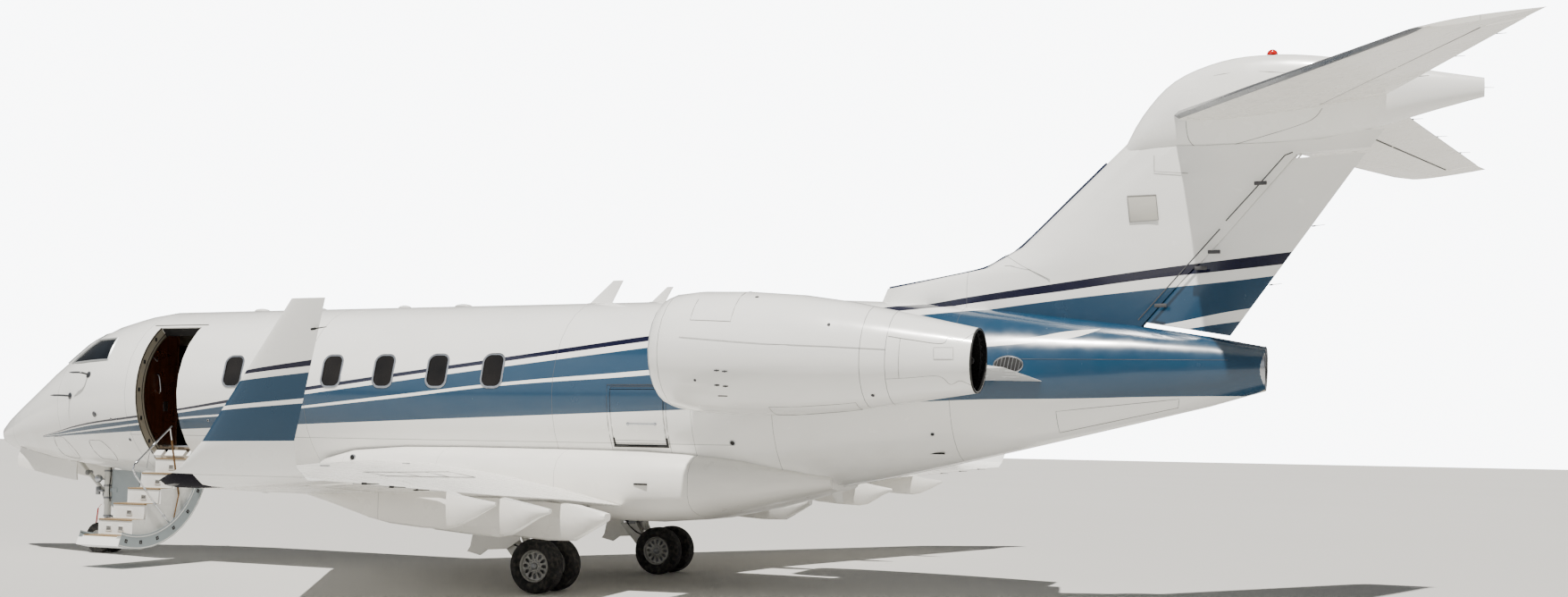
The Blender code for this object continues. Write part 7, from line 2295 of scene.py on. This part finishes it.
@dataclass
class TailTrim:
    """The fin's hatch, joints and hinge fittings, the bullet fairing and its joints, and the static wicks."""

    fittings: Pairs = ((18.524, 4.683), (18.049, 3.956), (17.91, 3.784), (17.487, 3.383))
    hatch: Pairs = ((17.11, 4.61), (17.42, 4.61), (17.45, 4.33), (17.14, 4.32))
    upper: Pairs = (
        (17.765, 5.547), (17.783, 5.743), (17.923, 5.86), (18.276, 5.90), (18.70, 5.86), (19.2, 5.74))
    lower: Pairs = (
        (17.738, 5.401), (17.767, 5.202), (17.881, 5.115), (18.188, 5.118), (18.958, 5.299), (19.135, 5.44))
    tailplane: tuple[tuple[float, ...], ...] = (
        (0.0, 17.480, 19.720, 5.480, 5.560, .095), (.20, 17.620, 19.770, 5.470, 5.550, .095),
        (3.42, 19.850, 20.830, 5.315, 5.385, .085))
    bullet: tuple[tuple[float, ...], ...] = (
        (17.11, 5.070, 5.290, .060), (17.25, 5.050, 5.520, .130), (17.60, 5.050, 5.890, .185),
        (18.10, 5.060, 6.075, .215), (18.60, 5.080, 6.105, .220), (19.10, 5.130, 6.050, .205),
        (19.70, 5.250, 5.920, .165), (20.25, 5.390, 5.790, .110))
    fin_joints: tuple[Points, ...] = (
        ((17.397, 0.139, 5.05), (17.40, 0.142, 4.87), (17.76, 0.140, 4.83)),
        ((15.74, 0.146, 4.0), (15.95, 0.147, 3.86), (16.26, 0.148, 3.70)))
    leading_edge: Pairs = (
        (14.32, 3.664), (14.9, 3.757), (15.45, 3.862), (15.68, 3.975), (15.90, 4.102), (16.49, 4.662),
        (16.86, 5.013))
    gap: float = 0.0075
    rudder_gaps: tuple[Points, ...] = (
        ((17.24, 0.150, 3.225), (17.72, 0.148, 3.775), (18.10, 0.146, 4.205)),
        ((18.16, 0.146, 4.290), (18.46, 0.144, 4.625), (18.76, 0.141, 4.970), (18.84, 0.1405, 5.000)))
    elevator_gaps: Pairs = ((0.30, 1.9), (1.95, 3.30))

    def build(self) -> None:
        """Build the trim."""
        lines, bars = [], []
        for side in (-1, 1):
            for line in (self.upper, self.lower):
                path = []
                for x, z, _ in rounded([(x, z, 0) for x, z in line], 5):
                    low, high, half = blend_table(self.bullet, x)
                    share = min(0.98, abs(z - (low + high) / 2) / ((high - low) / 2))
                    path.append((x, side * half * math.sqrt(1 - share * share), z))
                lines.append(Bench.pipe("joint", path, 0.0035, 1))
            frame_line = [(x, side * 0.1475, z) for x, z in self.hatch]
            lines.append(Bench.pipe("hatch", frame_line, 0.0045, 1, True))
            lines += [Bench.pipe("fin_joint", [(x, side * y, z) for x, y, z in joint], 0.003, 1)
                      for joint in self.fin_joints]
            for x, z in self.fittings:
                bars.append(Bench.block("fitting", (x - 0.075, side * 0.150 - 0.014, z - 0.020),
                                        (x + 0.055, side * 0.150 + 0.014, z + 0.020), 0.006))
        dress(Bench.join("tail_joints", lines), "airframe", "panel_grey", "line_soft", 40)
        dress(Bench.join("rudder_fittings", bars), "airframe", "gear_metal", "line_dark", 35)
        edge = rounded([(x, z, 0) for x, z in self.leading_edge], 4)
        stripe = Bench.pipe("fin_edge_stripe", [(x + 0.004, 0.0, z) for x, z, _ in edge], 0.020, 2)
        dress(stripe, "airframe", "white_paint", "edge_blue", 40)
        gaps = [Bench.pipe("gap", [(x, side * y, z) for x, y, z in path], self.gap, 1)
                for side in (-1, 1) for path in self.rudder_gaps]
        for s in (-1, 1):
            for along in self.elevator_gaps:
                path = []
                for k in range(9):
                    y = along[0] + (along[1] - along[0]) * k / 8
                    lead, trail, low, high, thick = blend_table(self.tailplane, y)
                    chord = trail - lead
                    path.append((lead + 0.672 * chord, s * y,
                                 low + (high - low) * 0.672 - thick * 0.295 * chord))
                gaps.append(Bench.pipe("gap", path, self.gap, 1))
        dress(Bench.join("hinge_gaps", gaps), "airframe", "panel_grey", "line_dark", 40)
        self.smooth_bullet()
        # The hatch plate's grey is painted shade, for the recess that the plate stands in.
        plates = [Bench.plate("plate", [(x, side * 0.1435, z) for x, z in self.hatch], (0, side * 0.0025, 0),
                              0.001) for side in (-1, 1)]
        dress(Bench.join("fin_hatch", plates), "airframe", "composite_paint", "hatch_grey", 35)
        self.wicks()

    def smooth_bullet(self) -> None:
        """Loft the bullet over closely spaced ribs, so that its outline runs smooth."""
        ends = ((17.02, 5.045, 5.085, 0.020), *self.bullet[1:], (20.69, 5.490, 5.690, 0.050))
        rows, columns = [], list(zip(*ends))
        lines = [rounded([(x, value, 0.0) for x, value in zip(columns[0], column)], 4)
                 for column in columns[1:]]
        for (x, low, _), (_, high, _), (_, half, _) in zip(*lines):
            middle, tall = (low + high) / 2, (high - low) / 2
            rows.append([(x, half * math.cos(a), middle + tall * math.sin(a))
                         for a in (math.tau * k / 40 for k in range(40))])
        dress(Bench.net("bullet_fairing_smooth", rows), "airframe", "composite_paint", "tail_paint", 50,
              ["bullet_fairing"])

    def wicks(self) -> None:
        """Fit the static wicks to the trailing edges."""
        sets = {"airframe": [((20.66, 0.0, 5.59), (0.12, 0, -0.01))]}
        for side in Side:
            s, label = side.value, side.label
            sets[f"aileron_{label}_body"] = [((12.93 + k * 0.18, s * (7.4 + k * 0.55), 1.372 + k * 0.036),
                                              (0.12, 0, 0)) for k in range(3)]
            sets[f"elevator_{label}_body"] = [((20.03 + k * 0.28, s * (1.0 + k * 0.85), 5.515 - k * 0.041),
                                               (0.11, 0, 0)) for k in range(3)]
            sets["airframe"].append(((13.80, s * 9.70, 2.40), (0.10, s * 0.01, 0.01)))
        sets["rudder_body"] = [((18.62, 0.0, 3.60), (0.11, 0, 0.01)), ((19.05, 0.0, 4.22), (0.11, 0, 0.01))]
        for body, places in sets.items():
            rods = []
            for foot, way in places:
                tip = tuple(a + b for a, b in zip(foot, way))
                rods.append(Bench.rod("wick", foot, tip, 0.0045, 0.0025, 8))
                rods.append(Bench.rod("wick_foot", tuple(a - b * 0.2 for a, b in zip(foot, way)),
                                      tuple(a + b * 0.12 for a, b in zip(foot, way)), 0.008, sides=10))
            dress(Bench.join(f"static_wicks_{body}", rods), body, "panel_grey", "black_matt", 40)


@dataclass
class WingTrim:
    """The tip lights, the spoilers' joints and the filler caps of both wings."""

    sections: tuple[tuple[float, ...], ...] = (
        (1.00, 6.805, 11.450, 1.262, 1.010, .112), (3.04, 8.131, 11.700, 1.312, 1.150, .112),
        (5.14, 9.496, 12.270, 1.350, 1.255, .108), (7.20, 10.835, 12.870, 1.392, 1.365, .102),
        (9.10, 12.070, 13.430, 1.440, 1.475, .095))

    lens_start: Point = (12.077, 9.075, 1.4425)
    lens_run: Point = (0.26, 0.16, 0.016)
    lens_size: Point = (0.060, 0.030, 0.045)
    lens_steps: Pairs = ((0.0, 0.02), (0.12, 0.55), (0.35, 0.9), (0.65, 1.0), (1.0, 0.85))
    spoiler_span: Pair = (3.15, 6.40)
    spoiler_ends: tuple[float, ...] = (3.15, 4.22, 5.30, 6.40)
    fillers: Pairs = ((5.9, 0.35), (8.0, 0.33), (2.6, 0.4))

    def build(self) -> None:
        """Build the trim."""
        ring = [(math.cos(a), math.sin(a)) for a in (math.tau * k / 16 for k in range(16))]
        (x0, y0, z0), (dx, dy, dz), (fore, wide, tall) = self.lens_start, self.lens_run, self.lens_size
        for side in Side:
            s, label = side.value, side.label
            rows = [[(x0 + dx * t + fore * c, s * (y0 + dy * t + wide * grow * c),
                      z0 + dz * t + tall * grow * up)
                     for c, up in ring] for t, grow in self.lens_steps]
            lens = Bench.net(f"tip_light_{label}", rows)
            dress(lens, "airframe", "dark_glass", "cockpit_glass", 45)
            lines, caps = [], []
            inner, outer = self.spoiler_span
            for a, b in (((inner, 0.60), (outer, 0.585)), ((inner, 0.70), (outer, 0.685))):
                lines.append(Bench.pipe("spoiler", [self.top(s, y, f) for y, f in self.along(a, b)], 0.003,
                                        1))
            for y in self.spoiler_ends:
                lines.append(Bench.pipe("spoiler_end", [self.top(s, y, f) for f in (0.595, 0.65, 0.695)],
                                        0.003, 1))
            for y, f in self.fillers:
                p = Vector(self.top(s, y, f))
                caps.append(Bench.rod("cap", tuple(p - Vector((0, 0, 0.004))),
                                      tuple(p + Vector((0, 0, 0.005))), 0.045, sides=28))
            dress(Bench.join(f"spoiler_joints_{label}", lines), "airframe", "panel_grey", "line_soft", 40)
            dress(Bench.join(f"filler_caps_{label}", caps), "airframe", "polished_metal", "bright_metal", 35)

    @staticmethod
    def along(a: Pair, b: Pair) -> list[Pair]:
        """Step from one span and chord share to another."""
        return [(a[0] + (b[0] - a[0]) * k / 10, a[1] + (b[1] - a[1]) * k / 10) for k in range(11)]

    def top(self, side: int, span: float, share: float) -> Point:
        """Find a place on the wing's upper side.

        Args:
            side: Which wing.
            span: Distance from the middle.
            share: Share of the chord from the leading edge.

        Returns:
            The place.
        """
        lead, trail, low, high, thick = blend_table(self.sections, span)
        half = 5 * thick * (0.2969 * math.sqrt(share) - 0.126 * share - 0.3516 * share ** 2
                            + 0.2843 * share ** 3
                            - 0.1036 * share ** 4)
        lift = 4 * 0.014 * share * (1 - share)
        return (lead + (trail - lead) * share, side * span,
                low + (high - low) * share + (half + lift) * (trail - lead))


@dataclass
class Seat:
    """One seat: sewn cushions blown up as cloth, on a shell with arms and a pedestal."""

    floor: float = 1.620
    cap: float = 0.022
    cushions: tuple[tuple[str, Pairs, float], ...] = (
        ("pan", ((0.06, 0.315), (0.49, 0.315), (0.50, 0.385), (0.07, 0.395)), 0.185),
        ("back", ((0.075, 0.44), (0.015, 0.80), (-0.055, 0.79), (-0.010, 0.43)), 0.180),
        ("head", ((0.005, 0.835), (-0.040, 1.005), (-0.100, 0.995), (-0.060, 0.825)), 0.135))
    shell: Pairs = (
        (0.045, 0.26), (0.050, 0.40), (-0.070, 1.000), (-0.110, 1.030), (-0.155, 1.010), (-0.100, 0.300),
        (-0.02, 0.245))
    tray: Pairs = ((-0.02, 0.25), (0.49, 0.27), (0.515, 0.32), (0.0, 0.33))
    arm: Pairs = ((-0.07, 0.30), (0.36, 0.28), (0.40, 0.50), (0.36, 0.575), (-0.04, 0.59), (-0.10, 0.50))
    voxel: float = 0.023
    pressure: float = 4.0

    def patterns(self) -> dict[str, bpy.types.Object]:
        """Model each cushion once, at station zero and facing aft.

        Returns:
            The cushions by name.
        """
        out = {}
        for name, outline, half in self.cushions:
            piece = Bench.plate(name, [(x - NOSE, -half, self.floor + z) for x, z in outline],
                                (0, half * 2, 0), 0.028)
            Bench.hold(piece)
            piece.data.remesh_voxel_size = self.voxel
            bpy.ops.object.voxel_remesh()
            self.swell(piece)
            smooth = piece.modifiers.new("smooth", "SUBSURF")
            smooth.levels = smooth.render_levels = 1
            bpy.ops.object.modifier_apply(modifier="smooth")
            out[name] = piece
        return out

    def swell(self, piece: bpy.types.Object) -> None:
        """Blow a cushion up with the cloth solver and hold how far it may swell.

        Args:
            piece: The cushion, active.
        """
        start = [v.co.copy() for v in piece.data.vertices]
        cloth = piece.modifiers.new("cloth", "CLOTH")
        cloth.settings.use_pressure = True
        cloth.settings.uniform_pressure_force = self.pressure
        cloth.settings.effector_weights.gravity = 0.0
        for number in range(1, 21):
            bpy.context.scene.frame_set(number)
        bpy.ops.object.modifier_apply(modifier="cloth")
        for vertex, place in zip(piece.data.vertices, start):
            way = vertex.co - place
            if way.length > self.cap:
                vertex.co = place + way.normalized() * self.cap
        bpy.context.scene.frame_set(1)

    def frame(self) -> bpy.types.Object:
        """Model the shell, arms and pedestal once, at station zero and facing aft.

        Returns:
            The seat's frame.
        """
        low = self.floor
        parts = [Bench.plate("shell", [(x - NOSE, -0.205, low + z) for x, z in self.shell], (0, 0.41, 0),
                             0.014),
                 Bench.plate("tray", [(x - NOSE, -0.205, low + z) for x, z in self.tray], (0, 0.41, 0),
                             0.012),
                 Bench.block("pedestal", (0.05 - NOSE, -0.15, low + 0.002), (0.33 - NOSE, 0.15, low + 0.26),
                             0.02, 3)]
        for y in (-1, 1):
            arm = [(x - NOSE, y * 0.21, low + z) for x, z in self.arm]
            parts.append(Bench.plate("arm", arm, (0, y * 0.038, 0), 0.012))
        return Bench.join("seat_frame", parts)


@dataclass
class Cabin:
    """The seats in their places, with the tables, ledges, screens, yokes and trim round them."""

    seats: tuple[tuple[float, int], ...] = ((5.35, 1), (6.95, -1), (7.40, 1), (9.00, -1))
    shield: Pairs = ((2.07, 2.632), (2.32, 2.668), (2.345, 2.640), (2.32, 2.622), (2.07, 2.612))
    grab: Points = ((3.715, -0.70, 2.62), (3.745, -0.69, 2.58), (3.745, -0.66, 2.40), (3.715, -0.65, 2.36))
    hook: Points = ((3.712, -0.78, 2.86), (3.74, -0.77, 2.83), (3.735, -0.73, 2.80), (3.72, -0.70, 2.84))
    tables: Pair = (5.95, 8.00)
    crew: tuple[tuple[float, float, int], ...] = ((3.22, -0.42, -1), (3.22, 0.42, -1))

    def build(self) -> None:
        """Build the cabin and cockpit."""
        seat = Seat()
        patterns, shell = seat.patterns(), seat.frame()
        spots = [(x, y, way) for x, way in self.seats for y in (-0.46, 0.46)]
        rooms = (("cabin", spots, "seat_leather", "cabin_seats", (4.95, 9.70), 0.46),
                 ("cockpit", self.crew, "cockpit_leather", "cockpit_seats", (2.70, 3.30), 0.42))
        for room, places, leather, node, rails, rail_y in rooms:
            frames = []
            for k, (x, y, way) in enumerate(places):
                move = Matrix.Translation((x + NOSE, y,
                                           0.0)) @ Matrix.Rotation(0.0 if way > 0 else math.pi, 4, "Z")
                frames.append(Bench.copy(shell, move))
                for name, pattern in patterns.items():
                    pad = Bench.copy(pattern, move)
                    pad.name = f"{room}_seat_{name}_{k + 1}"
                    dress(pad, "airframe", "seat_leather", leather, 60)
            dress(Bench.join(f"{room}_seat_frames", frames), "airframe", "seat_leather", leather, 35, [node])
            tracks = [Bench.block("track", (rails[0], y - 0.016, 1.6185), (rails[1], y + 0.016, 1.626),
                                  0.003) for y in (-rail_y, rail_y)]
            dress(Bench.join(f"{room}_seat_tracks", tracks), "airframe", "polished_metal", "bright_metal", 35)
        for piece in [shell, *patterns.values()]:
            bpy.data.objects.remove(piece)
        self.woodwork()
        self.cockpit()

    def woodwork(self) -> None:
        """Build the ledges, tables, galley fronts and their handles."""
        wood, metal, soft = [], [], []
        for s in (-1, 1):
            a, b = sorted((s * 0.955, s * 1.090))
            wood.append(Bench.block("ledge", (4.80, a, 2.250), (9.84, b, 2.282), 0.006))
            a, b = sorted((s * 0.930, s * 0.962))
            soft.append(Bench.block("bolster", (4.80, a, 2.235), (9.84, b, 2.300), 0.014, 3))
            for x in self.tables:
                a, b = sorted((s * 0.50, s * 0.94))
                wood.append(Bench.block("table", (x, a, 2.300), (x + 0.40, b, 2.322), 0.008, 3))
        for x, y, z0, z1 in ((4.462, 0.46, 1.70, 2.28), (4.462, 0.46, 2.34, 3.02)):
            for k in range(2):
                y0 = y + k * 0.33
                wood.append(Bench.block("front", (x - 0.014, y0, z0), (x + 0.006, y0 + 0.31, z1), 0.005))
                metal.append(Bench.rod("handle", (x + 0.018, y0 + 0.04, z1 - 0.10),
                                       (x + 0.018, y0 + 0.16, z1 - 0.10), 0.006))
        for z in (1.95, 2.45, 2.75):
            wood.append(Bench.block("rib", (3.7005, -0.62, z), (3.708, -0.30, z + 0.012), 0.002))
        wood.append(Bench.block("casing", (3.7005, -0.305, 1.64), (3.716, -0.284, 3.25), 0.004))
        metal.append(Bench.pipe("grab", rounded(self.grab, 6), 0.008, 2))
        metal.append(Bench.pipe("hook", rounded(self.hook, 6), 0.006, 2))
        metal.append(Bench.block("switch_plate", (3.701, -0.55, 2.10), (3.707, -0.47, 2.24), 0.003))
        dress(Bench.join("cabin_woodwork", wood), "airframe", "cabin_wood", "cabin_wood", 35)
        dress(Bench.join("cabin_metalwork", metal), "airframe", "polished_metal", "bright_metal", 40)
        dress(Bench.join("ledge_bolsters", soft), "airframe", "seat_leather", "seat_leather", 40)

    def cockpit(self) -> None:
        """Build the glare shield, screens, bezels, yokes and levers."""
        dark, screens, metal = [], [], []
        shield = [[(x, y, z - 0.05 * abs(y) ** 2) for y in (-0.66, -0.44, -0.22, 0.0, 0.22, 0.44, 0.66)]
                  for x, z in self.shield]
        dark.append(Bench.net("glare_shield", shield, False, True))
        for y in (-0.50, -0.17, 0.17, 0.50):
            screens.append(Bench.block("screen", (2.3005, y - 0.135, 2.36), (2.309, y + 0.135, 2.56), 0.004))
            dark.append(Bench.block("bezel", (2.2995, y - 0.150, 2.345), (2.305, y + 0.150, 2.575), 0.004))
        for y in (-0.42, 0.42):
            dark.append(Bench.rod("column", (2.42, y, 1.64), (2.46, y, 2.16), 0.022))
            horn = ((2.47, y - 0.15, 2.27), (2.465, y - 0.13, 2.17), (2.46, y - 0.04, 2.155),
                    (2.46, y + 0.04, 2.155),
                    (2.465, y + 0.13, 2.17), (2.47, y + 0.15, 2.27))
            dark.append(Bench.pipe("yoke", rounded(horn, 5), 0.014, 2))
        for y in (-0.04, 0.04):
            metal.append(Bench.rod("lever", (2.62, y, 2.10), (2.58, y, 2.21), 0.008))
            dark.append(Bench.block("knob", (2.555, y - 0.018, 2.20), (2.605, y + 0.018, 2.235), 0.008))
        for k in range(5):
            dark.append(Bench.block("keypad", (2.40 + 0.09 * k, -0.105, 2.1195),
                                    (2.47 + 0.09 * k, -0.062, 2.127), 0.003))
            dark.append(Bench.block("keypad", (2.40 + 0.09 * k, 0.062, 2.1195),
                                    (2.47 + 0.09 * k, 0.105, 2.127), 0.003))
        dress(Bench.join("cockpit_controls", dark), "airframe", "panel_grey", "black_matt", 40)
        dress(Bench.join("cockpit_screens", screens), "airframe", "dark_glass", "screen_glass", 35)
        dress(Bench.join("cockpit_levers", metal), "airframe", "polished_metal", "bright_metal", 35)


def main() -> None:
    """Build the whole dressed model, piece by piece, and note its size."""
    logging.basicConfig(level=logging.INFO, format="%(name)s: %(message)s")
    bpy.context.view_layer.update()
    for part in (Studio(), Skins(), Windows(), Doorway(), Airstair(), FuselageTrim(), LandingGear(),
                 *(EnginePod(side) for side in Side), TailTrim(), WingTrim(), Cabin()):
        part.build()
        LOG.info("built %s, %d objects in all", type(part).__name__, len(bpy.data.objects))


if __name__ == "__main__":
    main()
